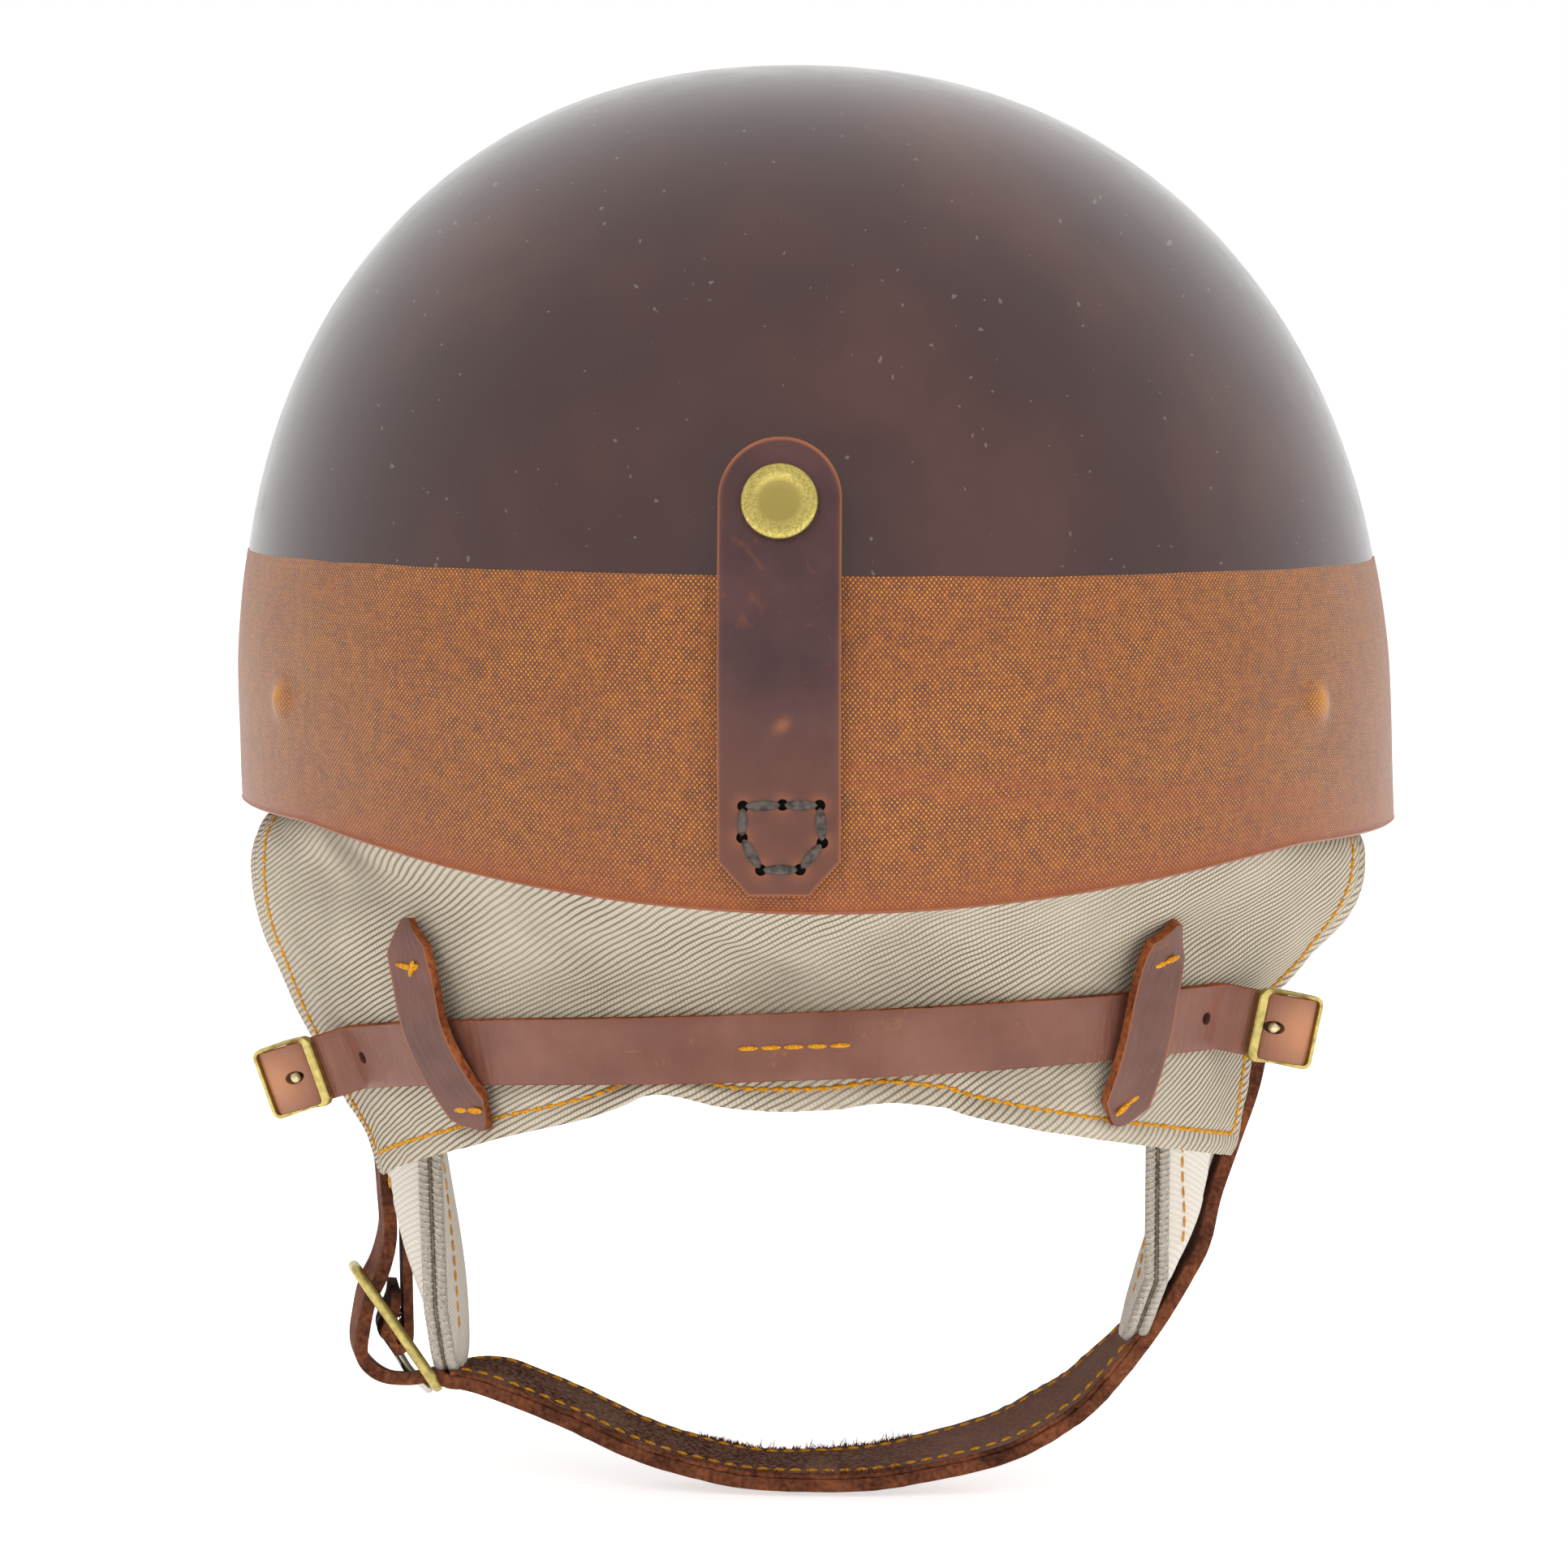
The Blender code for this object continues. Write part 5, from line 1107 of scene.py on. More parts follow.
def ring_sheet(low_z, high_z, inset, thickness, rows):
    """A closed band round the wall, along the liner's straight facet, its wall on its inner side."""

    def place(across, along):
        z = low_z + (high_z - low_z) * (along + 1) / 2
        return wall_point(-pi * across, z, inset, liner_share(z))

    flat = (WALL_GIRTH, high_z - low_z)
    return bent_sheet(192, rows, place, flat, thickness, 0.3 * MM, -1.0, ring=True)


def make_linen_band():
    """The band's cloth runs from its top edge down and round under the rim."""
    rows = 60
    under = 6
    bumps = [wall_point(radians(a), RIVET_Z) for a in RIVET_ANGLES]
    middle = -(BAND_GAP + BAND_THICKNESS / 2)

    def place(across, along):
        angle = -pi * across
        row = round((along + 1) / 2 * rows)
        foot = rim_z(angle)
        if row < under:
            turn = (under - row) / under * pi / 2
            z = foot - BAND_TURN_DOWN * sin(turn)
            return wall_point(angle, z, middle + BAND_TURN_IN * (1 - cos(turn)), 1.0)
        top = BAND_TOP_Z + 0.25 * MM * noise.noise(Vector((6 * sin(angle), 6 * cos(angle), 0)))
        top += (1.0 * sin(angle) - 1.1 * max(0.0, cos(angle))) * MM
        z = foot + (top - foot) * (row - under) / (rows - under)
        sunk = BAND_SUNK + BAND_TOP_SUNK * max(0.0, 1 - (top - z) / (22 * MM)) ** 1.5
        point = wall_point(angle, z, middle + sunk, dome_share(z, middle + sunk))
        outward = Vector((point.x, point.y, 0)).normalized()
        lift = sum(near(point, bump, RIVET_BUMP_REACH) for bump in bumps)
        uneven = noise.noise(point * 70) * 0.12 * MM
        return point + outward * (RIVET_BUMP * lift + uneven)

    piece = bent_sheet(360, rows, place, (WALL_GIRTH, 62 * MM), BAND_THICKNESS, 0.2 * MM, ring=True)
    # Paler spots on top of the rivet bumps: rubbed wear and a painted highlight
    spots = [b + Vector((0, 0, 0.5 * MM)) for b in bumps]
    paint(piece, "wear_and_sheen", lambda p: 1.6 * sum(near(p, s, 2.2 * MM) for s in spots))

    # Painted shade: darker just above the rim, where the band turns under, and along two crease lines
    # at the right rear
    def band_shade(point):
        angle = atan2(point.x / SHELL_HALF_WIDTH, point.y / SHELL_HALF_LENGTH)
        above = point.z - rim_z(angle)
        crease = 0.0
        if -1.1 < angle < -0.1:
            for start in BAND_CREASES:
                crease += exp(-(((above - start - 20 * MM * (angle + 0.6)) / (0.8 * MM)) ** 2))
        return min(0.6, 0.5 * exp(-above / (3.5 * MM)) + 0.42 * crease)

    paint(piece, "band_shade", band_shade)
    dress(piece, "linen_rim_band", [LINEN, LINEN])
    set_on(piece, "helmet", "varnished_linen", "linen_band")


def make_cork():
    """The cork ring inside the shell."""
    piece = ring_sheet(CORK_LOW_Z, CORK_TOP_Z, CORK_INSET, CORK_THICKNESS, 12)
    dress(piece, "cork_ring", [CORK, CORK])
    set_on(piece, "helmet", "cork", "cork_liner")


def make_cradle_band():
    """The canvas band on the cork that holds the tapes."""
    piece = ring_sheet(CRADLE_LOW_Z, CRADLE_TOP_Z, CRADLE_INSET, CRADLE_THICKNESS, 8)
    dress(piece, "cradle_webbing", [CANVAS, CANVAS])
    set_on(piece, "helmet", "cotton_canvas", "cradle_band")


def make_headband():
    """The leather headband, sewn in at the rim and leaning in from it, drawn into soft ripples."""

    def place(across, along):
        share = (along + 1) / 2
        z = SWEATBAND_LOW_Z + (SWEATBAND_TOP_Z - SWEATBAND_LOW_Z) * share
        angle = -pi * across
        ripple = 0.4 * MM * sin(24 * angle) * share
        inset = SWEATBAND_INSET + SWEATBAND_LEAN * share**0.7
        inset += SWEATBAND_THICKNESS / 2 + ripple
        return wall_point(angle, z, inset, 1.0)

    piece = bent_sheet(240, 20, place, (0.75, 35 * MM), SWEATBAND_THICKNESS, 0.4 * MM, ring=True)
    dress(piece, "leather_headband", [STRAP_LEATHER, EDGE])
    set_on(piece, "helmet", "chestnut_leather", "sweatband")


def make_tapes():
    """Six tapes from the cradle band up under the dome, each folded round the crown lace."""
    inset = TAPE_INSET + TAPE_THICKNESS / 2
    half_width = SHELL_HALF_WIDTH - inset
    half_length = SHELL_HALF_LENGTH - inset
    hook = LACE_RADIUS + FIT_GAP + TAPE_THICKNESS / 2
    stations = [Vector((1.0, 0.0, CRADLE_LOW_Z + MM, TAPE_WIDTH))]
    for i in range(8):
        turn = i / 7 * pi / 2
        z = CRADLE_TOP_Z + (LACE_Z + hook - CRADLE_TOP_Z) * sin(turn)
        stations.append(Vector((cos(turn), 0.0, z, TAPE_WIDTH + (TAPE_END_WIDTH - TAPE_WIDTH) * i / 7)))
    for degrees in (135, 180, 225, 270):
        turn = radians(degrees)
        stations.append(Vector((0.0, hook * cos(turn), LACE_Z + hook * sin(turn), TAPE_END_WIDTH)))
    stations = smooth_route(stations, 6)
    for number in range(1, TAPE_COUNT + 1):
        angle = pi * (2 * number - 1) / TAPE_COUNT
        middle = atan2(half_width * sin(angle), half_length * cos(angle))

        def place(across, along):
            share, past, z, width = pick(stations, (along + 1) / 2)
            near_radius = LACE_RING_RADIUS + past
            turn = middle - across * width / 2 / (near_radius + (half_width - near_radius) * share)
            foot = half_width * half_length
            foot /= hypot(half_length * sin(turn), half_width * cos(turn))
            radius = near_radius
            radius += (foot * liner_share(min(z, CRADLE_TOP_Z)) - near_radius) * share
            return Vector((radius * sin(turn) + DOME_LEAN_SHARE * z, radius * cos(turn), z))

        piece = bent_sheet(6, 96, place, (TAPE_WIDTH, 0.17), TAPE_THICKNESS, 0.3 * MM)
        dress(piece, f"cradle_strip_{number}", [CANVAS, CANVAS])
        set_on(piece, "helmet", "cotton_canvas", f"cradle_tape_{number}")


def make_crown_lace():
    """The lace that draws the tapes together, closed in a ring."""
    ring = []
    for i in range(72):
        turn = 2 * pi * i / 72
        x = LACE_RING_RADIUS * cos(turn) + DOME_LEAN_SHARE * LACE_Z
        ring.append((x, LACE_RING_RADIUS * sin(turn), LACE_Z))
    piece = tube(ring, LACE_RADIUS, cyclic=True)
    dress(piece, "crown_drawstring", [LACE])
    set_on(piece, "helmet", "waxed_cotton", "crown_lace")


# Tab

# Stitch holes of the tab's foot in mm: distance from its middle line, and height
TAB_HOLES = (
    (6.4, 8.9),
    (-0.7, 9.2),
    (-7.3, 9.1),
    (-7.8, 2.4),
    (-3.8, -2.4),
    (3.2, -2.5),
    (6.6, 3.3),
)


def tab_normal(z):
    """Direction out of the tab's face at a height."""
    slope = tab_point(0, z + MM) - tab_point(0, z - MM)
    return slope.cross(Vector((1, 0, 0))).normalized()


def make_tab():
    """The goggle-strap tab: one piece of leather, stitched at its foot, bending away from the shell
    above its fold line.
    """
    half = TAB_WIDTH / 2
    rows = [TAB_FOOT_Z + TAB_CHAMFER * i / 12 for i in range(12)]
    rows += [TAB_FOOT_Z + TAB_CHAMFER + 0.6 * MM * i for i in range(110)]
    rows = [z for z in rows if z < SNAP_Z]
    rows += [SNAP_Z + half * sin(pi / 2 * i / 22) for i in range(21)] + [TAB_TOP_Z - 0.05 * MM]
    last = len(rows) - 1

    def reach(z):
        if z < TAB_FOOT_Z + TAB_CHAMFER:
            share = (z - TAB_FOOT_Z) / TAB_CHAMFER
            return TAB_FOOT_END_WIDTH / 2 + (half - TAB_FOOT_END_WIDTH / 2) * share
        if z > SNAP_Z:
            return max(0.6 * MM, max(0.0, half**2 - (z - SNAP_Z) ** 2) ** 0.5)
        return half

    def place(across, along):
        z = rows[round((along + 1) / 2 * last)]
        x = across * min(half, reach(z))
        sunk = sum(near(Vector((x, 0, z)), Vector((a, 0, b)) * MM, 1.2 * MM) for a, b in TAB_HOLES)
        wavy = 0.12 * MM * noise.noise(Vector((x, 0, z)) * 90)
        return tab_point(x, z) + tab_normal(z) * (wavy - TAB_HOLE_SINK * sunk)

    def outline(point):
        x, z = point.x - TAB_SHIFT, point.z
        if z > SNAP_Z:
            inside = half - hypot(x, z - SNAP_Z)
        else:
            inside = min(reach(z) - abs(x), z - TAB_FOOT_Z)
        return 0.6 * exp(-((max(0.0, inside) / (0.28 * MM)) ** 2))

    piece = bent_sheet(40, last, place, (TAB_WIDTH, 0.083), TAB_THICKNESS, 0.28 * MM)
    cutters = []
    for a, b in TAB_HOLES:
        normal = tab_normal(b * MM)
        centre = tab_point(a * MM, b * MM) + normal * 0.9 * MM
        cutters.append(rod(TAB_HOLE_RADIUS, 1.6 * MM, frame_at(centre, (1, 0, 0), normal), 20))
    cutter = joined(cutters)
    # The holes' walls get the near-black painted shade
    for material in (None, None, HOLE_SHADE):
        cutter.data.materials.append(material)
    for face in cutter.data.polygons:
        face.material_index = 2
    piece.data.materials.append(HOLE_SHADE)
    cut_by(piece, cutter)
    scuff = Vector(TAB_SCUFF)

    def wear_and_sheen(point):
        flat = Vector((point.x - TAB_SHIFT, 0, point.z))
        rims = sum(near(flat, Vector((a, 0, b)) * MM, 1.9 * MM) for a, b in TAB_HOLES)
        low = 0.35 * max(0.0, min(1.0, (34 * MM - point.z) / (34 * MM)))
        slanted = Vector((flat.x + 0.5 * (flat.z - scuff.z), 0, flat.z))
        return min(1.0, 0.55 * rims + low + 0.8 * near(slanted, scuff, 1.3 * MM))

    paint(piece, "wear_and_sheen", wear_and_sheen)
    paint(piece, "outline", outline)
    dress(piece, "goggle_strap_tab", [TAB_LEATHER, EDGE, HOLE_SHADE], 40)
    fold = TAB_FOLD_Z - 0.3 * MM
    y = tab_point(0, fold).y
    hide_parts("tab_foot", "goggle_tab_flap")
    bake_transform(piece)


def make_tab_stitches():
    """Thick cord from hole to hole round the tab's foot."""
    places = []
    for (a, b), (c, d) in zip(TAB_HOLES, TAB_HOLES[1:] + TAB_HOLES[:1]):
        start, end = tab_point(a * MM, b * MM), tab_point(c * MM, d * MM)
        normal = tab_normal((b + d) / 2 * MM)
        middle = start.lerp(end, 0.5) + normal * (TAB_THICKNESS / 2 + 0.05 * MM)
        stretch = Matrix.Diagonal(((end - start).length / (5 * MM), 1, 1, 1))
        places.append(frame_at(middle, end - start, normal) @ stretch)
    piece = copies(bean(4.5 * MM, 1.95 * MM, 1.1 * MM), places)
    dress(piece, "tab_cord_stitches", [CORD], 180)
    set_on(piece, "helmet", "waxed_cotton")


def snap_place():
    """Placement of the snap: Z out of the tab's face."""
    return frame_at(tab_point(0, CAP_Z), (1, 0, 0), tab_normal(CAP_Z))


def make_snap_cap():
    """The snap's dished cap with its rolled rim and its post."""
    base = TAB_THICKNESS / 2 + 0.1 * MM
    top = base + SNAP_CAP_HEIGHT
    r = SNAP_CAP_RADIUS
    profile = [(0, top - 0.75 * MM), (0.3 * r, top - 0.72 * MM), (0.5 * r, top - 0.62 * MM)]
    profile += [(0.62 * r, top - 0.36 * MM), (0.7 * r, top - 0.08 * MM), (0.78 * r, top)]
    profile += [(0.88 * r, top - 0.06 * MM), (0.96 * r, top - 0.4 * MM), (r, top - 0.95 * MM)]
    profile += [(0.985 * r, top - 1.4 * MM), (0.93 * r, base), (SNAP_POST_RADIUS, base)]
    profile += [(SNAP_POST_RADIUS, base - 3 * MM), (0, base - 3 * MM)]
    place = snap_place()
    piece = lathe(profile, place, 72)
    back = place.inverted()

    def age(point):
        spot = back @ point
        away = hypot(spot.x, spot.y) / r
        rim = exp(-(((away - 0.97) / 0.05) ** 2)) * 0.6 if spot.z < top - 0.5 * MM else 0.0
        return max(0.62 * exp(-((away / 0.62) ** 14)), rim)

    paint(piece, "age", age)
    dress(piece, "brass_snap_cap", [CAP_BRASS], 60)
    set_on(piece, "goggle_tab", "aged_brass", "snap_cap")


# Neck curtain and what is sewn on it


def curtain_size(across, down):
    """Rough half width in metres at a height, and length from the top edge to the hem."""
    return 166 * MM - 38 * MM * down, curtain_top_z(across) - hem_z(across)


def edge_distance(across, down):
    """Rough distances in metres from the curtain's side edge and from its hem."""
    width, length = curtain_size(across, down)
    return (1 - abs(across)) * width, (1 - down) * length


def settled(across, down):
    """The right wing drawn in towards the strap, and both lower corners rounded."""
    side, foot = edge_distance(across, down)
    if across < -0.5:
        draw = 0.13 * exp(-(((down - 0.62) / 0.17) ** 2)) if down < 0.62 else 0.13
        draw -= 0.08 * max(0.0, (down - 0.62) / 0.38)
        across += draw * ((-across - 0.5) / 0.5) ** 1.5
    round_side, round_foot = 1 - side / CURTAIN_CORNER, 1 - foot / CURTAIN_CORNER
    if round_side > 0 and round_foot > 0:
        width, length = curtain_size(across, down)
        pull = round_side * (1 - (1 - min(1.0, round_foot) ** 2 / 2) ** 0.5) * CURTAIN_CORNER / width
        across -= pull if across > 0 else -pull
        down -= round_foot * (1 - (1 - min(1.0, round_side) ** 2 / 2) ** 0.5) * CURTAIN_CORNER / length
    return across, down


def curtain_surface(across, down):
    """Middle of the cloth with its wrinkles, its puffed hem and its stitched groove."""
    side, foot = edge_distance(across, down)
    across, down = settled(across, down)
    _, _, out = curtain_axes(across, down)
    edge = min(side, foot)
    groove = -CURTAIN_GROOVE * exp(-(((edge - HEM_STITCH_INSET) / (0.9 * MM)) ** 2))
    puff = CURTAIN_PUFF * exp(-(((edge - 1.8 * MM) / (1.6 * MM)) ** 2))
    point = curtain_point(across, down)
    spot = Vector((across * 9, down * 5, 0.3))
    creases = 0.9 * MM * noise.noise(spot) + 0.35 * MM * noise.noise(spot * 2.7)
    calm = min(1.0, down / 0.15)
    pucker = CURTAIN_PUCKER * noise.noise(Vector((across * 90, down * 45, 2.0)))
    pucker *= exp(-((edge / (6 * MM)) ** 2))
    return point + out * ((creases + pucker) * calm + groove + puff)


# Painted shade in the folds and dents: across, down, reach in mm, depth
CURTAIN_FOLD_SHADE = (
    (0.7, 0.16, 9, 0.5),
    (0.56, 0.62, 7, 0.22),
    (-0.6, 0.5, 13, 0.16),
    (-0.1, 0.45, 14, 0.1),
)


def make_curtain():
    """The cloth, its weave laid out at its real size."""

    def place(across, along):
        return curtain_surface(across, (1 - along) / 2)

    half, tall = 160 * MM, 66 * MM
    piece = bent_sheet(260, 110, place, (2 * half, tall), CURTAIN_THICKNESS, 0.55 * MM)
    corners = piece.data.uv_layers.active.data
    for loop in piece.data.loops:
        u, v = corners[loop.index].uv
        across, down = u / half, 0.5 - v / tall
        width = CURTAIN_TOP_REACH + (CURTAIN_HEM_REACH - CURTAIN_TOP_REACH) * down
        length = curtain_top_z(across) - hem_z(across)
        corners[loop.index].uv = (across * width, -down * length + curtain_top_z(across))
    # Painted shade in the folds and dents, as a point attribute
    spots = [(curtain_point(a, d), wide * MM, dark) for a, d, wide, dark in CURTAIN_FOLD_SHADE]
    paint(piece, "soil_and_shade", lambda p: sum(dark * near(p, spot, wide) for spot, wide, dark in spots))
    dress(piece, "neck_curtain_twill", [TWILL, TWILL])
    set_on(piece, "helmet", "stone_twill", "neck_curtain")
    return piece


def hem_line(inset):
    """(across, down) points of a line kept an inset from the curtain's free edges."""

    def side_line(hand):
        points = []
        for i in range(41):
            down = 0.1 + 0.9 * i / 40
            side, _ = edge_distance(0.0, down)
            if (1 - down) * (curtain_top_z(hand) - hem_z(hand)) > inset:
                from_edge = inset * (1.35 + 1.2 * exp(-((down / 0.35) ** 2)))
                points.append((hand * (1 - from_edge / side), down))
        return points

    left, right = side_line(1.0), side_line(-1.0)
    foot = []
    start, end = left[-1][0], right[-1][0]
    for i in range(121):
        across = start + (end - start) * i / 120
        foot.append((across, 1 - inset / (curtain_top_z(across) - hem_z(across))))
    return left + foot + right[::-1]


def curtain_run(line, lift):
    """Points on the curtain's face along a line, with the direction out of it."""
    run = []
    for across, down in line:
        _, _, out = curtain_axes(across, down)
        run.append((curtain_surface(across, down) + out * lift, out))
    return run


def make_hem_stitches():
    """One row of stitches round the curtain's free edges, seen on both faces."""
    line = hem_line(HEM_STITCH_INSET)
    lift = CURTAIN_THICKNESS / 2 + 0.12 * MM
    runs = [curtain_run(line, lift), curtain_run(line, -lift)]
    piece = seam("hem_stitches", runs, HEM_STITCH, THREAD, "helmet")
    return piece


def neck_prong_tip(side):
    """How far along its buckle a neck prong's tip lies."""
    return NECK_PRONG_TIP_LEFT if side > 0 else NECK_PRONG_TIP_RIGHT


def neck_strap_stations():
    """Centres, upward and outward directions of the strap from the right buckle to the left."""
    weave = (
        (-8.6, STRAP_UNDER),
        (-6.4, STRAP_UNDER + 0.1 * MM),
        (-4.9, STRAP_UNDER + 1.0 * MM),
        (-3.4, STRAP_OVER - 0.3 * MM),
        (-1.4, STRAP_OVER + 0.25 * MM),
        (1.4, STRAP_OVER + 0.3 * MM),
        (3.9, STRAP_OVER - 0.2 * MM),
        (5.5, STRAP_UNDER + 1.5 * MM),
        (6.5, STRAP_UNDER + 0.45 * MM),
        (7.6, STRAP_UNDER - 0.3 * MM),
    )

    def woven(side):
        place = neck_buckle_place(side)
        turn = place.to_3x3()
        upward = turn @ Vector((0, 1, 0))
        upward = upward if upward.z > 0 else -upward
        return [(place @ Vector((x * MM, 0, z)), upward, turn @ Vector((0, 0, 1))) for x, z in weave]

    stations = list(reversed(woven(-1)))
    for i in range(45):
        share = i / 44
        across = neck_strap_reach(-1) * (1 - share) + neck_strap_reach(1) * share
        stations.append(neck_strap_lie(across))
    return stations + woven(1)


def make_neck_strap():
    """The strap, woven through both buckles, with a spare hole and a prong hole each side."""
    stations = neck_strap_stations()
    centres = smooth_route([s[0] for s in stations], 6)
    uprights = smooth_route([s[1] for s in stations], 6)
    last = len(centres) - 1

    def place(across, along):
        k = round((along + 1) / 2 * last)
        near_end = min(1.0, max(0.0, (90 - min(k, last - k)) / 60))
        reach = NECK_STRAP_WIDTH / 2 + 0.1 * MM * near_end
        return centres[k] + uprights[k].normalized() * (across * reach)

    piece = bent_sheet(6, last, place, (NECK_STRAP_WIDTH, 0.3), NECK_STRAP_THICKNESS, 0.45 * MM)
    turn_map(piece)
    rods = []
    for side in (1, -1):
        centre, upward, out = neck_strap_lie(neck_strap_reach(side) * 0.955)
        rods.append(rod(STRAP_HOLE_RADIUS, 6 * MM, frame_at(centre, upward, out)))
        middle = (neck_prong_tip(side) + 0.6 * MM, 0, STRAP_OVER)
        long_hole = Matrix.Translation(middle) @ Matrix.Diagonal((1.6, 0.95, 1, 1))
        rods.append(rod(PRONG_HOLE_RADIUS, 6 * MM, neck_buckle_place(side) @ long_hole))
    cut_by(piece, joined(rods), crosses=True)
    # Paler leather round each buckle: paling where it bends, and a painted highlight where it bows
    # through the frame
    buckles = [neck_buckle_place(side) @ Vector((3 * MM, 0, 0)) for side in (1, -1)]
    paint(piece, "wear_and_sheen", lambda p: 0.95 * min(1.0, sum(near(p, b, 7 * MM) for b in buckles)))
    dress(piece, "neck_strap_leather", [STRAP_LEATHER, EDGE], 40)
    set_on(piece, "helmet", "chestnut_leather", "neck_strap")
    # Bar of stitches where the strap is sewn to the curtain at its middle
    run = []
    for i in range(13):
        across = 0.088 - 0.176 * i / 12
        centre, _, out = neck_strap_lie(across)
        run.append((centre + out * (NECK_STRAP_THICKNESS / 2 + 0.12 * MM), out))
    piece = seam("strap_bar_stitches", [run], BAR_STITCH, THREAD, "helmet")


def keeper_centre(side, share):
    """Middle of a keeper at a share of its length from its top, and the direction out of it."""
    if side > 0:
        across = 0.62 + 0.04 * share - 0.118 * share**2
    else:
        across = -0.585 + 0.035 * share
    top, low = KEEPER_LEFT_Z if side > 0 else KEEPER_RIGHT_Z
    z = top + (low - top) * share
    down = curtain_down(across, z)
    _, _, out = curtain_axes(across, down)
    base = CURTAIN_THICKNESS / 2 + SEW_GAP + KEEPER_THICKNESS / 2
    rise = KEEPER_RISE * max(0.0, sin(pi * min(1.0, max(0.0, (share - 0.01) / 0.98)))) ** 0.8
    return curtain_point(across, down) + out * (base + rise), out


def keeper_axes(side, share):
    """Middle of a keeper, and the directions across it and out of it."""
    centre, out = keeper_centre(side, share)
    ahead, _ = keeper_centre(side, share + 0.02)
    behind, _ = keeper_centre(side, share - 0.02)
    along = (ahead - behind).normalized()
    return centre, along.cross(out).normalized(), out


def make_keeper(side, name):
    """A pointed leather loop sewn down at both ends, standing over the strap."""

    def place(across, along):
        share = (1 - along) / 2
        centre, aside, out = keeper_axes(side, share)
        from_end = min(share, 1 - share)
        reach = KEEPER_REACH * min(1.0, 0.12 + 0.88 * from_end / 0.125)
        return centre + aside * (across * reach) + out * 0.3 * MM

    piece = bent_sheet(20, 80, place, (KEEPER_WIDTH, 42 * MM), KEEPER_WALL, 0.35 * MM)
    corners = piece.data.uv_layers.active.data
    border = piece.data.attributes.new("outline", "FLOAT", "POINT")
    for loop in piece.data.loops:
        inside = KEEPER_WIDTH / 2 - abs(corners[loop.index].uv[0])
        border.data[loop.vertex_index].value = 0.6 * exp(-((inside / (0.2 * MM)) ** 2))
    dress(piece, f"keeper_{name}_leather", [KEEPER_LEATHER, EDGE], 40)
    set_on(piece, "helmet", "chestnut_leather", f"strap_keeper_{name}")


def make_keeper_stitches():
    """Crossing stitches at each keeper's upper end and two short ones at its lower end."""
    places = []
    # Side, share from the top, shift in mm, turn in degrees, stretch
    marks = (
        (1, 0.195, 0.6, -22, 1.25),
        (1, 0.225, -1.2, 48, 0.85),
        (1, 0.205, -1.3, 8, 0.7),
        (1, 0.885, -2.0, -28, 0.85),
        (1, 0.885, 2.0, -28, 0.85),
        (-1, 0.185, -1.7, 40, 0.8),
        (-1, 0.185, 1.6, 40, 0.8),
        (-1, 0.87, -1.8, 45, 0.9),
        (-1, 0.87, 1.7, 45, 0.9),
    )
    for side, share, offset, turn, stretch in marks:
        centre, aside, out = keeper_axes(side, share)
        place = frame_at(centre + out * 1.35 * MM, aside, out)
        place = place @ Matrix.Rotation(radians(turn), 4, "Z")
        place = place @ Matrix.Translation((offset * MM, 0, 0))
        places.append(place @ Matrix.Diagonal((stretch, 1, 1, 1)))
    piece = copies(bean(4.6 * MM, 1.3 * MM, 0.9 * MM), places)
    dress(piece, "keeper_stitches", [THREAD], 180)
    set_on(piece, "helmet", "chestnut_leather")


def wire_frame(place):
    """The chin buckle's rounded wire frame with a centre bar let into its side rails."""
    half_long = CHIN_BUCKLE_LENGTH / 2 - CHIN_BUCKLE_BAR / 2
    half_wide = CHIN_BUCKLE_WIDTH / 2 - CHIN_BUCKLE_BAR / 2
    corner = CHIN_BUCKLE_CORNER
    points = []
    for sign_x, sign_y, start in ((1, 1, 0), (-1, 1, 90), (-1, -1, 180), (1, -1, 270)):
        for degrees in range(0, 91, 10):
            turn = radians(start + degrees)
            x = sign_x * (half_long - corner) + corner * cos(turn)
            y = sign_y * (half_wide - corner) + corner * sin(turn)
            points.append(place @ Vector((x, y, 0)))
        if sign_x * sign_y > 0:
            for k in range(1, 14):
                x = sign_x * (1 - 2 * k / 14) * (half_long - corner)
                points.append(place @ Vector((x, sign_y * half_wide, 0)))
    rail = tube(points, CHIN_BUCKLE_BAR / 2, cyclic=True, sides=6)
    ends = [place @ Vector((0, side * half_wide, 0)) for side in (-1, 1)]
    return joined([rail, tube(ends, CHIN_CENTRE_BAR_RADIUS, sides=6)])


def prong_tongue(place, bar_radius, bar_drop, radius, tip, ball_radius):
    """A wire bent round the centre bar, its rounded tip resting on the inner end bar."""
    eye = bar_radius + PRONG_SLACK + radius
    points = [
        Vector((eye * cos(radians(d)), 0, eye * sin(radians(d)) - bar_drop))
        for d in (-60, -35, -10, 15, 40, 65, 90, 110)
    ]
    start = points[-1]
    end = Vector(tip)
    for share, lift in ((0.3, 0.3), (0.55, 0.75), (0.75, 0.6), (1.0, 0.0)):
        points.append(start.lerp(end, share) + Vector((0, 0, lift * radius)))
    piece = tube([place @ p for p in smooth_route(points, 3)], radius, sides=5)
    bpy.ops.mesh.primitive_uv_sphere_add(segments=20, ring_count=12, radius=ball_radius)
    ball = bpy.context.object
    ball.data.transform(Matrix.Translation(place @ end))
    return joined([piece, ball])


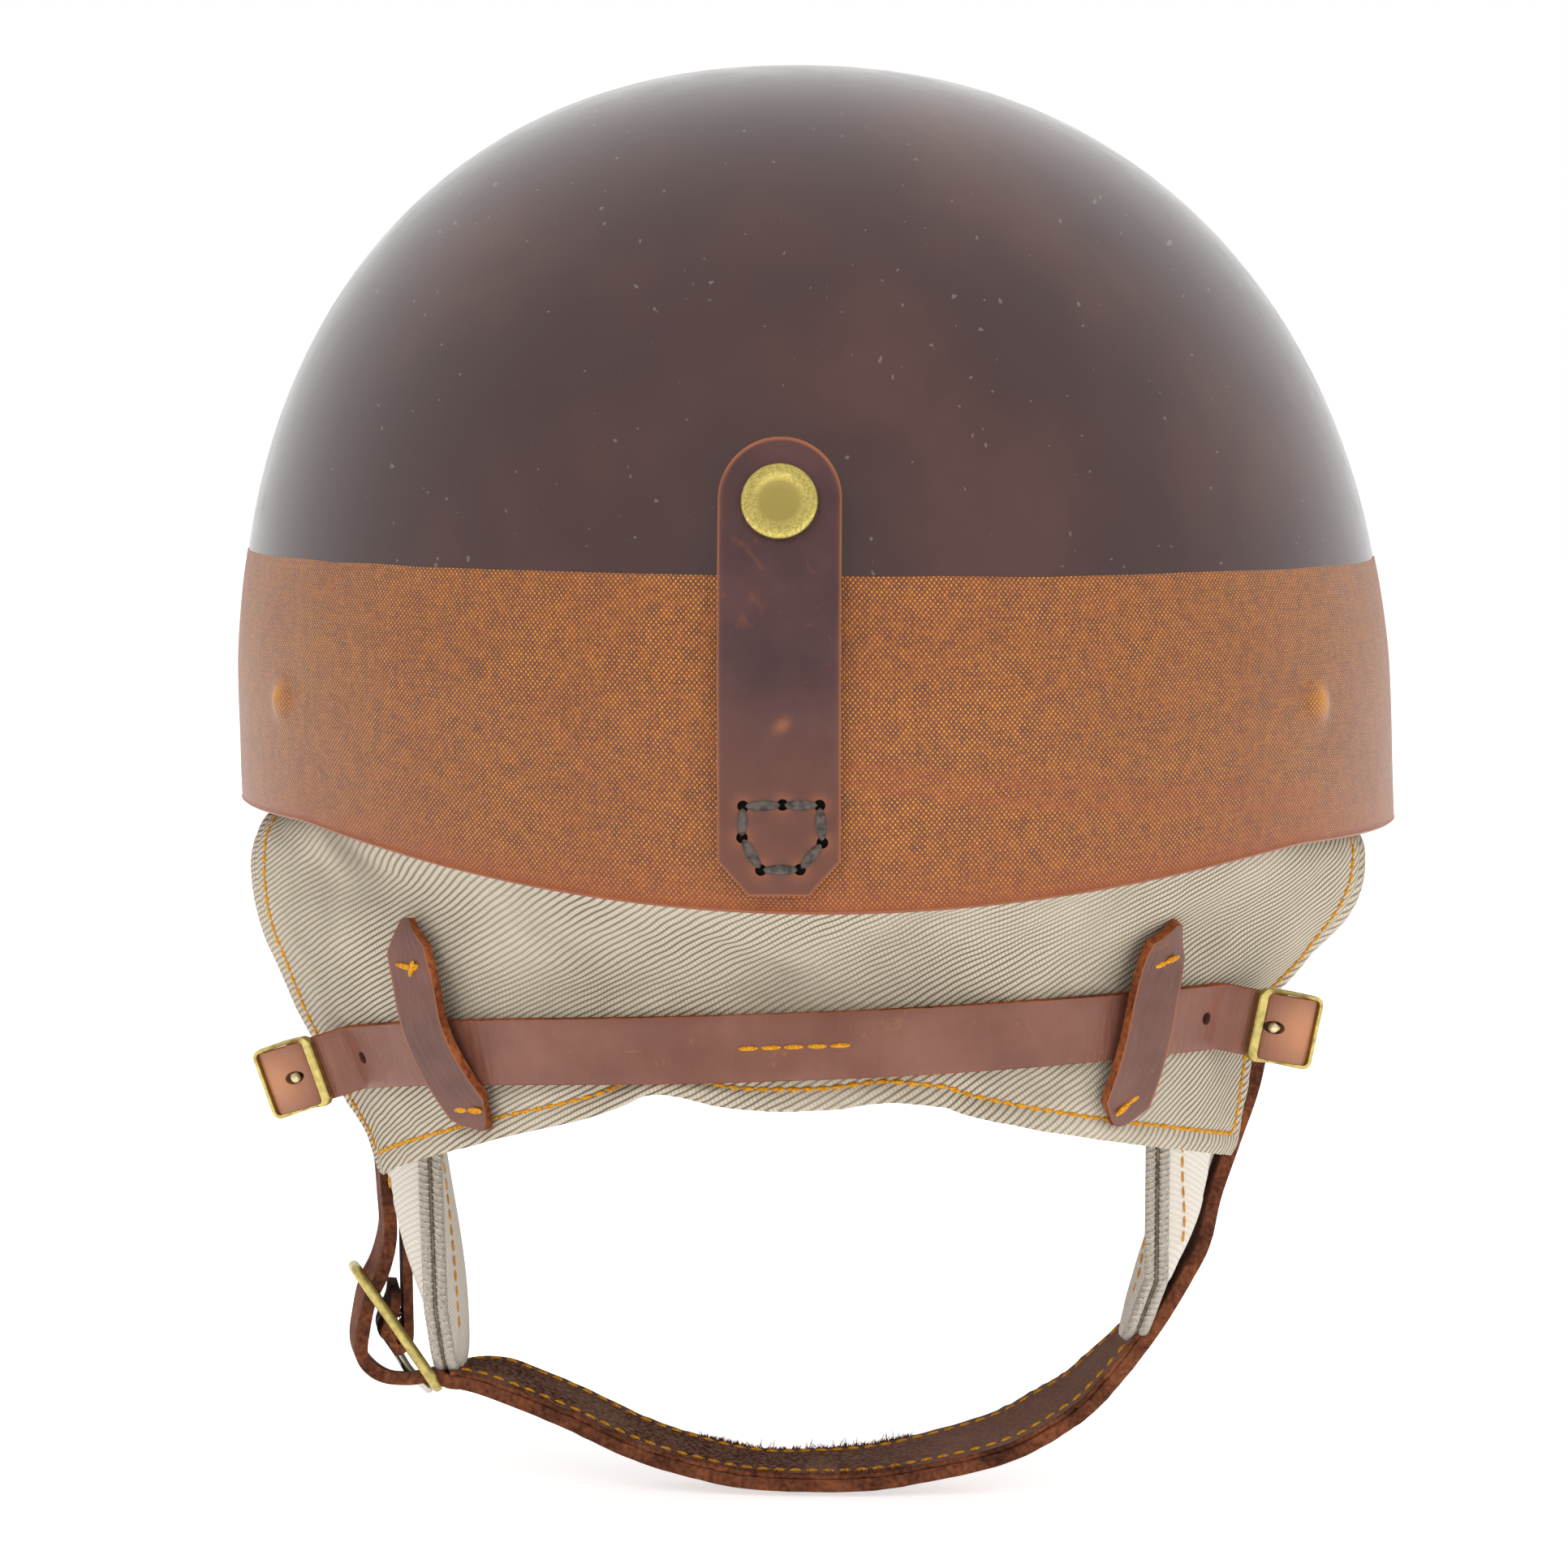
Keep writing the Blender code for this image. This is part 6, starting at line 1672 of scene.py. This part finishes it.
def rounded_loop(low_x, high_x, half_wide, corner):
    """Points of a rounded rectangle, the same count for every size."""
    loop = []
    for x, y, start in (
        (high_x - corner, half_wide - corner, 0),
        (low_x + corner, half_wide - corner, 90),
        (low_x + corner, corner - half_wide, 180),
        (high_x - corner, corner - half_wide, 270),
    ):
        for degrees in range(0, 91, 15):
            turn = radians(start + degrees)
            loop.append(Vector((x + corner * cos(turn), y + corner * sin(turn))))
        if start in (0, 180):
            first, last = loop[-1], Vector((-loop[-1].x, loop[-1].y))
            last.x = low_x + corner if start == 0 else high_x - corner
            loop += [first.lerp(last, k / 10) for k in range(1, 10)]
    return loop


def stamped_frame(place):
    """A flat brass frame with soft edges, bowed over its centre bar, its inner end the broadest."""
    half_long = NECK_FRAME_HALF_LENGTH
    half_wide = NECK_FRAME_HALF_WIDTH
    outer = rounded_loop(-half_long, half_long, half_wide, NECK_FRAME_CORNER)
    inner = rounded_loop(
        NECK_FRAME_BROAD_END - half_long,
        half_long - NECK_FRAME_NARROW_END,
        half_wide - NECK_FRAME_SIDE,
        NECK_FRAME_CORNER / 2,
    )
    ring_shares = ((0.0, 0.5), (0.0, 0.85), (0.12, 1.0), (0.88, 1.0), (1.0, 0.85), (1.0, 0.5))
    ring_shares += ((1.0, 0.15), (0.88, 0.0), (0.12, 0.0), (0.0, 0.15))
    verts, faces = [], []
    count = len(ring_shares)
    for edge, window in zip(outer, inner):
        for share, height in ring_shares:
            spot = edge.lerp(window, share)
            bow = NECK_BUCKLE_BOW * 0.8 * cos(pi / 2 * min(1.0, abs(spot.x) / (half_long - MM))) ** 2
            z = END_BAR_LIFT + NECK_FRAME_THICKNESS * (height - 0.5) - bow
            verts.append(place @ Vector((spot.x, spot.y, z)))
    total = len(outer)
    for i in range(total):
        for k in range(count):
            a, b = i * count + k, i * count + (k + 1) % count
            c, d = ((i + 1) % total) * count + (k + 1) % count, ((i + 1) % total) * count + k
            faces.append((a, b, c, d))
    bpy.ops.mesh.primitive_plane_add(size=1)
    piece = bpy.context.object
    mesh = bpy.data.meshes.new("frame")
    mesh.from_pydata(verts, [], faces)
    piece.data = mesh
    weld(piece, MM / 1000)
    ends = [place @ Vector((0, side * (half_wide - 0.7 * MM), -CENTRE_BAR_DROP)) for side in (-1, 1)]
    return joined([piece, tube(ends, CENTRE_BAR_RADIUS, sides=6)])


def make_neck_buckle(side, name):
    """A neck buckle's frame with its centre bar."""
    piece = stamped_frame(neck_buckle_place(side))
    dress(piece, f"brass_buckle_{name}", [BRASS], 40)
    set_on(piece, "helmet", "aged_brass", f"neck_buckle_{name}")


def make_neck_prong(side, name):
    """A neck buckle's prong, through the strap's end hole."""
    place = neck_buckle_place(side)
    tip_z = STRAP_OVER + NECK_STRAP_THICKNESS / 2 + 0.5 * MM
    tip = (neck_prong_tip(side), 0, tip_z)
    piece = prong_tongue(
        place, CENTRE_BAR_RADIUS, CENTRE_BAR_DROP, PRONG_RADIUS, tip, PRONG_BALL_RADIUS
    )
    dress(piece, f"brass_prong_{name}", [PRONG_BRASS], 60)
    set_on(piece, f"neck_prong_{name}", "aged_brass", f"neck_prong_{name}")


def make_chape(side, name):
    """Leather folded round the centre bar, its two ends lying flat on each other."""
    place = neck_buckle_place(side)
    eye = CENTRE_BAR_RADIUS + BAND_GAP + CHAPE_THICKNESS / 2
    leg = CHAPE_BODY / 2 - CHAPE_THICKNESS / 2
    route = [Vector((-CHAPE_LENGTH, leg - CHAPE_DIP)), Vector((-6 * MM, leg - 1.3 * MM))]
    route.append(Vector((-2.6 * MM, leg + 0.2 * MM)))
    for degrees in range(120, -121, -30):
        route.append(Vector((eye * cos(radians(degrees)), eye * sin(radians(degrees)))))
    route.append(Vector((-2.6 * MM, -leg - 0.2 * MM)))
    route += [Vector((-6 * MM, -leg - 1.3 * MM)), Vector((-CHAPE_LENGTH, -leg - CHAPE_DIP))]
    route = smooth_route(route, 5)

    def bend(across, along):
        spot = pick(route, (along + 1) / 2)
        return place @ Vector((spot.x, across * CHAPE_REACH, spot.y - CENTRE_BAR_DROP))

    piece = bent_sheet(6, len(route) - 1, bend, (CHAPE_WIDTH, 30 * MM), CHAPE_THICKNESS, 0.25 * MM)
    dress(piece, f"buckle_fold_{name}", [STRAP_LEATHER, EDGE], 40)
    set_on(piece, "helmet", "chestnut_leather", f"buckle_chape_{name}")


# Ear flaps


def flap_profile(z, side):
    """Front and rear edge and puff of a flap at height z."""
    tip_z = flap_tip_z(side)
    split = SWING_Z + SWING_RADIUS / 2
    neck = FLAP_NECK_HALF_LENGTH
    if z > split:
        share = max(0.0, FLAP_TOP_Z - z) / (FLAP_TOP_Z - split)
        front = FLAP_TOP_FRONT_Y + (-neck - FLAP_TOP_FRONT_Y) * share
        rear = FLAP_TOP_REAR_Y + (neck - FLAP_TOP_REAR_Y) * share
        return front, rear, share**0.6
    share = min(1.0, (split - z) / (split - tip_z))
    reach = neck + (FLAP_TIP_HALF_LENGTH * 1.25 - neck) * share**1.1
    rounding = (1 - max(0.0, (share - 0.86) / 0.14) ** 2) ** 0.5 if share < 1 else 0.0
    reach *= max(0.02, rounding)
    return -reach, reach, 1 - 0.6 * share**4


def flap_point(side, turn, z, spread=1.0):
    """A point of the flap's skin; turn runs once round, 0 at the rear seam, pi / 2 outside."""
    front, rear, puff = flap_profile(z, side)
    y = (front + rear) / 2 + (rear - front) / 2 * cos(turn)
    edge = FLAP_EDGE_THICKNESS / 2
    lens = abs(sin(turn)) ** 1.15
    beyond = max(0.0, abs(y) - FLAP_SHOULDER_Y)
    if sin(turn) > 0:
        height, more, level = FLAP_FACE_LEFT if side > 0 else FLAP_FACE_RIGHT
        height = (height + more * exp(-(((z / MM + level) / 10) ** 2))) * MM
        shoulder = height * min(1.0, beyond / FLAP_SHOULDER) ** 0.7
        reach = lens * (edge + (FLAP_OUTER_BULGE + shoulder) * puff)
    else:
        bulge = FLAP_INNER_BULGE - (FLAP_FLATTER_LEFT if side > 0 else FLAP_FLATTER_RIGHT)
        reach = -lens * (edge + bulge * puff)
    middle = flap_middle(side, z)
    plumb = FLAP_PLUMB_LEFT if side > 0 else FLAP_PLUMB_RIGHT
    turned = max(0.0, middle - plumb) * min(1.0, max(0.0, (-30 * MM - z) / (28 * MM)))
    middle -= turned * max(0.0, y / rear) ** 1.3 if rear > 0 else 0.0
    return Vector((side * (middle + reach * spread), y, z))


def flap_tip_z(side):
    """Height of a flap's lower tip."""
    return FLAP_TIP_Z_LEFT if side > 0 else FLAP_TIP_Z_RIGHT


def make_ear_flap(side, name):
    """A flap's padded body, from inside the rim to the chin strap."""
    tip_z = flap_tip_z(side)
    rows = 120

    def place(across, along):
        turn = -pi * across
        z = tip_z + (FLAP_TOP_Z - tip_z) * (along + 1) / 2
        point = flap_point(side, turn, z)
        outward = flap_point(side, turn, z, 1.2) - point
        if outward.length < 1e-6:
            return point
        wave = noise.noise(Vector((point.y * 60, z * 45, side * 2 + 5 * (sin(turn) > 0))))
        fine = noise.noise(Vector((point.y * 170, z * 60, 7.0)))
        fade = abs(sin(turn))
        tips = exp(-(((z - tip_z) / (22 * MM)) ** 2))
        fan = sin(point.y * 900 + z * 120) * tips * 0.45 * MM
        return point + outward.normalized() * (0.5 * MM * wave + 0.15 * MM * fine + fan) * fade

    bpy.ops.object.select_all(action="DESELECT")
    bpy.ops.mesh.primitive_grid_add(x_subdivisions=72, y_subdivisions=rows, size=2)
    piece = bpy.context.object
    corners = piece.data.uv_layers.active.data
    for loop in piece.data.loops:
        spot = piece.data.vertices[loop.vertex_index].co
        z = tip_z + (FLAP_TOP_Z - tip_z) * (spot.y + 1) / 2
        front, rear, _ = flap_profile(z, side)
        y = (front + rear) / 2 + (rear - front) / 2 * cos(pi * spot.x)
        corners[loop.index].uv = (y if spot.x < 0 else -y, z)
    for vertex in piece.data.vertices:
        vertex.co = place(vertex.co.x, vertex.co.y)
    weld(piece, 0.02 * MM)
    bpy.ops.object.mode_set(mode="EDIT")
    bpy.ops.mesh.select_all(action="DESELECT")
    bpy.ops.mesh.select_mode(type="VERT")
    bpy.ops.mesh.select_non_manifold()
    bpy.ops.mesh.edge_face_add()
    bpy.ops.mesh.select_all(action="SELECT")
    bpy.ops.mesh.normals_make_consistent(inside=False)
    bpy.ops.object.mode_set(mode="OBJECT")
    dress(piece, f"ear_flap_pad_{name}", [PALE_TWILL], 60)
    blend_on(piece, "pale_twill", f"ear_flap_{name}", f"ear_tongue_{name}")


def blend_on(piece, slot, *nodes):
    """Bakes a cloth or leather piece's placement into its mesh, in place of its nodes; the slot is not
    used.
    """
    if nodes:
        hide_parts(*nodes)
    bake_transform(piece)


def seam_heights(side):
    """Heights along a flap's rear seam, from just above its tip to inside the curtain."""
    tip_z = flap_tip_z(side)
    return [tip_z + 1.5 * MM + (-20 * MM - tip_z) * i / 70 for i in range(71)]


def make_flap_seam(side, name):
    """The rear seam's two rolled edges with the overcast stitches round them."""
    ridges = []
    lines = []
    for shift in (-FLAP_RIDGE_SHIFT, FLAP_RIDGE_SHIFT):
        points = []
        for z in seam_heights(side):
            point = flap_point(side, 0.0, z)
            points.append(point + Vector((side * shift, -0.2 * MM, 0)))
        ridges.append(tube(points, FLAP_RIDGE_RADIUS, sides=3))
        lines.append(points)
    piece = joined(ridges)
    dress(piece, f"flap_seam_{name}", [PALE_TWILL], 60)
    blend_on(piece, "pale_twill")
    places = []
    for points in lines:
        travelled = 0.0
        for start, end in zip(points, points[1:]):
            travelled += (end - start).length
            if travelled > OVERCAST_PITCH:
                travelled = 0.0
                slant = (end - start).normalized() * 0.45 + Vector((side, 0, 0))
                places.append(frame_at(start + Vector((0, 0.75 * MM, 0)), slant, (0, 1, 0)))
    piece = copies(bean(2.5 * MM, 0.85 * MM, 1.3 * MM), places)
    dress(piece, f"flap_overcast_{name}", [CREAM], 180)
    blend_on(piece, "pale_twill")


def make_flap_groove(side, name):
    """A dark thread lying between the rear seam's two edges: painted shade in the seam's groove."""
    groove = [flap_point(side, 0.0, z) + Vector((0, 0.55 * MM, 0)) for z in seam_heights(side)]
    piece = tube(groove, FLAP_GROOVE_RADIUS, sides=2)
    dress(piece, f"flap_groove_{name}", [SEAM_SHADE], 60)
    blend_on(piece, "pale_twill")


def make_flap_stitches(side, name):
    """A row of stitches on each face of a flap."""
    tip_z = flap_tip_z(side)
    runs = []
    outer = (0.75, tip_z + 40 * MM, -25 * MM) if side > 0 else (0.42, tip_z + 22 * MM, -25 * MM)
    for turn, low, high in (outer, (-0.95, tip_z + 10 * MM, -25 * MM)):
        run = []
        for i in range(60):
            z = low + (high - low) * i / 59
            point = flap_point(side, turn, z)
            out = flap_point(side, turn, z, 1.3) - point
            out = out + Vector((0, 0.3 * out.length, 0))
            run.append((point + out.normalized() * 0.25 * MM, out))
        runs.append(run)
    piece = seam(f"flap_stitches_{name}", runs, FLAP_STITCH, THREAD)
    blend_on(piece, "pale_twill")


# Chin harness


def chin_roll(x):
    """How far the strap is turned about its own length at x, its inner face to the rear."""
    for (start, low), (end, high) in zip(CHIN_TURNS, CHIN_TURNS[1:]):
        if x < end * MM:
            share = min(1.0, max(0.0, (x / MM - start) / (end - start)))
            return radians(low + (high - low) * share)
    return radians(CHIN_TURNS[-1][1])


def rolled(route, k, y):
    """A point of a strap's centre surface, y from its middle line, turned by its roll; where its
    inner face looks to the rear, its rear edge keeps its place."""
    ahead = route[min(k + 1, len(route) - 1)] - route[max(k - 1, 0)]
    inward = Vector((-ahead.y, ahead.x)).normalized()
    if inward.x * route[k].x + inward.y * (route[k].y - SWING_Z) > 0:
        inward = -inward
    roll = chin_roll(route[k].x)
    still = CHIN_STILL_EDGE if roll > 0 else 0.0
    spot = route[k] - inward * ((y - still) * sin(roll))
    return Vector((spot.x, y, spot.y))


def ribbon(route, width, thickness, edge, ragged):
    """A strap whose centre line runs through route, (x, z) vectors, with its width along Y."""
    last = len(route) - 1
    length = sum((b - a).length for a, b in zip(route, route[1:]))

    def place(across, along):
        k = round((along + 1) / 2 * last)
        y = across * width / 2
        if abs(across) > 0.99:
            y += ragged * noise.noise(Vector((k * 0.8, across * 3, 0)))
        return rolled(route, k, y)

    piece = bent_sheet(8, last, place, (width, length), thickness, edge)
    turn_map(piece)
    return piece


# In mm: the strap's loop over the buckle's centre bar, along and out of the frame, and its tail
CHIN_LOOP = (
    (-15.6, -4.0),
    (-13.2, -1.9),
    (-11.2, 2.8),
    (-7.6, 7.6),
    (-3.0, 9.4),
    (1.0, 8.6),
    (5.0, 5.2),
    (9.3, 0.6),
    (12.6, -4.9),
)
CHIN_TAIL = ((89.5, -90), (89.8, -83), (90.3, -76), (91.2, -67))


def chin_route():
    """Route of the chin strap from the right hanger's top to its tail above the buckle."""
    place = chin_frame()
    clear = SEW_GAP + CHIN_STRAP_THICKNESS / 2
    points = []
    for i in range(6):
        z = HANGER_TOP_Z + (SWING_Z - HANGER_TOP_Z) * i / 5
        x = flap_side(-1, z, clear) - HANGER_SET_IN * min(1.0, i / 3) + HANGER_SET_OUT
        points.append(Vector((x, z)))
    for x_share, z_share in CHIN_ROUTE_SHARES:
        points.append(Vector((x_share * CHIN_HALF_SPAN, -z_share * CHIN_DEPTH)))
    for x, out in CHIN_LOOP:
        point = place @ Vector((x * MM, 0, out * MM))
        points.append(Vector((point.x, point.z)))
    for x, z in CHIN_TAIL:
        points.append(Vector((x * MM, z * MM)))
    return points


def lining_route(route):
    """Route of the suede on the strap's inner face."""
    lift = (CHIN_STRAP_THICKNESS + CHIN_LINING_THICKNESS) / 2 + 0.05 * MM
    inner = []
    for k in range(LINING_FIRST_SPAN * ROUTE_STEPS, LINING_LAST_SPAN * ROUTE_STEPS + 1):
        run = (route[k + 1] - route[k - 1]).normalized()
        inner.append(route[k] + Vector((-run.y, run.x)) * lift)
    return inner


def make_chin_strap(route):
    """Chin strap and right hanger in one leather, with the hole for the chin prong."""
    piece = ribbon(route, CHIN_STRAP_WIDTH, CHIN_STRAP_THICKNESS, 0.7 * MM, 0.5 * MM)
    hole = chin_frame() @ Matrix.Translation((-6 * MM, 0, 0))
    cut_by(piece, rod(CHIN_HOLE_RADIUS, 30 * MM, hole))
    dress(piece, "chin_strap_leather", [WORN_EDGE, WORN_EDGE], 50)
    blend_on(piece, "chestnut_leather", "chin_strap", "strap_hanger_right")


def make_chin_lining(inner):
    """The suede lining, rubbed paler towards its right half."""
    piece = ribbon(inner, CHIN_STRAP_WIDTH, CHIN_LINING_THICKNESS, 0.5 * MM, 0.9 * MM)
    paint(piece, "wear_and_sheen", lambda p: min(0.7, max(0.0, (8 * MM - p.x) / (60 * MM))))
    dress(piece, "chin_strap_suede", [SUEDE, WORN_EDGE], 50)
    set_on(piece, "chin_harness", "dark_suede", "chin_strap_lining")


def make_chin_stitches(inner):
    """Two rows of stitches through strap and lining, seen on both faces."""
    rows = []
    for y in (-CHIN_STITCH_ROW, CHIN_STITCH_ROW):
        for face in (CHIN_LINING_THICKNESS / 2, -CHIN_STRAP_THICKNESS - CHIN_LINING_THICKNESS / 2):
            run = []
            for k in range(1, len(inner) - 1):
                ahead = (inner[k + 1] - inner[k - 1]).normalized()
                out = Vector((-ahead.y, 0, ahead.x))
                out = Matrix.Rotation(chin_roll(inner[k].x), 3, Vector((ahead.x, 0, ahead.y))) @ out
                run.append((rolled(inner, k, y) + out * face, out * (1 if face > 0 else -1)))
            rows.append(run)
    piece = seam("chin_strap_stitches", rows, CHIN_STITCH, THREAD, "chin_harness")


def make_fibres(inner):
    """Loose leather fibres standing up along the strap's edges near its lowest point."""
    chance = random.Random(7)
    bpy.ops.mesh.primitive_cone_add(vertices=4, radius1=0.16 * MM, radius2=0.04 * MM, depth=MM)
    pattern = bpy.context.object
    pattern.data.transform(Matrix.Translation((0, 0, 0.5 * MM)))
    places = []
    low = [k for k, p in enumerate(inner) if -20 * MM < p.x < 26 * MM]
    for _ in range(FIBRE_COUNT):
        k = chance.choice(low)
        edge = chance.choice((-1, 1, -1))
        y = edge * (CHIN_STRAP_WIDTH / 2 - chance.uniform(0.0, 0.8) * MM)
        origin = rolled(inner, k, y) + Vector((chance.uniform(-MM, MM), 0, 0.3 * MM))
        lean = Vector((chance.gauss(0, 0.5), edge * chance.uniform(0, 0.8), 1)).normalized()
        tall = chance.uniform(0.4, 1.1) if chance.random() < 0.96 else chance.uniform(1.5, 2.4)
        place = frame_at(origin, lean.orthogonal(), lean)
        places.append(place @ Matrix.Diagonal((1, 1, tall, 1)))
    piece = copies(pattern, places)
    dress(piece, "strap_fibres", [WORN_EDGE], 180)
    set_on(piece, "chin_harness", "dark_suede")


def make_short_strap():
    """Strap down the left flap, round the buckle's centre bar and back up on itself."""
    clear = SEW_GAP + SHORT_STRAP_THICKNESS / 2
    points = []
    for i in range(6):
        z = HANGER_TOP_Z + (SWING_Z - HANGER_TOP_Z) * i / 5
        points.append(Vector((flap_side(1, z, clear), z)))
    turn_radius = CHIN_CENTRE_BAR_RADIUS + BAND_GAP + SHORT_STRAP_THICKNESS / 2
    inner_x = CHIN_BUCKLE_X - turn_radius
    start_x = points[-1].x
    for share in (0.4, 0.75):
        z = SWING_Z + (CHIN_BUCKLE_Z - SWING_Z) * share
        points.append(Vector((start_x + (inner_x - start_x) * share, z)))
    for degrees in range(180, 361, 30):
        turn = radians(degrees)
        points.append(
            Vector((CHIN_BUCKLE_X + turn_radius * cos(turn), CHIN_BUCKLE_Z + turn_radius * sin(turn)))
        )
    back_x = inner_x + SHORT_STRAP_THICKNESS + BAND_GAP + FIT_GAP
    points.append(Vector((back_x + FIT_GAP, CHIN_BUCKLE_Z + 2 * turn_radius)))
    points.append(Vector((back_x, CHIN_BUCKLE_Z + 3.4 * turn_radius)))
    route = smooth_route(points, ROUTE_STEPS)
    piece = ribbon(route, SHORT_STRAP_WIDTH, SHORT_STRAP_THICKNESS, 0.5 * MM, 0.4 * MM)
    eye = CHIN_CENTRE_BAR_RADIUS + BAND_GAP + 2 * CHIN_PRONG_RADIUS + FIT_GAP
    bpy.ops.mesh.primitive_cube_add(size=1)
    block = bpy.context.object
    block.data.transform(chin_frame() @ Matrix.Diagonal((2 * eye, 4 * MM, 2 * eye, 1)))
    cut_by(piece, block, crosses=True)
    dress(piece, "buckle_strap_leather", [WORN_EDGE, WORN_EDGE], 50)
    blend_on(piece, "chestnut_leather", "chin_short_strap", "strap_hanger_left")


def chin_buckle_place():
    """The chin buckle's placement, turned about the strap's run as it hangs."""
    return chin_frame() @ Matrix.Rotation(CHIN_BUCKLE_TWIST, 4, "X")


def make_chin_buckle():
    """The chin buckle's wire frame with its centre bar."""
    piece = wire_frame(chin_buckle_place())
    dress(piece, "chin_buckle_brass", [BRASS], 60)
    set_on(piece, "chin_harness", "aged_brass", "chin_buckle")


def make_chin_prong():
    """The chin buckle's steel prong, its tip resting on the frame."""
    tip_x = -(CHIN_BUCKLE_LENGTH / 2 - CHIN_BUCKLE_BAR / 2)
    tip = (tip_x, 0, CHIN_BUCKLE_BAR / 2 + 0.5 * CHIN_PRONG_RADIUS)
    ball = 1.05 * CHIN_PRONG_RADIUS
    place = chin_buckle_place()
    piece = prong_tongue(place, CHIN_CENTRE_BAR_RADIUS, 0.0, CHIN_PRONG_RADIUS, tip, ball)
    dress(piece, "chin_prong_steel", [STEEL], 60)
    set_on(piece, "chin_prong", "plated_steel", "chin_prong")


# Small fittings and stage


def coat_fittings():
    """The rivets and the snap's hidden halves keep their solids' shapes, in aged brass."""
    rivets = [f"harness_rivet_{number}" for number in range(1, len(RIVET_ANGLES) + 1)]
    for name in [*rivets, "snap_socket", "snap_stud"]:
        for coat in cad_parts[name].material_slots:
            coat.material = BRASS


def make_stage():
    """A white floor under white surroundings, three soft lamps and the photograph's camera."""
    world = bpy.data.worlds.new("studio")
    bpy.context.scene.world = world
    world.use_nodes = True
    tree = world.node_tree
    seen = add(tree, "LightPath", take="Is Camera Ray")
    mirrored = add(tree, "LightPath", take="Is Glossy Ray")
    through = add(tree, "LightPath", take="Is Transmission Ray")
    white = add(tree, "Math", {0: seen, 1: mirrored}, operation="MAXIMUM")
    white = add(tree, "Math", {0: white, 1: through}, operation="MAXIMUM")
    strength = add(tree, "MapRange", {0: white, 3: 0.55, 4: 1.0})
    background = tree.nodes["Background"]
    background.inputs["Color"].default_value = (1, 1, 1, 1)
    tree.links.new(strength, background.inputs["Strength"])

    bpy.ops.object.select_all(action="DESELECT")
    bpy.ops.mesh.primitive_plane_add(size=14, location=(0, 0, FLOOR_Z))
    floor = bpy.context.object
    floor.name = "studio_floor"
    material, tree, shader = new_material("white_floor", "ffffff", 0.9)
    seen = add(tree, "LightPath", take="Is Camera Ray")
    mirrored = add(tree, "LightPath", take="Is Glossy Ray")
    white = add(tree, "Math", {0: seen, 1: mirrored}, operation="MAXIMUM")
    glow = add(tree, "MapRange", {0: white, 3: 0.35, 4: 0.62})
    shader["Emission Color"].default_value = (1, 1, 1, 1)
    tree.links.new(glow, shader["Emission Strength"])
    floor.data.materials.append(material)

    for name, spot, size, power in LAMPS:
        data = bpy.data.lights.new(name, "AREA")
        data.size = size
        data.energy = power
        lamp = bpy.data.objects.new(name, data)
        lamp.location = spot
        lamp.visible_glossy = False
        lamp.rotation_euler = (-Vector(spot)).to_track_quat("-Z", "Y").to_euler()
        bpy.context.scene.collection.objects.link(lamp)

    flat = cos(CAMERA_ELEVATION)
    back = Vector((sin(CAMERA_AZIMUTH) * flat, -cos(CAMERA_AZIMUTH) * flat, sin(CAMERA_ELEVATION)))
    data = bpy.data.cameras.new("photo_camera")
    data.sensor_width = 36
    data.lens = CAMERA_LENS
    camera = bpy.data.objects.new("photo_camera", data)
    camera.location = Vector(CAMERA_TARGET) + back * CAMERA_DISTANCE
    camera.rotation_euler = (-back).to_track_quat("-Z", "Y").to_euler()
    bpy.context.scene.collection.objects.link(camera)
    bpy.context.scene.camera = camera
    bpy.context.scene.view_settings.view_transform = "Standard"


def main():
    """Dresses every node, one sub-part after the other."""
    make_shell()
    make_linen_band()
    make_cork()
    make_cradle_band()
    make_headband()
    make_tapes()
    make_crown_lace()
    make_tab()
    make_tab_stitches()
    make_snap_cap()
    curtain = make_curtain()
    stitches = make_hem_stitches()
    make_neck_strap()
    make_keeper(1, "left")
    make_keeper(-1, "right")
    make_keeper_stitches()
    for side, name in ((1, "left"), (-1, "right")):
        make_neck_buckle(side, name)
        make_neck_prong(side, name)
        make_chape(side, name)
        make_ear_flap(side, name)
        make_flap_seam(side, name)
        make_flap_groove(side, name)
        make_flap_stitches(side, name)
    route = smooth_route(chin_route(), ROUTE_STEPS)
    inner = lining_route(route)
    make_chin_strap(route)
    make_chin_lining(inner)
    make_chin_stitches(inner)
    make_fibres(inner)
    make_short_strap()
    make_chin_buckle()
    make_chin_prong()
    coat_fittings()
    make_stage()


main()
